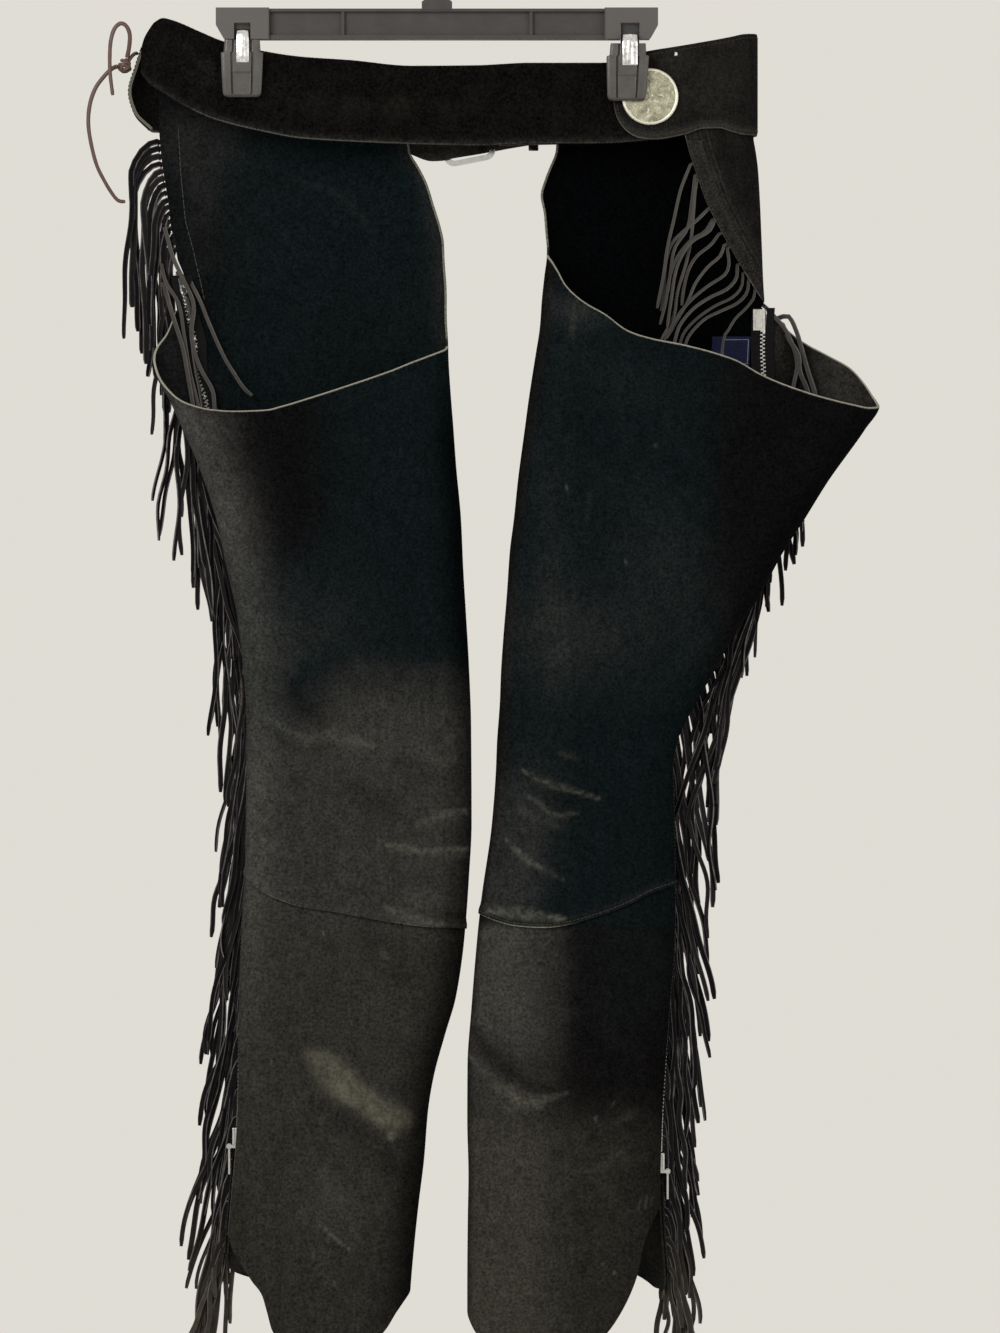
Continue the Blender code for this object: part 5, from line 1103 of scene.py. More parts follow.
# enlargements the marks were measured on: left, top, scale
LEFT_TOP, LEFT_KNEE, LEFT_CALF = (130.0, 120.0, 3.014), (170.0, 508.0, 4.752), (180.0, 840.0, 3.483)
RIGHT_TOP, RIGHT_KNEE, RIGHT_CALF = (440.0, 130.0, 3.074), (468.0, 729.0, 4.012), (460.0, 880.0, 3.732)
# rubbed pale: where, points, half widths, strength
PALE_LEFT = (
    (LEFT_KNEE, ((390, 960), (480, 1005), (560, 1050)), (5, 11, 14), 0.20),
    (LEFT_KNEE, ((550, 1050), (650, 1105), (760, 1085)), (14, 30, 34), 0.17),
    (LEFT_KNEE, ((760, 1080), (850, 1100), (960, 1130)), (28, 30, 14), 0.22),
    (LEFT_KNEE, ((1215, 1485), (1290, 1462), (1400, 1440)), (7, 14, 6), 0.50),
    (LEFT_KNEE, ((1180, 1500), (1290, 1480), (1400, 1450)), (20, 34, 20), 0.14),
    (LEFT_KNEE, ((1240, 1180), (1290, 1210), (1340, 1190)), (24, 30, 24), 0.10),
    (LEFT_KNEE, ((1380, 1060), (1330, 1095)), (22, 22), 0.08),
    (LEFT_KNEE, ((445, 1330), (452, 1360)), (8, 8), 0.22),
    (LEFT_CALF, ((690, 5), (760, 25), (850, 42), (920, 40), (1000, 32)), (3, 10, 12, 10, 5), 0.42),
    (LEFT_CALF, ((740, 30), (860, 60), (980, 50)), (24, 30, 20), 0.12),
    (LEFT_CALF, ((715, 235), (800, 272), (905, 292)), (8, 22, 12), 0.26),
    (LEFT_CALF, ((800, 180), (870, 220)), (30, 40), 0.10),
    (LEFT_CALF, ((490, 1340), (540, 1385), (590, 1425)), (3, 6, 4), 0.40),
    (LEFT_CALF, ((450, 1150), (540, 1240), (500, 1330)), (60, 80, 50), 0.05),
    (LEFT_CALF, ((497, 322), (498, 325)), (4, 4), 0.55),
    (LEFT_CALF, ((700, 390), (725, 412)), (8, 10), 0.20),
    (LEFT_CALF, ((320, 768), (321, 783)), (5, 5), 0.22),
    (LEFT_CALF, ((465, 1428), (466, 1452)), (5, 5), 0.30),
    (LEFT_CALF, ((538, 1543), (540, 1547)), (4, 4), 0.35),
    (LEFT_TOP, ((400, 462), (404, 470)), (5, 5), 0.08),
)
DUST_LEFT = (
    (LEFT_CALF, ((492, 782), (550, 835), (620, 893), (690, 938), (752, 976)), (46, 56, 46, 46, 50), 0.84),
    (LEFT_CALF, ((560, 830), (640, 885), (720, 940)), (20, 22, 20), 0.72),
    (LEFT_CALF, ((735, 1000), (736, 1030)), (22, 16), 0.72),
    (LEFT_CALF, ((462, 752), (505, 790)), (34, 40), 0.44),
    (LEFT_CALF, ((520, 800), (560, 850)), (14, 16), 0.92),
    (LEFT_CALF, ((705, 960), (760, 985), (730, 1025)), (14, 14, 12), 0.94),
)
# painted shade on the left leg, below folds and along its edges: where, points, half widths, strength
SHADE_MARKS_LEFT = (
    (LEFT_KNEE, ((600, 880), (660, 960), (720, 1010)), (60, 70, 40), 0.32),
    (LEFT_KNEE, ((850, 1330), (960, 1400), (1040, 1440)), (60, 80, 60), 0.28),
    (LEFT_KNEE, ((1120, 1220), (1200, 1260)), (50, 60), 0.22),
    (LEFT_KNEE, ((440, 1045), (520, 1088), (600, 1146)), (14, 18, 12), 0.18),
    (LEFT_KNEE, ((1230, 1515), (1300, 1492), (1400, 1466)), (5, 10, 5), 0.30),
    (LEFT_CALF, ((700, 45), (790, 62), (900, 66)), (6, 10, 6), 0.30),
    (LEFT_CALF, ((520, 940), (620, 1015), (720, 1085)), (30, 34, 30), 0.22),
    (LEFT_CALF, ((720, 1100), (780, 1230), (760, 1400)), (50, 60, 60), 0.42),
    (LEFT_CALF, ((200, 1250), (210, 1400)), (34, 34), 0.25),
    (LEFT_CALF, ((640, 330), (760, 420), (840, 520)), (40, 60, 50), 0.20),
)
PALE_RIGHT = (
    (RIGHT_KNEE, ((205, 162), (270, 195), (340, 225)), (4, 9, 13), 0.34),
    (RIGHT_KNEE, ((340, 225), (430, 250), (530, 280)), (13, 11, 5), 0.30),
    (RIGHT_KNEE, ((245, 275), (290, 300), (325, 340)), (6, 10, 10), 0.26),
    (RIGHT_KNEE, ((325, 345), (380, 350), (440, 335)), (10, 12, 6), 0.24),
    (RIGHT_KNEE, ((220, 320), (290, 360), (350, 385)), (20, 26, 16), 0.12),
    (RIGHT_KNEE, ((155, 448), (190, 478), (210, 500)), (4, 8, 10), 0.42),
    (RIGHT_KNEE, ((210, 500), (245, 535), (300, 560)), (12, 18, 12), 0.28),
    (RIGHT_KNEE, ((290, 550), (340, 580), (385, 605)), (10, 9, 5), 0.17),
    (RIGHT_KNEE, ((85, 730), (180, 744), (280, 752), (385, 762)), (9, 19, 20, 9), 0.52),
    (RIGHT_KNEE, ((120, 738), (200, 750), (300, 756), (360, 758)), (8, 12, 12, 6), 0.30),
    (RIGHT_KNEE, ((70, 712), (170, 716), (260, 722)), (10, 12, 10), 0.14),
    (RIGHT_KNEE, ((150, 850), (200, 850)), (30, 24), 0.08),
    (RIGHT_KNEE, ((370, 100), (420, 115)), (14, 14), 0.10),
    (RIGHT_CALF, ((40, 655), (90, 722), (150, 775)), (10, 20, 26), 0.30),
    (RIGHT_CALF, ((150, 775), (220, 822), (290, 832)), (26, 30, 24), 0.44),
    (RIGHT_CALF, ((200, 800), (260, 815), (320, 812)), (12, 14, 10), 0.30),
    (RIGHT_CALF, ((290, 825), (350, 810), (400, 795)), (20, 12, 6), 0.20),
    (RIGHT_CALF, ((50, 700), (110, 780), (180, 850)), (40, 50, 40), 0.08),
    (RIGHT_CALF, ((590, 900), (625, 880), (650, 870)), (14, 20, 14), 0.10),
    (RIGHT_CALF, ((390, 1075), (480, 1085), (560, 1050), (605, 1010)), (16, 18, 14, 10), 0.09),
    (RIGHT_CALF, ((665, 1225), (672, 1190)), (4, 4), 0.26),
    (RIGHT_CALF, ((690, 1222), (695, 1185)), (4, 4), 0.24),
    (RIGHT_CALF, ((712, 1210), (716, 1185)), (4, 4), 0.20),
    (RIGHT_CALF, ((505, 888), (506, 893)), (6, 6), 0.42),
    (RIGHT_CALF, ((572, 836), (573, 840)), (4, 4), 0.45),
    (RIGHT_CALF, ((235, 1390), (236, 1394)), (5, 5), 0.42),
    (RIGHT_CALF, ((575, 1463), (576, 1467)), (5, 5), 0.45),
    (RIGHT_CALF, ((595, 1441), (596, 1445)), (4, 4), 0.40),
    (RIGHT_CALF, ((530, 1428), (531, 1432)), (4, 4), 0.30),
    (RIGHT_TOP, ((420, 520), (412, 570), (405, 640)), (5, 6, 5), 0.16),
    (RIGHT_TOP, ((390, 1102), (391, 1107)), (5, 5), 0.36),
    (RIGHT_TOP, ((570, 1329), (571, 1333)), (4, 4), 0.28),
    (RIGHT_TOP, ((665, 972), (666, 976)), (4, 4), 0.24),
    (RIGHT_TOP, ((480, 973), (481, 977)), (4, 4), 0.18),
    (RIGHT_TOP, ((460, 1120), (452, 1200)), (8, 8), 0.05),
)
# painted shade on the right leg, below its creases and folds: where, points, half widths, strength
SHADE_MARKS_RIGHT = (
    (RIGHT_CALF, ((50, 560), (110, 640), (190, 720)), (30, 40, 36), 0.58),
    (RIGHT_CALF, ((190, 720), (270, 765), (350, 785)), (30, 20, 12), 0.45),
    (RIGHT_KNEE, ((250, 232), (330, 268), (420, 300)), (12, 18, 12), 0.28),
    (RIGHT_KNEE, ((60, 745), (150, 768), (280, 780), (400, 768), (480, 750)), (5, 6, 7, 6, 4), 0.60),
    (RIGHT_KNEE, ((110, 470), (130, 560), (170, 640)), (16, 22, 16), 0.20),
    (RIGHT_CALF, ((330, 860), (430, 900), (500, 960)), (30, 40, 30), 0.18),
)
# how pale the cut edge is along the knee seam
SEAM_LEFT = ((-160.0, 0.10), (-146.0, 0.30), (-136.0, 0.62), (-112.0, 0.55), (-96.0, 0.22), (-74.0, 0.14), (-60.0, 0.24),
             (-46.0, 0.42), (-20.0, 0.60), (-4.0, 0.50), (8.0, 0.20), (30.0, 0.06))
SEAM_RIGHT = ((26.0, 0.30), (40.0, 0.72), (60.0, 0.95), (86.0, 1.0), (104.0, 0.62), (118.0, 0.34), (132.0, 0.16), (146.0, 0.07), (160.0, 0.0), (190.0, 0.0))
# pale band along the left leg's outer edge: height, strength, width; a painted highlight where the rounded edge turns
# to the light, on top of some real fading
EDGE_HIGHLIGHT = ((-1100.0, 0.0, 14.0), (-1000.0, 0.04, 14.0), (-930.0, 0.14, 14.0), (-850.0, 0.34, 15.0), (-760.0, 0.56, 16.0), (-700.0, 0.56, 17.0),
        (-640.0, 0.52, 22.0), (-590.0, 0.48, 25.0), (-540.0, 0.50, 21.0), (-480.0, 0.52, 20.0), (-420.0, 0.47, 20.0), (-380.0, 0.42, 20.0))


def left_tones(x, z):
    out, inn = x - L.s("outer", z), L.s("inner", z) - x
    depth = 582.0 + 50.0 * ramp(-x, 58, 150)
    brown = ramp(-z, depth - 16, depth + 56)
    fade = brown * (0.45 - 0.05 * ramp(-z, 790, 830) - 0.04 * ramp(-z, 1000, 1100)) + 0.01
    amount, width = curve(EDGE_HIGHLIGHT, z, 1), curve(EDGE_HIGHLIGHT, z, 2)
    # painted highlight: a pale band and a broad pale area along the outer edge, where the rounded edge catches the
    # light; partly real fading
    fade = fade + amount * np.exp(-((out - 7.0) / width) ** 2) * (1 - 0.45 * brown)
    fade = fade + 0.26 * (1 - brown) * np.exp(-(out / 44.0) ** 2) * (1 - ramp(-z, 470, 560))
    fade = fade + 0.14 * blob(x, z, -178, -400, 26, 20, -20) + 0.13 * blob(x, z, -100, -566, 58, 36) + 0.06 * blob(x, z, -86, -520, 40, 30)
    fade = fade + 0.10 * blob(x, z, -52, -648, 60, 26) + 0.08 * blob(x, z, -80, -1040, 30, 40) - 0.08 * blob(x, z, -96, -640, 26, 20)
    shade = np.where(-z < 790, 0.80 * np.exp(-(inn / 15.0) ** 2), 0.0) * ramp(-z, 330, 420)
    shade = np.maximum(shade, np.where(-z < 790, 0.0, 0.90 * np.exp(-(inn / 21.0) ** 2)))
    cool = np.clip(ramp(x, -120, -64) + ramp(-z, 470, 530), 0, 1) * (1 - 0.9 * brown)
    warm = brown * (0.25 + 0.45 * ramp(-z, 770, 830))
    return fade, shade, cool, warm


def right_tones(x, z):
    out, inn = R.s("outer", z) - x, x - R.s("inner", z)
    low = ramp(-z, 796, 806)
    fade = 0.015 + 0.20 * blob(x, z, 112, -306, 26, 15, -25) + 0.06 * blob(x, z, 150, -360, 60, 20, -22) + 0.17 * blob(x, z, 106, -570, 66, 50)
    fade = fade + 0.12 * blob(x, z, 186, -510, 46, 90, 24) + 0.10 * blob(x, z, 90, -470, 18, 110)
    fade = fade + 0.10 * np.exp(-(inn / 8.0) ** 2)
    fade = fade + 0.26 * blob(x, z, 68, -724, 32, 58, -10) + 0.20 * blob(x, z, 54, -772, 30, 26)
    calf = 0.62 * (1 - ramp(x, 62, 120)) * (1 - 0.50 * ramp(-z, 870, 930)) + 0.07
    calf = calf + 0.24 * ramp(-z, 925, 985) * (0.6 + 0.4 * (1 - ramp(x, 110, 180)))
    fade = fade * (1 - low) + low * calf
    shade = 0.55 * np.exp(-(inn / 3.5) ** 2) + 0.30 * low * np.exp(-(out / 16.0) ** 2) + 0.30 * (1 - low) * np.exp(-(out / 20.0) ** 2)
    cool = (1 - ramp(x, 196, 250)) * ramp(inn, 2, 14) * (1 - low) + low * 0.35 * ramp(x, 110, 150) * (1 - ramp(-z, 850, 900))
    warm = low * (0.25 + 0.75 * ramp(-z, 900, 980))
    return fade, shade, np.clip(cool, 0, 1), warm


def panel_values(leg, p, far, marks, edges):
    x, z = p[..., 0], p[..., 2]
    if far:
        brown = ramp(-z + 20 * np.sin(x / 41.0 + 1.0) + 9 * np.sin(x / 17.0 + z / 60.0), 585, 725)
        fade = 0.05 + 0.26 * brown + 0.12 * blob(x, z, leg.side * 110 - 10, -690, 60, 50)
        if leg is L:
            fade = fade + 0.20 * blob(x, z, -200, -160, 46, 30) + 0.12 * blob(x, z, -192, -210, 20, 60) + 0.20 * np.exp(-((L.s("inner", z) - x) / 11.0) ** 2) * (1 - ramp(-z, 330, 360))
        fade = fade * (1 + 0.25 * np.sin(x / 31.0) * np.sin(z / 47.0))
        shade = 0.35 * np.exp(-(np.abs(leg.s("inner", z) - x) / 12.0) ** 2) * ramp(-z, 340, 400)
        cool = 0.85 * (1 - brown) * (ramp(x, -200, -140) if leg is L else 1.0)
        warm = brown * 0.7
        wear = marks_of(x, z, ()) + 0.10 * stroke_all(x, z, marks)
        dust = 0.05 * ramp(-z, 900, 1130)
        # the inside of the right leg's upper front is kept dark: painted shade in the pocket
        inner = fade if leg is L or z.max() < -700 else 0.10 * fade
    else:
        fade, shade, cool, warm = (left_tones if leg is L else right_tones)(x, z)
        pale, dark = (PALE_LEFT, SHADE_MARKS_LEFT) if leg is L else (PALE_RIGHT, SHADE_MARKS_RIGHT)
        wear = marks_of(x, z, pale)
        # the dark marks paint shade into the colour
        shade = np.maximum(shade, marks_of(x, z, dark, 2.0))
        dust = marks_of(x, z, DUST_LEFT, 3.4) if leg is L else np.zeros(x.shape)
        inner = 0.17 + 0.0 * x if leg is L else 0.17 + 0.38 * ramp(x, 288, 330) + 0.42 * blob(x, z, 266, -328, 12, 20)
    return {"fade": np.clip(fade, 0, 1), "inner": np.clip(inner, 0, 1), "dust": np.clip(dust, 0, 1), "wear": np.clip(wear, 0, 1), "shade": np.clip(shade, 0, 1),
            "cool": np.clip(cool, 0, 1), "warm": np.clip(warm, 0, 1), "edge": np.clip(edges, 0, 1)}


def stroke_all(x, z, marks):
    """Where creases stand proud the nap is rubbed pale."""
    out = np.zeros(np.shape(x))
    for points, width, height, _ in marks:
        if height > 0 and width <= 10.0:
            out = np.maximum(out, stroke(x, z, points, width * 0.7) * min(1.0, height / 2.0))
    return out


def from_end(p, axis, first=True):
    step = np.linalg.norm(np.diff(p, axis=axis), axis=2)
    zero = np.zeros((1, p.shape[1])) if axis == 0 else np.zeros((p.shape[0], 1))
    run = np.concatenate([zero, np.cumsum(step, axis=axis)], axis=axis)
    if first:
        return run
    total = run[-1:, :] if axis == 0 else run[:, -1:]
    return total - run


NEAR_U = np.concatenate([[0.0, 0.003, 0.007, 0.013, 0.021, 0.03], np.linspace(0.038, 1.0, 142)])
FAR_T = np.linspace(0.0, 1.0, 63)
LAP = 0.0        # how far the upper piece reaches past the knee seam
TUCK = 4.5       # how far the lower piece goes up inside it


def near_lift(leg, p, ang, marks, seed):
    w = ramp(ang, 2, 34) * ramp(180 - ang, 1, 26)
    return raised(p[..., 0], p[..., 2], marks, seed) * w


def far_lift(leg, p, marks, seed):
    t = FAR_T[None, :]
    w = ramp(t, 0.03, 0.2) * ramp(1 - t, 0.03, 0.16)
    return raised(p[..., 0], p[..., 2], marks, seed) * w


def upper_piece(name, word, leg, near_marks, far_marks, seed):
    d = leg.d
    rim = d["rim"]
    inner_top, zip_top = rim[-1][1], rim[0][1]
    outer_belt, inner_belt = d["belt_line"]
    f = spaced(420.0, 2.8, (0.7, 1.5, 2.5, 4.0, 6.2), (0.8, 1.8, 3.2, 5.0))
    g_far = spaced(420.0, 4.8, (0.7, 1.5, 2.5, 4.0, 6.2, 9.0), (0.8, 1.8, 3.2, 5.0, 7.5))
    u = NEAR_U
    top = settle(lambda z: curve(rim, leg.near_angle(z, u), 1), np.full(u.shape, -330.0))
    low = settle(lambda z: leg.knee(leg.near_angle(z, u)), np.full(u.shape, -780.0)) - LAP
    z = top[None, :] + (low - top)[None, :] * f[:, None]
    ang = leg.near_angle(z, u[None, :])
    near = leg.around(z, ang)
    out = leg.normal(z, ang)
    lift = near_lift(leg, near, ang, near_marks, seed)
    d_top, d_low, d_zip = from_end(near, 0), from_end(near, 0, False), from_end(near, 1)
    wavy = 0.5 + 0.5 * np.sin(near[..., 0] / 23.0 + seed) * np.sin(near[..., 0] / 61.0)
    lift = lift + (0.4 + 1.1 * wavy) * (1 - ramp(d_top, 0, 9)) * ramp(ang, 2, 30) * ramp(180 - ang, 1, 20)
    lift = lift + 1.25 * (1 - ramp(d_low, 2.0, 9.0)) * ramp(d_zip, 0, 4)
    seam = np.interp(near[..., 0], *np.array(SEAM_LEFT if leg is L else SEAM_RIGHT).T)
    edge = np.exp(-(d_top / 1.25) ** 2) + 0.9 * seam * np.exp(-(d_low / 0.9) ** 2) + (0.30 if leg is L else 0.10) * np.exp(-(d_zip / 1.0) ** 2)
    near_values = panel_values(leg, near, False, near_marks, edge)
    near_values["wear"] = np.clip(near_values["wear"] + 0.06 * np.exp(-((d_low - 2.0) / 4.0) ** 2), 0, 1)
    near = near + out * lift[..., None]

    t = FAR_T
    line = inner_top + (zip_top - inner_top) * t
    high = inner_belt + (outer_belt - inner_belt) * t
    last = line + 1.0 + ((HIP[-1][0] - zip_top - 1.0) * ramp(t, 0.93, 1.0) if leg is R else 0.0)
    g = spaced(165.0, 3.5, (1.0, 2.4, 4.5, 7.5), ())
    z_top = high[None, :] + (last - high)[None, :] * g[:, None]
    far_low = settle(lambda q: leg.knee(leg.far_angle(q, t)), np.full(t.shape, -780.0)) - LAP
    z_low = line[None, :] + (far_low - line)[None, :] * g_far[:, None]
    zf = np.concatenate([z_top, z_low], 0)
    far = leg.far_point(zf, t[None, :])
    normal = normals_of(far, np.array([0.0, 1.0, 0.0]))
    lift = far_lift(leg, far, far_marks, seed + 7)
    d_in, d_out = from_end(far, 1), from_end(far, 1, False)
    free = ramp(zf[:, :1], inner_top - 2, inner_top + 10)
    d_low = from_end(far, 0, False)
    ragged = 0.8 * np.sin(zf / 17.0 + seed) + 0.5 * np.sin(zf / 7.3)
    lift = lift + 1.1 * (1 - ramp(d_low, 2.0, 9.0)) * ramp(d_in, 0, 4) * ramp(d_out, 0, 4)
    edge = 0.55 * free * np.exp(-(d_in / 1.2) ** 2) + 0.3 * np.exp(-(d_out / 1.0) ** 2) + 0.4 * np.exp(-(d_low / 0.9) ** 2)
    far_values = panel_values(leg, far, True, far_marks, edge)
    far = far + normal * lift[..., None]
    # the free inner edge isn't cut quite straight
    far[..., 0] += leg.side * (0.45 * ragged * np.exp(-(d_in / 9.0) ** 2) * free)
    flip = leg.side > 0
    blocks = [(near, near_values, flip), (far, far_values, flip)]
    if leg is R:
        rows = []
        cols = np.linspace(0, 1, 64)
        rows_z = z_top[:, -1]
        for q in rows_z:
            rows.append(hip_point(float(q), cols))
        rows[-1] = rows[-1] * 0 + far[len(rows_z) - 1, -1]
        hip = np.stack(rows)
        hip[:, 0] = far[:len(rows_z), -1]
        free_edge = from_end(hip, 1, False)
        w = ramp(cols[None, :], 0.15, 0.5)
        lift = (0.8 * np.sin(hip[..., 2] / 19.0 + hip[..., 0] / 31.0) + 0.9 * stroke(
            hip[..., 0], hip[..., 2], ((214, -168), (226, -214), (244, -254)), 7.0, 0.4)) * w
        lift = lift + 0.9 * (1 - ramp(free_edge, 0, 7)) * w
        hip[:-1, :, 1] -= lift[:-1]
        across = hip[..., 0] * 0.90 + hip[..., 2] * 0.44
        streaks = (np.sin(free_edge * 2.1 + 0.5 * np.sin(across / 17.0)) + np.sin(free_edge * 1.3 + 1.0 + hip[..., 2] / 37.0)) * 0.5
        streaks = streaks * (1 - ramp(free_edge, 16, 28))
        none = np.zeros(hip.shape[:2])
        values = {"fade": 0.22 + 0.09 * streaks + 0.04 * ramp(-hip[..., 2], 170, 290) - 0.12 * ramp(free_edge, 12, 30),
                  "dust": 0.02 + 0.02 * streaks, "wear": none, "shade": none, "cool": none, "warm": none + 0.3,
                  "edge": 0.5 * np.exp(-(free_edge / 1.1) ** 2)}
        blocks.append((hip, values, flip))
    obj = shells(name, blocks, LEATHER, (SUEDE, FLESH if leg is L else FLESH_SHADED, CUT), weld=0.03)
    put(obj, name, slot="suede")
    return obj


def lower_piece(name, word, leg, near_marks, far_marks, seed):
    f = spaced(335.0, 2.8, (0.9, 2.2, 4.0), (6.2, 4.0, 2.5, 1.5, 0.7)[::-1])
    g_far = spaced(335.0, 4.8, (0.9, 2.2, 4.0, 6.5), (9.0, 6.2, 4.0, 2.5, 1.5, 0.7)[::-1])
    u = NEAR_U
    top = settle(lambda z: leg.knee(leg.near_angle(z, u)), np.full(u.shape, -780.0)) + TUCK
    low = settle(lambda z: leg.hem(leg.near_angle(z, u)), np.full(u.shape, -1090.0))
    z = top[None, :] + (low - top)[None, :] * f[:, None]
    ang = leg.near_angle(z, u[None, :])
    near = leg.around(z, ang)
    out = leg.normal(z, ang)
    d_top, d_low, d_zip = from_end(near, 0), from_end(near, 0, False), from_end(near, 1)
    lift = near_lift(leg, near, ang, near_marks, seed) * ramp(d_top, 2, 24)
    lift = lift - 1.15 * (1 - ramp(d_top, 5.0, 12.0)) * ramp(d_zip, 0, 4)
    lift = lift + 1.0 * (1 - ramp(d_low, 0, 10)) * np.sin(near[..., 0] / 17.0 + seed) * ramp(ang, 2, 30) * ramp(180 - ang, 1, 20)
    along = 0.22 + 0.45 * ramp(-near[..., 2], 880, 925) if leg is L else 0.05
    edge = 0.30 * np.exp(-(d_low / 1.1) ** 2) + along * np.exp(-(d_zip / 1.1) ** 2)
    near_values = panel_values(leg, near, False, near_marks, edge)
    near = near + out * lift[..., None]

    t = FAR_T
    far_top = settle(lambda q: leg.knee(leg.far_angle(q, t)), np.full(t.shape, -780.0)) + TUCK
    far_low = settle(lambda q: leg.hem(leg.far_angle(q, t)), np.full(t.shape, -1090.0))
    zf = far_top[None, :] + (far_low - far_top)[None, :] * g_far[:, None]
    far = leg.far_point(zf, t[None, :])
    normal = normals_of(far, np.array([0.0, 1.0, 0.0]))
    d_in, d_out = from_end(far, 1), from_end(far, 1, False)
    d_top, d_low = from_end(far, 0), from_end(far, 0, False)
    lift = far_lift(leg, far, far_marks, seed + 7) * ramp(d_top, 2, 24)
    lift = lift - 1.0 * (1 - ramp(d_top, 5.0, 12.0)) * ramp(d_in, 0, 4) * ramp(d_out, 0, 4)
    edge = 0.20 * np.exp(-(d_low / 1.1) ** 2) + 0.08 * np.exp(-(d_out / 1.0) ** 2)
    far_values = panel_values(leg, far, True, far_marks, edge)
    far = far + normal * lift[..., None]
    flip = leg.side > 0
    obj = shells(name, [(near, near_values, flip), (far, far_values, flip)], LEATHER, (SUEDE, FLESH, CUT), weld=0.03)
    put(obj, name, slot="suede")
    return obj


# a darker copy of the inside suede for the right leg's upper piece: painted shade deep in its narrow pocket
FLESH_SHADED = suede("suede_inside_shaded", (0.0011, 0.0011, 0.0013), (0.0012, 0.0014, 0.0017), (0.040, 0.0385, 0.0345), DUSTY, RAW, grain=0.8, sheen=0.02, age="inner")
upper_piece("leg_left_upper", "left", L, LEFT_NEAR, LEFT_FAR, 3)
upper_piece("leg_right_upper", "right", R, RIGHT_NEAR, RIGHT_FAR, 11)
lower_piece("leg_left_lower", "left", L, LEFT_LOW_NEAR, low_far(L), 23)
lower_piece("leg_right_lower", "right", R, RIGHT_LOW_NEAR, low_far(R), 31)


# ---- belts ----------------------------------------------------------------------------
BACK_STRIP = (
    # x, top, bottom, y
    (-238.5, -93.0, -112.0, 13.0),
    (-235.5, -84.0, -117.0, 10.0),
    (-232.0, -78.0, -121.0, 7.6),
    (-227.5, -72.3, -124.5, 5.4),
    (-221.0, -69.3, -128.8, 3.4),
    (-213.0, -71.2, -134.0, 1.8),
    (-191.0, -80.5, -146.0, 0.3),
    (-173.0, -88.0, -152.6, 0.0),
    (-143.5, -95.4, -159.8, 0.0),
    (-110.0, -100.6, -166.0, 0.0),
    (-70.0, -103.4, -168.6, 0.0),
    (-20.0, -108.0, -170.6, 0.0),
    (31.0, -107.6, -171.7, 0.0),
    (75.0, -105.6, -170.2, 0.0),
    (130.0, -105.6, -170.0, 0.0),
    (186.0, -101.0, -166.0, 0.0),
)
HIP_BELT = (
    # distance along the belt from its near end, top, bottom
    (0.0, -118.0, -131.0),
    (1.5, -108.0, -143.0),
    (5.0, -102.5, -152.5),
    (12.0, -99.3, -161.0),
    (22.0, -97.5, -166.0),
    (34.0, -95.4, -167.0),
    (58.0, -91.6, -163.0),
    (73.0, -89.0, -158.3),
    (86.0, -86.8, -158.0),
    (95.0, -85.4, -161.0),
    (108.0, -83.4, -164.2),
    (130.0, -83.0, -164.6),
    (165.0, -84.0, -165.0),
    (230.0, -90.0, -166.0),
    (300.0, -99.0, -168.0),
    (352.0, -105.0, -169.0),
)
FRONT_BELT = (
    # distance from the centre end, top, bottom, how far the bend leans out
    (0.0, -120.0, -158.0, 0.0),
    (4.0, -112.0, -167.0, 0.0),
    (14.0, -107.5, -171.0, 0.0),
    (70.0, -103.0, -168.0, 0.0),
    (140.0, -97.0, -161.0, 0.0),
    (180.0, -92.0, -158.0, 0.1),
    (205.0, -89.0, -158.5, 0.6),
    (222.0, -88.5, -158.5, 1.0),
    (232.0, -90.0, -157.0, 1.0),
)
LEAN = ((0.0, -1.5), (0.25, 4.0), (0.55, 9.5), (0.8, 5.0), (1.0, -8.0))
BELT_NEAR_Y = -(BELT / 2 + SEAM + BELT / 2)
BELT_FAR_Y = FAR_Y + LEATHER / 2 + SEAM + BELT / 2
WRAP_R = (BELT_FAR_Y - BELT_NEAR_Y) / 2
WRAP_X = 257.7 - WRAP_R
HIP_START = 141.6
ACROSS = np.concatenate([[0.0, 0.008, 0.02, 0.036, 0.06], np.linspace(0.09, 0.91, 24), [0.94, 0.964, 0.98, 0.992, 1.0]])


def belt_grid(xs, ys, tops, lows, lean=None, bulge=0.0):
    z = tops[:, None] + (lows - tops)[:, None] * ACROSS[None, :]
    x = np.repeat(xs[:, None], len(ACROSS), 1)
    y = np.repeat(ys[:, None], len(ACROSS), 1)
    if lean is not None:
        x = x - lean[:, None] * curve(LEAN, ACROSS, 1)[None, :]
    return np.stack([x, y, z], -1)


def belt_values(p, width, lower=0.8, upper=0.35, fade=0.2, dust=0.02, ends=0.5):
    d_top, d_low = from_end(p, 1), from_end(p, 1, False)
    d_first, d_last = from_end(p, 0), from_end(p, 0, False)
    edge = np.maximum(lower * np.exp(-(d_low / 1.15) ** 2), upper * np.exp(-(d_top / 1.0) ** 2))
    edge = np.maximum(edge, ends * np.exp(-(d_first / 1.2) ** 2))
    edge = np.maximum(edge, ends * np.exp(-(d_last / 1.2) ** 2))
    close = np.minimum(np.minimum(d_top, d_low), np.minimum(d_first, d_last))
    return {"edge": edge, "fade": np.full(edge.shape, fade), "dust": np.full(edge.shape, dust),
            "wear": 0.10 * np.exp(-(d_low / 4.0) ** 2), "thick": 0.66 + 0.34 * ramp(close, 0, 3.6)}


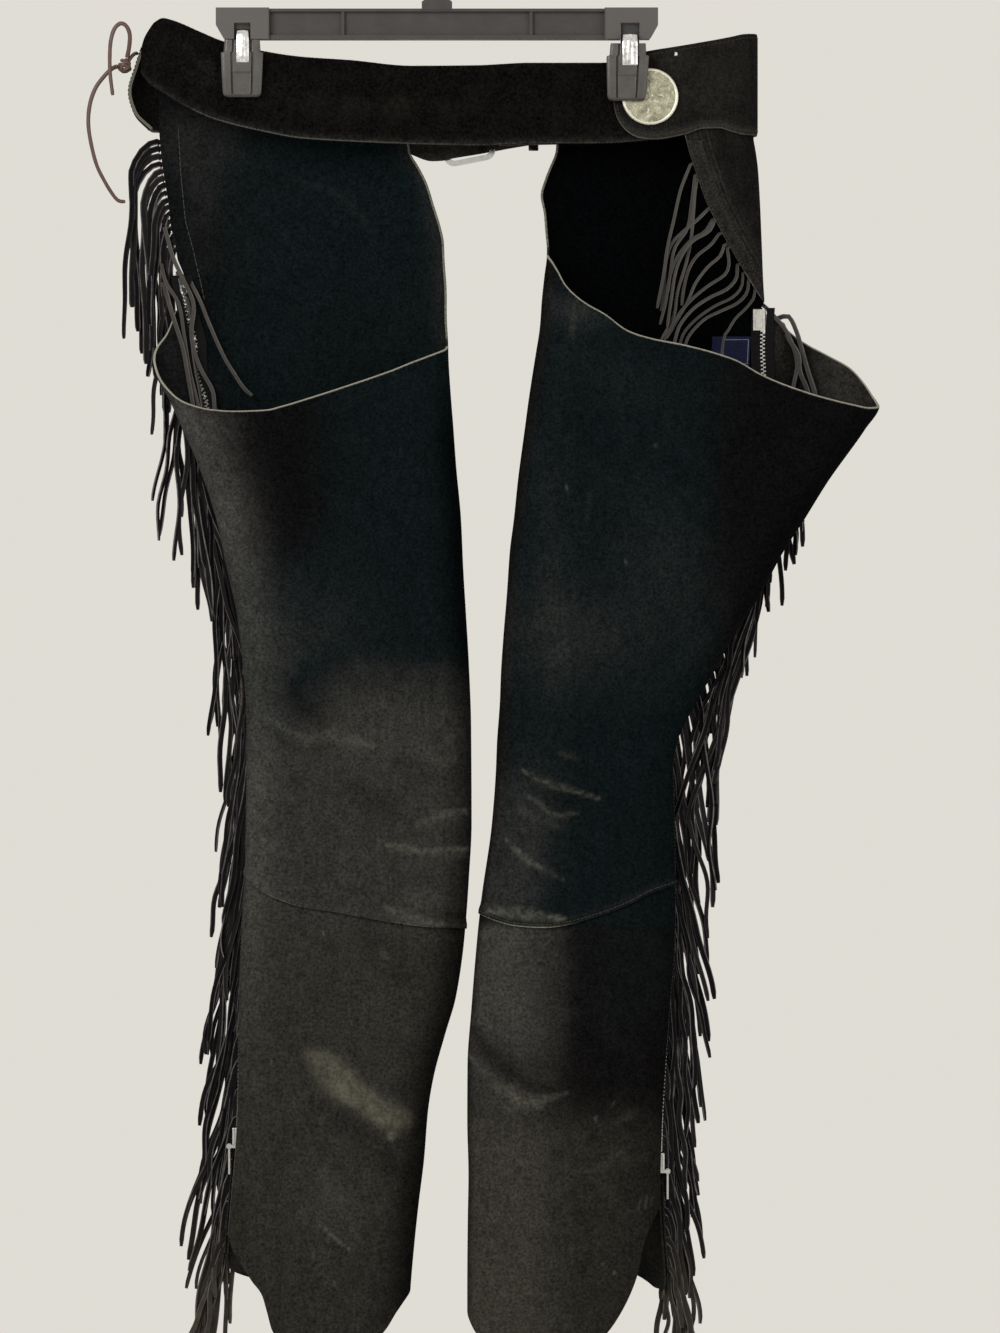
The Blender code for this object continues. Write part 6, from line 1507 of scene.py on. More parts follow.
BELT_RIM = suede("belt_cut_edge", (0.006, 0.0055, 0.005), (0.009, 0.008, 0.007), (0.012, 0.011, 0.010), DUSTY, (0.050, 0.049, 0.045), grain=0.7, sheen=0.1, fuzz=2.0)
PALE_RIM = suede("belt_pale_edge", (0.012, 0.011, 0.010), (0.016, 0.015, 0.013), (0.02, 0.019, 0.017), DUSTY, (0.125, 0.120, 0.098), grain=0.7, sheen=0.1, fuzz=1.2)

# the belt across the back
f = np.linspace(0.0, 1.0, 190)
xs = -238.5 + 424.5 * f * f * (1.6 - 0.6 * f)
tops, lows, ys = (curve(BACK_STRIP, xs, c) for c in (1, 2, 3))
p = belt_grid(xs, ys, tops, lows)
lump = waves(p[..., 0], p[..., 2], 61, 120.0, 0.35) * ramp(p[..., 0], -235, -190)
p[..., 1] += lump * (1 - ramp(p[..., 0], 110, 140))
p[..., 1] += 0.5 * stroke(p[..., 0], p[..., 2], ((-222, -90), (-214, -106), (-206, -126)), 5.0)
v = belt_values(p, 64, lower=0.85, upper=0.22)
v["edge"] *= np.where(p[..., 2] < -128 + 0 * p[..., 0], 0.50 + 0.5 * np.exp(-((p[..., 0] + 120) / 110.0) ** 2), 1.0)
v["edge"] *= ramp(p[..., 0], -216, -190)
v["fade"] = 0.03 + 0.20 * blob(p[..., 0], p[..., 2], -196, -104, 30, 14, -30) + 0.12 * blob(p[..., 0], p[..., 2], -150, -125, 60, 12, -10)
v["dust"] = 0.02 + 0.05 * blob(p[..., 0], p[..., 2], -196, -100, 14, 3, -45) + 0.03 * blob(p[..., 0], p[..., 2], -40, -140, 90, 9, 0)
belt_back, back_n = plies("belt_back_strip", p, v, BELT - 0.1, (BELT_LOOK, BELT_LOOK, BELT_RIM), count=2, pale=0.35)
put(belt_back, "belt_back", slot="belt_suede")
nap = Heap()
down, up = np.array([0, 0, -1.0]), np.array([0, 0, 1.0])
fibres(nap, p[::3, -1], np.tile(down, (len(p[::3]), 1)), back_n[::3, -1], 1.5, 2.0, 0.06, seed=3)
fibres(nap, p[::3, 0], np.tile(up, (len(p[::3]), 1)), back_n[::3, 0], 1.4, 1.9, 0.06, seed=4)
NAP_LOOK = hide("loose_nap", (0.014, 0.0125, 0.011), (0.075, 0.068, 0.058), (0.05, 0.045, 0.04), rough=0.8, specular=0.1)
put(nap.make("belt_back_nap", NAP_LOOK), slot="belt_suede")

# the belt round the right hip
near_run, turn = WRAP_X - HIP_START, math.pi * WRAP_R
ds = np.concatenate([[0.0, 0.5, 1.0, 1.8, 2.8, 4.0, 5.6, 7.6], np.linspace(10.0, near_run + turn + 183.0, 150)])
xs, ys = [], []
for d in ds:
    if d <= near_run:
        xs.append(HIP_START + d)
        ys.append(BELT_NEAR_Y)
    elif d <= near_run + turn:
        a = (d - near_run) / WRAP_R
        xs.append(WRAP_X + WRAP_R * math.sin(a))
        ys.append(BELT_NEAR_Y + WRAP_R * (1 - math.cos(a)))
    else:
        xs.append(WRAP_X - (d - near_run - turn))
        ys.append(BELT_FAR_Y)
lifted = 1.6 * ramp(ds, near_run - 12, near_run + turn * 0.4) * (1 - ramp(ds, near_run + turn * 0.6, near_run + turn))
p = belt_grid(np.array(xs), np.array(ys), curve(HIP_BELT, ds, 1) + lifted - 8.5 * ramp(ds, 166, 210), curve(HIP_BELT, ds, 2) + lifted)
p[..., 1] -= 0.5 * stroke(p[..., 0], p[..., 2], ((214, -92), (210, -120), (214, -150)), 9.0) * (p[..., 1] < 5)
v = belt_values(p, 70, lower=0.55, upper=0.30, fade=0.42, dust=0.03, ends=0.85)
v["fade"] = v["fade"] + 0.25 * np.sin(p[..., 0] / 9.0 + p[..., 2] / 14.0) * 0.3
# the lower edge and the rounded end are rubbed along the stitching
turned_in = np.minimum(from_end(p, 1, False), from_end(p, 0) + 1.0)
v["fade"] += 0.75 * np.exp(-((turned_in - 3.6) / 2.4) ** 2)
v["edge"] = np.maximum(v["edge"], 0.8 * np.exp(-(from_end(p, 1, False) / 1.1) ** 2) * (1 - ramp(from_end(p, 0), 40, 80)))
v["dust"] += 0.03 * blob(p[..., 0], p[..., 2], 215, -120, 30, 30)
belt_right, right_n = plies("belt_right_strip", p, v, BELT - 0.1, (HIP_LOOK, BELT_LOOK, PALE_RIM), count=2, pale=0.62)
put(belt_right, "belt_right", slot="belt_suede")
sewn = Heap()


def inset(p, n, side, distance, lift):
    """Points a distance in from an edge column of a grid, on its outer face."""
    q, m = [], []
    for r in range(len(p)):
        run = np.concatenate([[0], np.cumsum(np.linalg.norm(np.diff(p[r], axis=0), axis=1))])
        at = distance if side == 0 else run[-1] - distance
        q.append([np.interp(at, run, p[r][:, k]) for k in range(3)])
        m.append([np.interp(at, run, n[r][:, k]) for k in range(3)])
    q, m = np.array(q), np.array(m)
    return q + m * lift, m


start = 13
face = (BELT - 0.1) / 2
for side, dist in ((1, 3.0), (0, 3.0)):
    q, m = inset(p[start:], right_n[start:], side, dist, face)
    stitches(sewn, q, m, 3.4, 2.4, 0.26, lift=0.12, seed=20 + side)
# the same row of stitches carried round the near end
q, m = [], []
lo, _ = inset(p[start:start + 1], right_n[start:start + 1], 1, 3.0, face)
hi, _ = inset(p[start:start + 1], right_n[start:start + 1], 0, 3.0, face)
cx0, cz0 = lo[0][0], (lo[0][2] + hi[0][2]) / 2
for a in np.linspace(0, math.pi, 26):
    q.append((cx0 - (cx0 - HIP_START - 3.4) * math.sin(a) ** 0.75, lo[0][1], cz0 - (cz0 - lo[0][2]) * math.cos(a)))
    m.append((0, -1, 0))
stitches(sewn, q, m, 3.4, 2.4, 0.26, lift=0.12, seed=24)
nap = Heap()
fibres(nap, p[::3, -1], np.tile(down, (len(p[::3]), 1)), right_n[::3, -1], 0.7, 1.3, 0.05, seed=7)
fibres(nap, p[::3, 0], np.tile(up, (len(p[::3]), 1)), right_n[::3, 0], 0.7, 1.2, 0.05, seed=8)
put(nap.make("belt_right_nap", NAP_LOOK), slot="belt_suede")
# a fleck of lint near the top edge
lint = Heap()
for k in range(7):
    a = k * 0.9
    lint.tube([(192.6 + 1.2 * math.cos(a), BELT_NEAR_Y - 1.75, -98.6 + 1.5 * math.sin(a * 1.3)),
               (192.8 + 0.4 * math.sin(a), BELT_NEAR_Y - 2.15, -98.4),
               (192.6 - 1.1 * math.cos(a + 0.4), BELT_NEAR_Y - 1.8, -98.6 - 1.5 * math.sin(a))], 0.28, sides=5, tone=1.0)
LINT = hide("lint", (0.55, 0.55, 0.52), (0.7, 0.7, 0.68), (0.7, 0.7, 0.7), rough=0.9, specular=0.1)
put(lint.make("lint_speck", LINT), slot="belt_suede")

# the belt of the left front, which bends round towards the back
ds = np.concatenate([[0.0, 0.5, 1.0, 1.8, 2.8, 4.0, 6.0, 8.6], np.linspace(12.0, 196.0, 74), np.linspace(198.0, 232.0, 40)])
xs, ys = [], []
for d in ds:
    if d <= 200.0:
        xs.append(-24.0 - d)
        ys.append(BELT_FAR_Y)
    else:
        a = min((d - 200.0) / 15.0, math.pi / 2)
        extra = max(0.0, d - 200.0 - 15.0 * math.pi / 2)
        xs.append(-224.0 - 15.0 * math.sin(a))
        ys.append(BELT_FAR_Y - 15.0 * (1 - math.cos(a)) - extra)
p = belt_grid(np.array(xs), np.array(ys), curve(FRONT_BELT, ds, 1), curve(FRONT_BELT, ds, 2), lean=curve(FRONT_BELT, ds, 3))
v = belt_values(p, 64, lower=0.55, upper=0.40, fade=0.25, dust=0.03, ends=1.0)
belt_left, left_n = plies("belt_left_strip", p, v, BELT - 0.1, (BELT_LOOK, BELT_LOOK, PALE_RIM), count=2, pale=1.0)
put(belt_left, "belt_left", slot="belt_suede")
for side in (0, 1):
    q, m = inset(p[9:-2], left_n[9:-2], side, 3.0, face)
    stitches(sewn, q, m, 3.4, 2.4, 0.26, lift=0.12, seed=30 + side)
q, m = p[-3, 3:-3] + left_n[-3, 3:-3] * face, left_n[-3, 3:-3]
stitches(sewn, q, m, 3.4, 2.4, 0.26, lift=0.12, seed=33)
BROWN_THREAD = woven("brown_thread", (0.030, 0.024, 0.020), (0.075, 0.062, 0.052), pitch=0.0006)
put(sewn.make("belt_stitches", BROWN_THREAD), slot="belt_suede")

# ---- front closure ------------------------------------------------------------------
BILLET = (
    # x, y, middle height, half height
    (-74.0, 48.5, -143.0, 10.0),
    (-70.0, 48.5, -143.5, 16.0),
    (-60.0, 48.5, -146.0, 19.0),
    (-24.0, 48.4, -156.5, 18.6),
    (-4.0, 46.8, -163.6, 18.0),
    (4.0, 46.7, -163.2, 18.0),
    (12.0, 47.2, -161.4, 18.0),
    (20.0, 50.4, -159.8, 18.0),
    (28.0, 56.0, -158.2, 18.0),
    (36.0, 60.0, -156.6, 18.0),
    (48.0, 60.8, -154.4, 18.0),
    (60.0, 60.2, -152.2, 18.0),
    (78.0, 55.8, -149.6, 18.0),
    (100.0, 52.4, -147.0, 17.0),
    (112.0, 51.8, -146.0, 11.0),
    (118.0, 51.6, -145.6, 5.0),
)
TILT = math.radians(11)


def tilted(x, y, z, centre=(23.0, 52.0, -159.0)):
    c, s = math.cos(TILT), math.sin(TILT)
    return np.array((centre[0] + x * c - z * s, centre[1] + y, centre[2] + x * s + z * c))


xs = np.concatenate([np.linspace(-74, -68, 7), np.linspace(-66, 108, 88), np.linspace(110, 118, 9)])
by, bz, bh = (curve(BILLET, xs, c) for c in (1, 2, 3))
w = np.concatenate([[1.0, 0.97, 0.92], np.linspace(0.84, -0.84, 15), [-0.92, -0.97, -1.0]])
p = np.stack([np.repeat(xs[:, None], len(w), 1), np.repeat(by[:, None], len(w), 1), bz[:, None] + bh[:, None] * w[None, :]], -1)
v = belt_values(p, 36, lower=0.4, upper=0.4, fade=0.25, dust=0.04, ends=0.4)
billet, billet_n = plies("billet", p, v, STRAP - 0.1, (STRAP_LOOK, STRAP_LOOK, BELT_RIM), towards=(0, 1, 0), pale=0.5)
put(billet, "billet_strap", slot="belt_suede")
closure = Heap()
for side in (0, 1):
    q, m = inset(p[8:-10], billet_n[8:-10], side, 3.4, STRAP / 2 - 0.05)
    stitches(closure, q, m, 3.6, 2.5, 0.28, lift=0.12, seed=40 + side)
put(closure.make("closure_stitches", BROWN_THREAD), slot="belt_suede")
# holes: shallow dimples painted near black, painted shade standing for the depth of each hole
holes = Heap()
for hx in (-14.0, 6.0, 44.0, 66.0, 86.0, 104.0):
    c = np.array([hx, float(curve(BILLET, hx, 1)) + STRAP / 2 - 0.02, float(curve(BILLET, hx, 2))])
    ring = [c + np.array([2.1 * math.cos(a), 0.0, 2.4 * math.sin(a)]) for a in np.linspace(0, 2 * math.pi, 20)[:-1]]
    rim = [c + np.array([2.7 * math.cos(a), -0.06, 3.0 * math.sin(a)]) for a in np.linspace(0, 2 * math.pi, 20)[:-1]]
    deep = [q + np.array([0, 0.10, 0]) for q in ring]
    n = len(ring)
    verts = rim + deep + [c + np.array([0, 0.05, 0])]
    faces = [(i, (i + 1) % n, n + (i + 1) % n, n + i) for i in range(n)]
    faces += [(n + i, n + (i + 1) % n, 2 * n) for i in range(n)] + [tuple(range(n))[::-1]]
    holes.add(verts, faces, True, tone=0.1)
HOLE_SHADE_LOOK = hide("punched_hole", (0.0015, 0.0014, 0.0013), (0.004, 0.0036, 0.0034), (0.01, 0.009, 0.008), rough=0.9, specular=0.05)
put(holes.make("billet_holes", HOLE_SHADE_LOOK), slot="belt_suede")

CHAPE = ((46.0, -4.1), (34.0, -4.1), (22.0, -4.2), (16.2, -3.7), (13.4, 0.0), (16.2, 3.7), (22.0, 4.1), (34.0, 3.9))
route = through([(x, y, 0.0) for x, y in CHAPE], 1.6)
hs = np.concatenate([[-17.0, -16.4, -15.4], np.linspace(-13.5, 13.5, 13), [15.4, 16.4, 17.0]])
p = np.stack([np.stack([tilted(x, y, h) for h in hs]) for x, y, _ in route])
v = belt_values(p, 34, lower=0.4, upper=0.4, fade=0.25, dust=0.04, ends=0.4)
chape, chape_n = plies("chape", p, v, 1.55, (STRAP_LOOK, STRAP_LOOK, BELT_RIM), towards=None, pale=0.5)
put(chape, "buckle_chape", slot="belt_suede")

ring = []
for cy, cz, a0 in ((59.0, -130.6, 0), (52.0, -130.6, 90), (52.0, -169.4, 180), (59.0, -169.4, 270)):
    for k in range(7):
        a = math.radians(a0 + 90 * k / 6)
        ring.append((78.0, cy + 1.45 * math.cos(a), cz + 1.9 * math.sin(a)))
ring = np.array(ring + ring[:2])
fine = through(ring, 1.5)
loop = Heap()
loop.tube(fine, 0.78, wide=8.0, normal=(0, 1, 0), caps=True, tone=0.3)
put(loop.make("keeper_loop", STRAP_LOOK), "buckle_keeper", slot="belt_suede")
CHROME_NODES = ("buckle_frame", "buckle_prong")


# ---- heading strips and zips -------------------------------------------------------------
STRIP_OUT = LEATHER / 2 + SEAM + STRIP / 2
STRIP_WIDE = 12.0
TAPE_IN = -(LEATHER / 2 + SEAM + TAPE / 2 + 1.0)


def zip_side(leg, z, distances, offset):
    """Points on lines that run beside the zip, on the leg's outer or inner face."""
    ang = np.stack([leg.line(z, d) for d in distances], 1)
    zz = np.repeat(z[:, None], len(distances), 1)
    n = leg.normal(zz, ang)
    return leg.around(zz, ang) + n * offset, n


def strip_values(p, ends=0.2, sides=0.5, seed=2):
    d0, d1 = from_end(p, 1), from_end(p, 1, False)
    a0, a1 = from_end(p, 0), from_end(p, 0, False)
    edge = sides * np.exp(-(np.minimum(d0, d1) / 0.7) ** 2) + ends * np.exp(-(np.minimum(a0, a1) / 0.8) ** 2)
    tone = 0.35 + 0.25 * np.sin(p[..., 2] / 41.0 + seed) * np.sin(p[..., 2] / 13.0)
    return {"edge": np.clip(edge, 0, 1), "tone": tone, "fade": 0.55 + 0 * tone, "dust": 0.05 + 0 * tone,
            "thick": 0.75 + 0.25 * ramp(np.minimum(d0, d1), 0, 1.6)}


STRIP_LOOK = suede("heading_strip", (0.0062, 0.0057, 0.0054), (0.0078, 0.0072, 0.0068), (0.0200, 0.0182, 0.0168), DUSTY, (0.070, 0.064, 0.055), grain=0.9, sheen=0.10)
DULLED = metal("dulled_nickel", (0.16, 0.155, 0.145), (0.06, 0.058, 0.052), rough=0.42, worn=0.7, size=500.0)
seams = Heap()
W = np.array([0.0, 0.05, 0.12, 0.25, 0.4, 0.55, 0.7, 0.85, 0.93, 1.0])


def heading(name, p, towards, flat, seed):
    obj, n = plies(name, p, strip_values(p, seed=seed), STRIP - 0.1, (STRIP_LOOK, STRIP_LOOK, BELT_RIM), towards=towards, pale=0.45)
    for side, dist in ((0, 2.0), (1, 2.0)):
        q, m = inset(p, n, side, dist, STRIP / 2 - 0.05)
        stitches(seams, q, m, 3.2, 2.3, 0.25, lift=0.10, seed=seed + side)
    return obj


z = np.linspace(-164.5, -262.0, 42)
rows = []
for q in z:
    edge = L.far_point(q, 1.0)
    width = abs(float(edge[0] - L.s("inner", q)))
    t_in = 1.0 - math.acos(max(-1.0, 1.0 - 2.0 * STRIP_WIDE / width)) / math.pi
    rows.append(L.far_point(q, 1.0 + (t_in - 1.0) * W) + np.array([0, STRIP_OUT + 0.5, 0]))
top_left = np.stack(rows)
strip_top = heading("strip_left_top", top_left, (0, 1, 0), None, 51)
z = np.linspace(-296.0, -1066.0, 250)
low_left, low_left_n = zip_side(L, z, -(ZIP_GAP / 2 + 0.4) - (STRIP_WIDE - 0.4) * W, STRIP_OUT + 1.1)
strip_low = heading("strip_left_low", low_left, low_left_n.mean((0, 1)), None, 53)
z = np.linspace(-318.0, -1080.0, 250)
low_right, low_right_n = zip_side(R, z, -(ZIP_GAP / 2 + 0.4) - (STRIP_WIDE - 0.4) * W, STRIP_OUT + 1.3)
strip_r = heading("strip_right_long", low_right, low_right_n.mean((0, 1)), None, 55)
rows = []
for q in np.linspace(-168.0, -272.0, 46):
    edge, near_y, free = (float(curve(HIP, q, c)) for c in (1, 2, 3))
    wide = min(STRIP_WIDE, (edge - free) * 0.62)
    rows.append(np.stack([free + 0.3 + wide * W, np.full(len(W), near_y - STRIP_OUT - 0.3), np.full(len(W), q)], 1))
hip_strip = np.stack(rows)
strip_h = heading("strip_right_hip_long", hip_strip, (0, -1, 0), None, 57)
put(strip_top, "strip_left", slot="fringe_leather")
put(strip_low, "strip_left", slot="fringe_leather")
put(strip_r, "strip_right", slot="fringe_leather")
put(strip_h, "strip_right_hip", slot="fringe_leather")

tapes = []
for leg, word in ((L, "left"), (R, "right")):
    top, bottom = leg.d["zip"]
    low = leg.d["slider"][1] - 14.0
    z = np.linspace(top + (5.0 if leg is R else 1.0), low, 170)
    for side, slim, wide, far, offset in (("near", 1.25, 2.5, 8.6, TAPE_IN - 0.6), ("far", -1.25, -3.4, -9.5, TAPE_IN)):
        box = ramp(z, top - 14.0, top - 12.6) * (1 - ramp(z, top + 0.6, top + 1.8))
        start = leg.line(z, slim) + (leg.line(z, wide) - leg.line(z, slim)) * box
        ang = start[:, None] + (leg.line(z, far) - start)[:, None] * np.linspace(0, 1, 7)[None, :]
        zz = np.repeat(z[:, None], 7, 1)
        n = leg.normal(zz, ang)
        p = leg.around(zz, ang) + n * offset
        v = {"edge": np.zeros(p.shape[:2])}
        tape, tape_n = plies(f"zip_tape_{word}_{side}", p, v, TAPE - 0.05, (TAPE_LOOK, TAPE_LOOK, TAPE_LOOK), towards=n.mean((0, 1)), bulge=0.1)
        put(tape, f"tape_{word}_{side}", slot="zip_tape")
    # teeth: two rows of small blocks that mesh
    teeth = Heap()
    zs = np.arange(top - 13.6, bottom + 1.0, -1.55)
    centre, n = zip_side(leg, zs, (-0.9, 0.9), 0.3)
    for k in range(len(zs)):
        c = centre[k, k % 2]
        down = centre[min(k + 1, len(zs) - 1), k % 2] - centre[max(k - 1, 0), k % 2]
        down = down / np.linalg.norm(down)
        nn = n[k, k % 2]
        across = np.cross(down, nn)
        across /= np.linalg.norm(across)
        teeth.block(c - nn * 1.5, (2.7, 5.0, 1.2), (across, np.cross(across, down), down), chamfer=0.4)
    # the beaded cord that each row is crimped to
    for col in range(2):
        out = zip_side(leg, zs, (-2.1, 2.1), 0.1)[0][:, col]
        teeth.tube(out[::4], 0.42, sides=6, tone=0.2)
    put(teeth.make(f"zip_teeth_{word}", NICKEL if leg is R else DULLED), f"chain_{word}", slot="nickel")
    # the box the chain starts from, crimped round both tapes
    box = Heap()
    zb, wide, tall, shift = ((top - 4.6, 11.0, 17.0, 3.4) if leg is R else (top - 1.6, 7.0, 8.5, 1.0))
    c, n = zip_side(leg, np.array([zb]), (0.0,), -1.9)
    nn = n[0, 0]
    down = np.array([0.0, 0.0, -1.0])
    across = np.cross(down, nn)
    across /= np.linalg.norm(across)
    c = c[0, 0] + across * (-shift if across[0] > 0 else shift)
    box.block(c, (wide, 2.3, tall), (across, np.cross(across, down), down), chamfer=0.7)
    box.block(c - nn * 1.35 + down * (tall * 0.18), (wide * 0.55, 0.6, tall * 0.42), (across, np.cross(across, down), down), chamfer=0.2)
    put(box.make(f"zip_box_{word}_cover", NICKEL if leg is R else DULLED), slot="nickel")
    # thread along the near leather edge of each zip
    span = np.linspace(top - 4.0, bottom + 30.0, 260)
    for dist, lift in ((ZIP_GAP / 2 + 2.4, LEATHER / 2),):
        q, m = zip_side(leg, span, (dist,), lift)
        keep = (np.abs(q[:, 0, 2] - leg.knee(leg.near_angle(q[:, 0, 2], 0.02))) > 6)
        stitches(seams, q[keep, 0], m[keep, 0], 3.2, 2.3, 0.24, lift=0.12, seed=71)

# the thread of the heading as it shows on the inside of the left front
z = np.linspace(-156.0, -297.0, 120)
x = np.interp(-z, (154.4, 191.6, 230.6, 252.1, 295.1), (-210.1, -208.1, -204.2, -198.4, -188.6))
t = np.array([np.interp(xx, L.far_point(q, np.linspace(1, 0, 80))[:, 0], np.linspace(1, 0, 80)) for xx, q in zip(x, z)])
q = L.far_point(z, t)
q[:, 1] += raised(q[:, 0], q[:, 2], LEFT_FAR, 10) * ramp(t, 0.03, 0.2) * ramp(1 - t, 0.03, 0.16) - LEATHER / 2 - 0.1
inside_thread = Heap()
stitches(inside_thread, q, np.tile((0, -1.0, 0), (len(q), 1)), 4.4, 3.9, 0.36, lift=0.30, seed=73)
GREY_THREAD = woven("grey_thread", (0.040, 0.040, 0.037), (0.085, 0.083, 0.076), pitch=0.0006)
put(inside_thread.make("inside_stitches", GREY_THREAD), slot="fringe_leather")
put(seams.make("seam_stitches", THREAD), slot="fringe_leather")


# thread of the knee seams, just above the lap's edge
knee_thread = Heap()
for leg, seed in ((L, 81), (R, 83)):
    u = np.linspace(0.004, 1.0, 300)
    zk = settle(lambda h: leg.knee(leg.near_angle(h, u)), np.full(u.shape, -780.0)) - LAP + 2.6
    ang = leg.near_angle(zk, u)
    n = leg.normal(zk, ang)
    q = leg.around(zk, ang) + n * (LEATHER / 2 + 1.25 * ramp(u, 0, 0.02))[:, None]
    stitches(knee_thread, q, n, 3.2, 2.3, 0.24, lift=0.14, seed=seed)
    t = np.linspace(0.0, 0.99, 260)
    zk = settle(lambda h: leg.knee(leg.far_angle(h, t)), np.full(t.shape, -780.0)) - LAP + 2.6
    q = leg.far_point(zk, t) + np.array([0, LEATHER / 2 + 1.1, 0])
    stitches(knee_thread, q, np.tile((0, 1.0, 0), (len(q), 1)), 3.2, 2.3, 0.24, lift=0.14, seed=seed + 1)
put(knee_thread.make("knee_stitches", THREAD), slot="suede")


# ---- fringe ------------------------------------------------------------------------------
def far_face(leg, x, z):
    xi = np.clip(np.abs(leg.side * (x - leg.s("cx", z)) / leg.s("a", z)), 0.0, 1.0)
    return leg.s("mid", z) + leg.s("half", z) * (1.0 - xi ** ROUND) ** (1.0 / ROUND)


def smooth_rows(a, times=2):
    for _ in range(times):
        a = np.concatenate([a[:1], (a[:-2] + 2 * a[1:-1] + a[2:]) / 4, a[-1:]])
    return a


def strand(heap, root, tip, rng, leg, sweep, rise, layer, free_y, count=27, wide=None, calm=1.0):
    s = np.linspace(0, 1, count) ** 0.92
    side = leg.side
    x = root[0] + side * sweep * ramp(s, 0.0, 0.16)
    x = x + (tip[0] - root[0] - side * sweep) * ramp(s, 0.06, 1.08) ** rng.uniform(0.75, 1.35)
    z = root[2] + (tip[2] - root[2]) * (s - 0.5 * np.sin(np.pi * np.clip(s / 0.14, 0, 1)) * 0.10)
    z = z + rise * np.sin(np.pi * np.clip(s / 0.16, 0, 1))
    a1, f1, q1 = rng.uniform(0.6, 3.2), rng.uniform(0.7, 1.7), rng.uniform(0, 6.28)
    a2, f2, q2 = rng.uniform(0.2, 1.5), rng.uniform(1.8, 3.4), rng.uniform(0, 6.28)
    wave = a1 * np.sin(2 * np.pi * f1 * s + q1) - a1 * math.sin(q1) + a2 * np.sin(2 * np.pi * f2 * s + q2) - a2 * math.sin(q2)
    x = x + calm * wave * ramp(s, 0.08, 0.5)
    line = root[1] + (free_y - root[1]) * ramp(s, 0.05, 0.55)
    y = line + layer * ramp(s, 0.0, 0.2) + 0.8 * np.sin(2 * np.pi * f2 * s + q1) * ramp(s, 0.1, 0.4)
    inside = np.abs(x - leg.s("cx", z)) < leg.s("a", z) + 2.0
    clear = far_face(leg, x, z) + 3.0 + 0.5 * layer
    y = np.where(inside & (s > 0.12), np.maximum(y, clear), y)
    y[1:] = smooth_rows(y, 3)[1:]
    p = np.stack([x, y, z], 1)
    w = wide or rng.uniform(3.9, 5.3)
    dull = (0.75 if side < 0 else 0.45) * ramp(-z, 1030, 1125) * rng.uniform(0.5, 1.0)
    heap.tube(p, 0.62, wide=w, normal=(0, 1, 0), start=rng.uniform(-0.35, 0.35), twist=rng.uniform(-0.8, 0.8), lit=rng.choice((0.15, 0.35, 1.0, 1.15)),
              taper=lambda t: 1.0 - 0.10 * t - 0.35 * ramp(t, 0.97, 1.0), tone=rng.uniform(0.0, 0.95) ** 1.5, dust=np.repeat(dull, 10))


def fringe(name, leg, roots, nodes, seed):
    rng = random.Random(seed)
    heap = Heap()
    for k, (root, n) in enumerate(roots):
        zr = root[2]
        length = rng.uniform(148.0, 172.0) if rng.random() > 0.14 else rng.uniform(116.0, 150.0)
        zt = max(zr - length, -1147.0 + rng.uniform(0, 9))
        reach = float(curve(leg.d["tips"], zt, 1))
        outer = float(leg.s("outer", zt))
        mix = rng.uniform(0.12, 0.98) ** 0.8
        xt = outer + (reach - outer) * mix
        if rng.random() < 0.16:
            xt = outer - leg.side * rng.uniform(0, 7)
        xr = root[0]
        near_outer = abs(float(leg.s("outer", zr)) - xr)
        sweep = rng.uniform(3.0, 8.0) + min(7.0, near_outer * 0.3)
        if leg is L and zr > -262:
            # these arch well out over the edge before they fall
            sweep = max(8.0, 26.0 - 18.0 * (-172.0 - zr) / 70.0) + rng.uniform(-5.0, 2.0)
            xt = xr - sweep - rng.uniform(-12.0, 12.0)
            xt = max(xt, reach - 1.0)
        layer = (k % 4) * 1.25
        free_y = float(leg.s("mid", zt)) + rng.uniform(9.0, 15.0)
        if leg is L and zr > -262:
            free_y = 42.0 + rng.uniform(-4.0, 4.0)
        rise = 2.0 if (leg is L and zr > -262) else rng.uniform(-0.5, 1.0)
        high = leg is L and zr > -262
        strand(heap, root, (xt, 0, zt), rng, leg, sweep, rise, layer, free_y, count=40 if high else 27, calm=0.55 if high else 1.0,
               wide=rng.uniform(4.9, 5.8) if high else None)
    obj = heap.make(name, THONG, sharp=50)
    put(obj, *nodes, slot="fringe_leather")
    return obj


def roots_on(points, normals, pitch, lift, seed):
    """Where the strands leave the outer edge of a heading."""
    rng = random.Random(seed)
    p, n = np.asarray(points, float), np.asarray(normals, float)
    run = np.concatenate([[0], np.cumsum(np.linalg.norm(np.diff(p, axis=0), axis=1))])
    out, s = [], pitch * 0.5
    while s < run[-1] - 1.0:
        q = np.array([np.interp(s, run, p[:, k]) for k in range(3)])
        m = np.array([np.interp(s, run, n[:, k]) for k in range(3)])
        out.append((q + m * lift, m))
        s += pitch * rng.uniform(0.9, 1.1)
    return out


up_y = np.tile((0, 1.0, 0), (len(top_left), 1))
roots = roots_on(top_left[:, 1], up_y, 6.0, 0.2, 1)
f_top = fringe("fringe_left_strands_top", L, roots, ["fringe_left_top"], 101)
roots = roots_on(low_left[:, 1], low_left_n[:, 1], 5.9, 0.2, 2)
mid = [r for r in roots if r[0][2] > -600]
low = [r for r in roots if r[0][2] <= -600]
f_mid = fringe("fringe_left_strands_mid", L, mid, ["fringe_left_mid"], 103)
f_low = fringe("fringe_left_strands_low", L, low, ["fringe_left_low"], 105)
roots = roots_on(low_right[:, 1], low_right_n[:, 1], 5.9, 0.2, 3)
mid = [r for r in roots if r[0][2] > -560]
low = [r for r in roots if r[0][2] <= -560]
f_rmid = fringe("fringe_right_strands_mid", R, mid, ["fringe_right_mid"], 107)
f_rlow = fringe("fringe_right_strands_low", R, low, ["fringe_right_low"], 109)

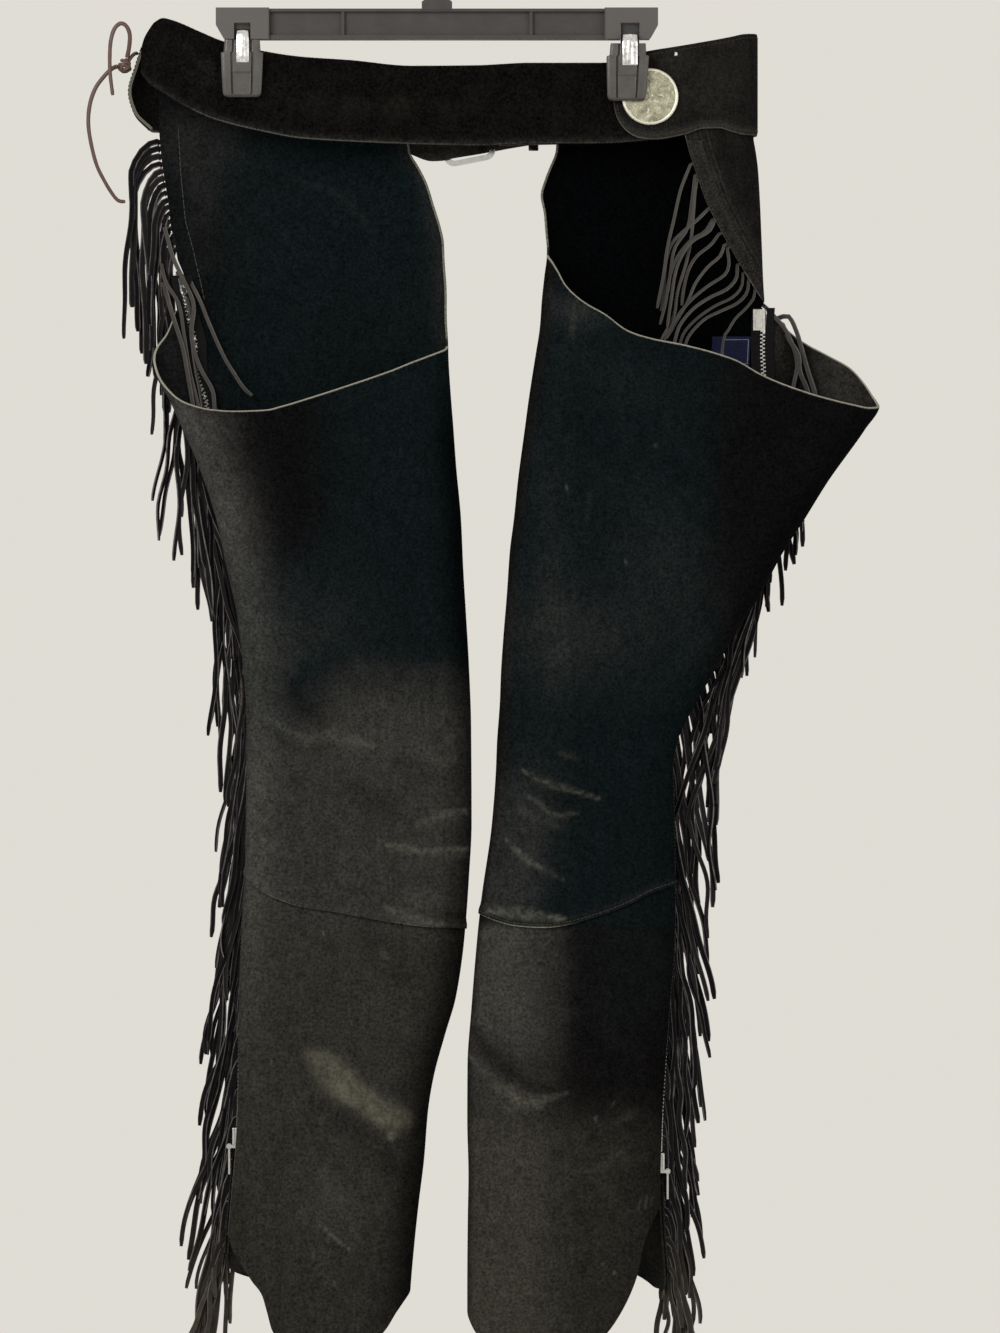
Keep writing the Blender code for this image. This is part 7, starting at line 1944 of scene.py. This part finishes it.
# strands of the hip, which fall into the open leg
HIP_STRANDS = (
    ((695, 600), (660, 690), (635, 800), (612, 900), (598, 1000), (575, 1120)),
    ((712, 640), (700, 740), (685, 830), (640, 900), (625, 980), (615, 1060)),
    ((760, 760), (720, 800), (660, 850), (625, 890), (605, 960), (600, 1050), (590, 1130)),
    ((785, 800), (765, 840), (700, 880), (660, 940), (640, 1000), (625, 1100), (612, 1190)),
    ((800, 850), (770, 890), (720, 930), (690, 980), (672, 1050), (665, 1110)),
    ((820, 890), (805, 930), (760, 970), (715, 1030), (690, 1090), (650, 1160), (610, 1230)),
    ((832, 900), (838, 960), (820, 1000), (760, 1040), (700, 1090), (650, 1150), (600, 1240)),
    ((870, 960), (865, 1010), (830, 1050), (770, 1080), (710, 1120), (660, 1180), (640, 1240), (620, 1330)),
    ((890, 990), (885, 1040), (850, 1080), (790, 1110), (730, 1150), (680, 1200), (660, 1245), (640, 1340)),
    ((912, 1010), (905, 1060), (870, 1100), (810, 1130), (750, 1160), (700, 1210), (680, 1250), (668, 1330)),
    ((935, 1040), (930, 1080), (900, 1120), (860, 1160), (830, 1210), (820, 1225), (810, 1300)),
    ((720, 650), (712, 700), (706, 780), (700, 860), (680, 960), (650, 1060), (636, 1150), (590, 1236)),
    ((775, 800), (748, 842), (706, 866), (672, 900), (640, 950), (618, 1020), (606, 1100), (585, 1180)),
)
OVER_STRANDS = (
    ((900, 1190), (930, 1120), (960, 1100), (1010, 1150), (1050, 1200), (1080, 1270), (1090, 1330), (1075, 1410), (1066, 1480)),
    ((985, 1200), (1010, 1160), (1040, 1145), (1065, 1150), (1090, 1210), (1110, 1280), (1130, 1350), (1155, 1430), (1166, 1500)),
    ((1000, 1220), (1016, 1180), (1034, 1166), (1060, 1230), (1095, 1290), (1100, 1350), (1128, 1420), (1140, 1490)),
)
HIP_Y = ((-350.0, 20.0), (-335.0, 20.0), (-300.0, 20.0), (-270.0, 17.0), (-235.0, 12.0), (-200.0, 9.0), (-172.0, 8.0), (-150.0, 5.0))
rng = random.Random(211)
heap = Heap()
for k, pts in enumerate(HIP_STRANDS):
    q = shot(pts, 500.0, 0.0, 3.6475)
    start = float(curve(HIP, q[0, 1], 2)) + 1.9
    path = through(np.stack([q[:, 0], np.zeros(len(q)), q[:, 1]], 1), 4.6)
    s = np.linspace(0, 1, len(path))
    table_y = curve(HIP_Y, path[:, 2], 1)
    y = start + (table_y - start) * ramp(s, 0.0, 0.42) + (k % 3 - 1) * 1.5 * ramp(s, 0.05, 0.4)
    path[:, 1] = y
    first = path[0] + np.array([2.6, 0.2, 1.2])
    path = np.vstack([first, path])
    heap.tube(path, 0.55, wide=rng.uniform(2.3, 2.9), normal=(0, -1, 0), start=rng.uniform(-0.3, 0.3),
              twist=rng.uniform(-0.7, 0.7), tone=rng.uniform(0.3, 1.0), taper=lambda t: 1.0 - 0.3 * ramp(t, 0.96, 1))
for k, pts in enumerate(OVER_STRANDS):
    q = shot(pts, 500.0, 0.0, 3.6475)
    path = through(np.stack([q[:, 0], np.zeros(len(q)), q[:, 1]], 1), 4.6)
    inside = far_face(R, path[:, 0], np.minimum(path[:, 2], -300.0)) - 5.0 - 1.4 * k
    s = np.linspace(0, 1, len(path))
    y = 47.0 + (inside - 47.0) * ramp(s, 0.14, 0.42)
    path[:, 1] = y
    heap.tube(path, 0.62, wide=rng.uniform(3.2, 4.0), normal=(0, -1, 0), start=rng.uniform(-0.2, 0.2),
              twist=rng.uniform(-0.5, 0.5), tone=rng.uniform(0.5, 0.8), taper=lambda t: 1.0 - 0.3 * ramp(t, 0.96, 1))
f_hip = heap.make("fringe_right_hip_strands", HIP_THONG, sharp=50)
put(f_hip, "fringe_right_hip", slot="fringe_leather")

# strands that have slipped into the open left leg
IN_STRANDS = (
    ((20, -60), (40, 40), (70, 150), (130, 250), (155, 400), (180, 560), (220, 720), (240, 800)),
    ((60, -120), (100, 20), (150, 130), (200, 250), (190, 380), (205, 480), (240, 570), (290, 660), (300, 745), (310, 830)),
    ((150, 60), (190, 150), (235, 240), (270, 330), (340, 490), (400, 590), (440, 650), (480, 685)),
    ((120, 90), (160, 200), (190, 320), (195, 450), (210, 560), (232, 680), (250, 800)),
    ((30, 60), (70, 200), (110, 330), (150, 460), (176, 600), (200, 740), (210, 820)),
)
heap = Heap()
for k, pts in enumerate(IN_STRANDS):
    q = shot(pts, 150.0, 250.0, 4.75)
    path = through(np.stack([q[:, 0], np.zeros(len(q)), q[:, 1]], 1), 4.6)
    x, z = path[:, 0], path[:, 2]
    s = np.linspace(0, 1, len(path))
    inner = np.minimum(far_face(L, x, z), 41.0) - 5.6 - (k % 3) * 1.5
    start = 45.0 if x[0] < -222 else 36.0
    path[:, 1] = start + (inner - start) * ramp(s, 0.06, 0.30)
    heap.tube(path, 0.62, wide=rng.uniform(3.0, 3.8), normal=(0, -1, 0), start=rng.uniform(-0.5, 0.5),
              twist=rng.uniform(-0.9, 0.9), tone=rng.uniform(0.45, 0.85), taper=lambda t: 1.0 - 0.3 * ramp(t, 0.96, 1))
f_in = heap.make("fringe_left_strands_in", HIP_THONG, sharp=50)
put(f_in, "fringe_left_top", slot="fringe_leather")


# ---- carried-over solids: rounded edges and a finish ---------------------------------------
def carry(look, width, *names, segments=3):
    for name in names:
        obj = NODES[name]
        obj.data.materials.clear()
        obj.data.materials.append(look)
        if width:
            mod = obj.modifiers.new("edges", "BEVEL")
            mod.width = width * MM
            mod.segments = segments
            mod.limit_method = "ANGLE"
            mod.angle_limit = math.radians(38)
            mod.harden_normals = False


SLIDER_METAL = metal("slider_nickel", (0.50, 0.50, 0.48), (0.16, 0.155, 0.14), rough=0.30, worn=0.5, size=700.0)
carry(CHROME, 0.5, "buckle_frame")
carry(CHROME, 0.0, "buckle_prong")
carry(SLIDER_METAL, 0.25, "slider_left", "slider_right", "zip_box_left", "zip_box_right", segments=2)
carry(SLIDER_METAL, 0.22, "pull_left", "pull_right", segments=2)

# ---- concho: a plain disc with a raised rim, dulled and mottled ---------------------------
def turned(heap, centre, profile, steps, wobble=None, **values):
    """A turned form whose axis runs along y; profile: radius, height towards the viewer."""
    verts, faces = [], []
    for r, h in profile:
        for k in range(steps):
            a = 2 * math.pi * k / steps
            extra = wobble(r, a) if wobble else 0.0
            verts.append((centre[0] + r * math.cos(a), centre[1] - h - extra, centre[2] + r * math.sin(a)))
    n = len(profile)
    for j in range(n - 1):
        for k in range(steps):
            i = (k + 1) % steps
            faces.append((j * steps + k, (j + 1) * steps + k, (j + 1) * steps + i, j * steps + i))
    faces.append(tuple(range(steps)))
    faces.append(tuple((n - 1) * steps + k for k in range(steps))[::-1])
    heap.add(verts, faces, True, **values)


def concho_look():
    k = Look("concho_metal", rough=0.34, metal=1.0)
    patch = k.noise(120.0, 5.0, 0.68, distortion=0.8)
    grit = k.noise(900.0, 3.0, 0.6)
    cells = k.cells(260.0)
    rim = k.attr("rim")
    base = k.mix(k.range(patch, 0.36, 0.66), (0.185, 0.180, 0.125), (0.42, 0.405, 0.300))
    base = k.mix(k.range(k.noise(420.0, 4.0), 0.56, 0.72, 0.0, 0.8), base, (0.70, 0.68, 0.58))
    base = k.mix(k.range(cells, 0.0, 0.22, 0.45, 0.0), base, (0.09, 0.085, 0.06))
    base = k.mix(rim, base, (0.62, 0.60, 0.50))
    rough = k.range(k.math("ADD", patch, k.math("MULTIPLY", grit, 0.5)), 0.4, 1.0, 0.30, 0.55)
    n = k.bump(patch, 0.5, 0.0008)
    n = k.bump(k.math("ADD", cells, grit), 0.35, 0.00035, n)
    return k.done(base, rough, n)


CONCHO_METAL = concho_look()
heap = Heap()
CONCHO_AT = (171.7, BELT_NEAR_Y - BELT / 2 - SEAM, -133.0)


def hammered(r, a):
    """A faint raised wreath of plain petals, nearly worn away."""
    ring = math.exp(-((r - 13.5) / 3.4) ** 2)
    core = math.exp(-(r / 6.5) ** 2)
    return 0.17 * ring * math.cos(12 * a) + 0.12 * core * math.cos(6 * a + 0.3) + 0.06 * math.cos(30 * a) * math.exp(-((r - 18.2) / 0.9) ** 2)


inner = [(r, h) for r, h in ((0.6, 2.5), (2, 2.5), (4, 2.46), (6, 2.4), (8, 2.3), (9.5, 2.22), (11, 2.14), (12.5, 2.02),
                             (14, 1.88), (15.5, 1.74), (17, 1.58), (18.2, 1.44), (19.2, 1.32), (19.9, 1.30))]
turned(heap, CONCHO_AT, inner + [(20.2, 1.55), (20.6, 1.95)], 120, wobble=hammered, rim=0.0)
turned(heap, CONCHO_AT, [(20.3, 0.4), (20.3, 1.75), (20.8, 2.05), (21.5, 2.15), (22.2, 2.0), (22.8, 1.5), (23.0, 0.85),
                         (22.9, 0.3), (22.6, 0.0)], 120, rim=1.0)
put(heap.make("concho_disc", CONCHO_METAL, sharp=50), "concho", slot="concho_metal")

# ---- label: a plain navy weave with a pale woven border -----------------------------------
def label_grid(u, v, lift):
    """u, v from 0 to 1 over the patch inside the right leg."""
    u, v = np.broadcast_arrays(np.asarray(u, float), np.asarray(v, float))
    z = -324.5 - 24.5 * v
    x = 223.0 + 31.0 * u
    xi = (x - R.s("cx", z)) / R.s("a", z)
    y = R.s("mid", z) + R.s("half", z) * (1 - np.abs(xi) ** ROUND) ** (1 / ROUND)
    return np.stack([x - 1.2 * v, y - LEATHER / 2 - TAPE - 2 * SEAM - 0.7 - lift, z], -1)


NAVY = woven("navy_weave", (0.0060, 0.0068, 0.021), (0.0136, 0.016, 0.045), pitch=0.0007)
NAVY_PALE = woven("pale_weave", (0.08, 0.088, 0.136), (0.176, 0.184, 0.24), pitch=0.0007)
uu, vv = np.meshgrid(np.linspace(0, 1, 40), np.linspace(0, 1, 32))
p = label_grid(uu, vv, 0.35 * np.sin(uu * 7) * np.sin(vv * 5) * 0.5)
label, _ = plies("label_patch", p, {"edge": np.zeros(p.shape[:2])}, 0.55, (NAVY, NAVY, NAVY), towards=(0, -1, 0), bulge=0.1)
put(label, "label_inside", slot="label")
border = Heap()
frame_uv = []
for a, b in (((0.30, 0.10), (0.95, 0.10)), ((0.95, 0.10), (0.95, 0.90)), ((0.95, 0.90), (0.30, 0.90)), ((0.30, 0.90), (0.30, 0.10))):
    for k in range(24):
        t = k / 23
        frame_uv.append((a[0] + (b[0] - a[0]) * t, a[1] + (b[1] - a[1]) * t))
for k in range(4):
    seg = frame_uv[k * 24:(k + 1) * 24]
    path = label_grid([q[0] for q in seg], [q[1] for q in seg], 0.36)
    border.tube(path, 0.12, wide=0.75, normal=(0, -1, 0), tone=0.5)
border = border.make("label_border", NAVY_PALE)
put(border, slot="label")

# ---- lace -----------------------------------------------------------------------------------
KNOT = np.array([-252.6, 19.5, -106.5])
LACE_LOOP = (
    (-250.6, 17.0, -99.6), (-248.9, 14.5, -92.0), (-248.2, 12.5, -82.0), (-250.8, 12.0, -75.0), (-255.6, 12.0, -72.6),
    (-260.6, 12.0, -77.0), (-263.6, 12.2, -87.0), (-264.4, 12.4, -100.0), (-264.0, 12.4, -114.0), (-262.0, 12.2, -130.6),
)
LACE_TAIL = (
    (-258.6, 20.0, -106.6), (-263.0, 20.6, -108.6), (-268.6, 21.0, -113.8), (-276.4, 21.6, -124.3),
    (-281.0, 22.0, -137.8), (-282.2, 22.6, -153.0), (-280.0, 23.4, -169.0), (-275.6, 24.6, -186.0),
    (-269.2, 26.4, -199.3), (-262.6, 28.6, -210.0), (-258.0, 29.8, -214.8), (-252.6, 30.2, -215.6),
)
for word, route in (("loop", LACE_LOOP), ("tail", LACE_TAIL)):
    path = through(route, 1.6)
    heap = Heap()
    heap.tube(path, 1.75, sides=12, flat=0.86, twist=1.5, normal=(0, -1, 0),
              taper=lambda t: 1.0 - 0.25 * ramp(t, 0.985, 1.0) + 0.02 * np.sin(t * 60), tone=0.55)
    obj = heap.make(f"lace_{word}_cord", LACE_LOOK, sharp=60)
    put(obj, f"lace_{word}", slot="lace_leather")
    thin = through(route, 7.0)
heap = Heap()
TURNS = (
    # an overhand knot: two wraps and the crossing
    ((-2.6, 2.6, 4.8), (1.0, -3.4, 3.6), (3.6, -2.6, 0.2), (1.4, -3.6, -2.6), (-2.6, -1.4, -3.6), (-4.0, 1.2, -1.2),
     (-2.2, 3.0, 1.4), (1.8, 2.6, 2.6), (3.8, 0.2, 2.2)),
    ((-5.0, 0.6, -0.2), (-3.4, -3.0, 1.0), (0.0, -4.3, 0.4), (3.2, -2.8, -1.2), (4.0, 0.6, -2.6), (1.2, 3.0, -3.6),
     (-2.4, 2.6, -2.8), (-4.6, 0.0, -1.8)),
    ((2.0, -2.4, 5.4), (0.4, -4.0, 2.8), (-1.6, -4.2, 0.0), (-2.6, -3.2, -2.8), (-1.2, -0.8, -4.6), (2.2, 1.2, -4.0)),
)
for turns in TURNS:
    path = through(np.array(turns) + KNOT, 0.8)
    heap.tube(path, 1.55, sides=10, flat=0.9, tone=0.5, normal=(0, -1, 0.1))
heap.tube(through(((-250.2, 18.6, -103.6), (-247.6, 19.4, -99.4), (-245.0, 22.0, -96.6), (-243.2, 26.0, -95.6)), 0.8), 1.6,
          sides=10, flat=0.9, tone=0.5, normal=(0, -1, 0.1))
put(heap.make("lace_knot_turns", LACE_LOOK, sharp=60), "lace_knot", slot="lace_leather")

# ---- hanger -----------------------------------------------------------------------------------
carry(PLASTIC, 0.7, "hanger_frame", segments=3)
carry(PLASTIC, 0.0, "hanger_hook")
JAW = (
    # height above the clip's foot, half width, inner y, outer y (both from the gripped face)
    (0.0, 13.0, 0.0, 4.2), (2.2, 15.6, 0.0, 5.4), (8.0, 16.8, 0.0, 6.2), (22.0, 17.2, 0.0, 7.2),
    (34.0, 16.6, 0.3, 7.0), (38.0, 15.0, 0.9, 6.6), (46.0, 13.8, 2.2, 6.2),
)


def jaw_form(name, node, centre_x, foot, face, direction, ridge, slot_x):
    """A clip half: grooves down its sides, a ridge across, a stepped neck."""
    hs = np.unique(np.concatenate([np.linspace(0, 46, 42), [ridge - 0.9, ridge - 0.4, ridge + 0.4, ridge + 0.9,
                                                            0.8, 2.0, 35.6, 36.4]]))
    cols = np.unique(np.concatenate([np.linspace(-1, 1, 31)] + [np.linspace(g - 0.075, g + 0.075, 7) for g in (-0.5, 0.5)]))
    inner, outer = (curve(JAW, hs, c) for c in (2, 3))
    half = np.interp(hs, (0.0, 0.8, 2.0, 4.0, 20.0, 35.6, 36.4, 46.0), (12.8, 14.2, 15.0, 15.5, 16.4, 17.0, 14.7, 14.1))
    h = hs[:, None]
    u = cols[None, :]
    edge = np.minimum(1 - np.abs(u), 1.0) * half[:, None]
    depth = (outer - inner)[:, None] - 0.9 * (1 - ramp(edge, 0, 2.0)) ** 2 * 1.4
    depth = depth - 0.9 * (1 - ramp(h, 0, 2.4)) ** 2
    groove = np.zeros(depth.shape)
    for g in (-0.5, 0.5):
        groove = np.maximum(groove, 1 - ramp(np.abs(u - g) * half[:, None], 0.35, 0.85))
    groove = groove * ramp(h, 1.5, 3.0)
    depth = depth - 1.5 * groove
    middle = (np.abs(u) < 0.46)
    depth = depth + 0.55 * np.exp(-((h - ridge) / 0.55) ** 2) * ramp(0.46 - np.abs(u), 0, 0.04)
    depth = depth - 0.35 * ramp(0.46 - np.abs(u), 0, 0.05) * ramp(ridge - h, 0.4, 1.2) * ramp(h, 2, 4)
    depth = np.maximum(depth, 1.2)
    x = centre_x + half[:, None] * u + ((h - 46.0) * 0.03 if centre_x > 0 else 0.0)
    z = np.repeat(foot + h, len(cols), 1)
    front = np.stack([x, face + direction * (inner[:, None] + depth), z], -1)
    back = np.stack([x, np.repeat(face + direction * inner[:, None], len(cols), 1), z], -1)
    rows, n = len(hs), len(cols)
    heap = Heap()
    verts = np.concatenate([front.reshape(-1, 3), back.reshape(-1, 3)])
    faces, off = [], rows * n
    for r in range(rows - 1):
        for c in range(n - 1):
            a, b, d, e = r * n + c, (r + 1) * n + c, (r + 1) * n + c + 1, r * n + c + 1
            faces.append((a, b, d, e))
            faces.append((a + off, e + off, d + off, b + off))
    ring = [(0, c) for c in range(n)] + [(r, n - 1) for r in range(1, rows)] + [(rows - 1, c) for c in range(n - 2, -1, -1)] + [(r, 0) for r in range(rows - 2, 0, -1)]
    ids = [r * n + c for r, c in ring]
    for i in range(len(ids)):
        j = (i + 1) % len(ids)
        faces.append((ids[i], ids[j], ids[j] + off, ids[i] + off))
    # the groove values also paint shade into the grooves' colour
    heap.add(verts, faces, True, groove=np.concatenate([groove.reshape(-1), np.zeros(off)]))
    obj = heap.make(name, CLIP_PLASTIC, sharp=38)
    put(obj, node, slot="hanger_plastic")
    return obj


def clip_look():
    k = Look("clip_plastic", rough=0.42, specular=0.5)
    cloud = k.noise(90.0, 3.0)
    fine = k.noise(1600.0, 2.0)
    scuff = k.noise(380.0, 4.0, 0.7, vector=k.stretch((0.4, 1.0, 1.0)))
    base = k.mix(k.range(cloud, 0.3, 0.7), (0.037, 0.0335, 0.031), (0.055, 0.050, 0.0465))
    base = k.mix(k.range(scuff, 0.62, 0.80, 0.0, 0.5), base, (0.15, 0.14, 0.13))
    # painted shade: the grooves are darkened to near black where shade falls in them
    base = k.mix(k.attr("groove"), base, (0.006, 0.0055, 0.005))
    return k.done(base, k.range(scuff, 0.35, 0.75, 0.34, 0.6), k.bump(fine, 0.25, 0.00015))


CLIP_PLASTIC = clip_look()
LEFT_FACE, RIGHT_FACE = -(BELT / 2 + SEAM), -(BELT / 2 + SEAM + BELT + SEAM + 2.9)
FAR_FACE = BELT / 2 + SEAM
for word, cx, foot, near_face in (("left", -157.0, -133.2, LEFT_FACE), ("right", 154.0, -136.6, RIGHT_FACE)):
    jaw_form(f"clip_{word}_near_half", f"clip_{word}_near", cx, foot, near_face, -1.0, 20.4 if word == "left" else 20.8, 0)
    jaw_form(f"clip_{word}_far_half", f"clip_{word}_far", cx, foot, FAR_FACE, 1.0, 20.4, 0)


# springs: a strip of bright steel that runs over each clip, in a dark slot; the slot's darkness is painted shade, given
# by blocks of near-black plastic
def spring_form(name, node, x_lo, x_hi, z_top, z_low, n_out, f_out):
    xm, half = (x_lo + x_hi) / 2, (x_hi - x_lo) / 2
    route = [(n_out + 0.55, z_low), (n_out - 0.15, z_low + 5.0), (n_out - 0.45, z_low + 12.0), (n_out - 0.1, z_low + 19.0),
             (n_out + 0.6, z_top - 4.5), (n_out + 2.2, z_top - 1.4), (n_out + 5.2, z_top), (f_out - 5.2, z_top),
             (f_out - 2.2, z_top - 1.4), (f_out - 0.6, z_top - 4.5), (f_out + 0.1, z_low + 19.0), (f_out + 0.45, z_low + 12.0),
             (f_out + 0.15, z_low + 5.0), (f_out - 0.55, z_low)]
    path = through([(0.0, y, z) for y, z in route], 1.1)
    cols = np.array([-1.0, -0.93, -0.8, -0.62, -0.5, -0.36, -0.2, 0.0, 0.2, 0.36, 0.5, 0.62, 0.8, 0.93, 1.0])
    t = np.gradient(path, axis=0)
    t /= np.linalg.norm(t, axis=1, keepdims=True)
    out = np.cross(t, np.array([1.0, 0, 0]))
    mid = np.array([0.0, (n_out + f_out) / 2, z_low])
    if ((path - mid) * out).sum() < 0:
        out = -out
    run = np.linspace(0, 1, len(path))
    narrow = 1.0 - 0.16 * np.exp(-((run - 0.5) / 0.16) ** 2)
    rows = []
    for k in range(len(path)):
        dish = 0.55 * np.exp(-(cols / 0.34) ** 2) * (1 - math.exp(-((run[k] - 0.5) / 0.12) ** 2)) - 0.30 * np.abs(cols) ** 6
        rows.append(path[k] + out[k] * dish[:, None] + np.array([1.0, 0, 0]) * (xm + half * narrow[k] * cols)[:, None])
    p = np.stack(rows)
    obj, _ = plies(name, p, {"edge": np.zeros(p.shape[:2])}, 0.5, (SPRING, SPRING, SPRING), bulge=0.1)
    put(obj, node, slot="chrome")


def spring_look():
    k = Look("spring_steel", rough=0.16, metal=1.0)
    dull = k.noise(260.0, 4.0, 0.65)
    streak = k.noise(700.0, 3.0, 0.6, vector=k.stretch((1.0, 1.0, 0.12)))
    base = k.mix(k.range(dull, 0.42, 0.66), (0.93, 0.93, 0.93), (0.46, 0.46, 0.45))
    return k.done(base, k.range(streak, 0.3, 0.7, 0.08, 0.30), k.bump(dull, 0.3, 0.0005))


SPRING = spring_look()
for word, x_lo, x_hi, z_low, near_face in (("left", -161.4, -151.6, -105.4, LEFT_FACE), ("right", 149.4, 161.4, -108.2, RIGHT_FACE)):
    spring_form(f"clip_{word}_spring_strip", f"clip_{word}_spring", x_lo, x_hi, -78.4 if word == "left" else -83.0, z_low,
                near_face - 7.7, FAR_FACE + 7.7)
    # near-black blocks round the spring: painted shade standing for the dark slot
    heap = Heap()
    x0, x1 = (-163.2, -150.4) if word == "left" else (148.0, 163.0)
    for y in (-2.6, 2.6):
        heap.block(((x0 + x1) / 2, y, -87.6), (x1 - x0, 1.6, 27.0), ((1, 0, 0), (0, 1, 0), (0, 0, 1)), chamfer=0.4, tone=0.2)
    for x in (x0 + 1.1, x1 - 1.1):
        heap.block((x, 0.0, -87.6), (1.4, 5.4, 27.0), ((1, 0, 0), (0, 1, 0), (0, 0, 1)), chamfer=0.3, tone=0.2)
    put(heap.make(f"clip_{word}_carrier", SLOT_SHADE_PLASTIC), slot="hanger_plastic")


# ---- floor and light ------------------------------------------------------------
def floor_disc(radius=0.60, z=-1.30, rings=10, around=96):
    verts, faces = [(0.03, 0.03, z)], []
    for r in range(1, rings + 1):
        q = radius * r / rings
        for i in range(around):
            a = 2 * math.pi * i / around
            verts.append((0.03 + q * math.cos(a), 0.03 + q * math.sin(a), z - (0.004 if r == rings else 0.0)))
    for i in range(around):
        faces.append((0, 1 + i, 1 + (i + 1) % around))
    for r in range(rings - 1):
        for i in range(around):
            a, b = 1 + r * around + i, 1 + r * around + (i + 1) % around
            faces.append((a, a + around, b + around, b))
    mesh = bpy.data.meshes.new("floor")
    mesh.from_pydata(verts, [], faces)
    mesh.shade_smooth()
    k = Look("floor_paper", rough=0.9, specular=0.2)
    fibre = k.noise(180.0, 3.0)
    k.done(k.mix(fibre, (0.62, 0.61, 0.58), (0.70, 0.69, 0.66)), None, k.bump(fibre, 0.1, 0.0005))
    object_of("floor", mesh, k.m)


floor_disc()

world = bpy.data.worlds.new("backdrop")
scene.world = world
world.use_nodes = True
background = world.node_tree.nodes["Background"]
background.inputs["Color"].default_value = (0.760, 0.735, 0.680, 1.0)
background.inputs["Strength"].default_value = 0.98


def lamp(name, place, target, size, watts, colour=(1, 1, 1)):
    data = bpy.data.lights.new(name, "AREA")
    data.shape = "RECTANGLE"
    data.size, data.size_y = size
    data.energy = watts
    data.color = colour
    obj = bpy.data.objects.new(name, data)
    obj.location = place
    obj.rotation_euler = (Vector(target) - Vector(place)).to_track_quat("-Z", "Y").to_euler()
    scene.collection.objects.link(obj)
    return obj


lamp("key", (-1.3, -1.9, 0.55), (0.0, 0.0, -0.5), (1.2, 1.2), 42.0, (1.0, 0.985, 0.96))
lamp("fill", (1.5, -1.7, -0.2), (0.05, 0.0, -0.6), (1.4, 1.8), 14.0, (0.96, 0.98, 1.0))
lamp("rear", (0.9, 2.0, 0.7), (0.0, 0.0, -0.5), (1.4, 1.4), 16.0, (1.0, 1.0, 1.0))
scene.view_settings.view_transform = "Standard"
scene.view_settings.look = "None"
scene.view_settings.exposure = 0.0
scene.view_settings.gamma = 1.0
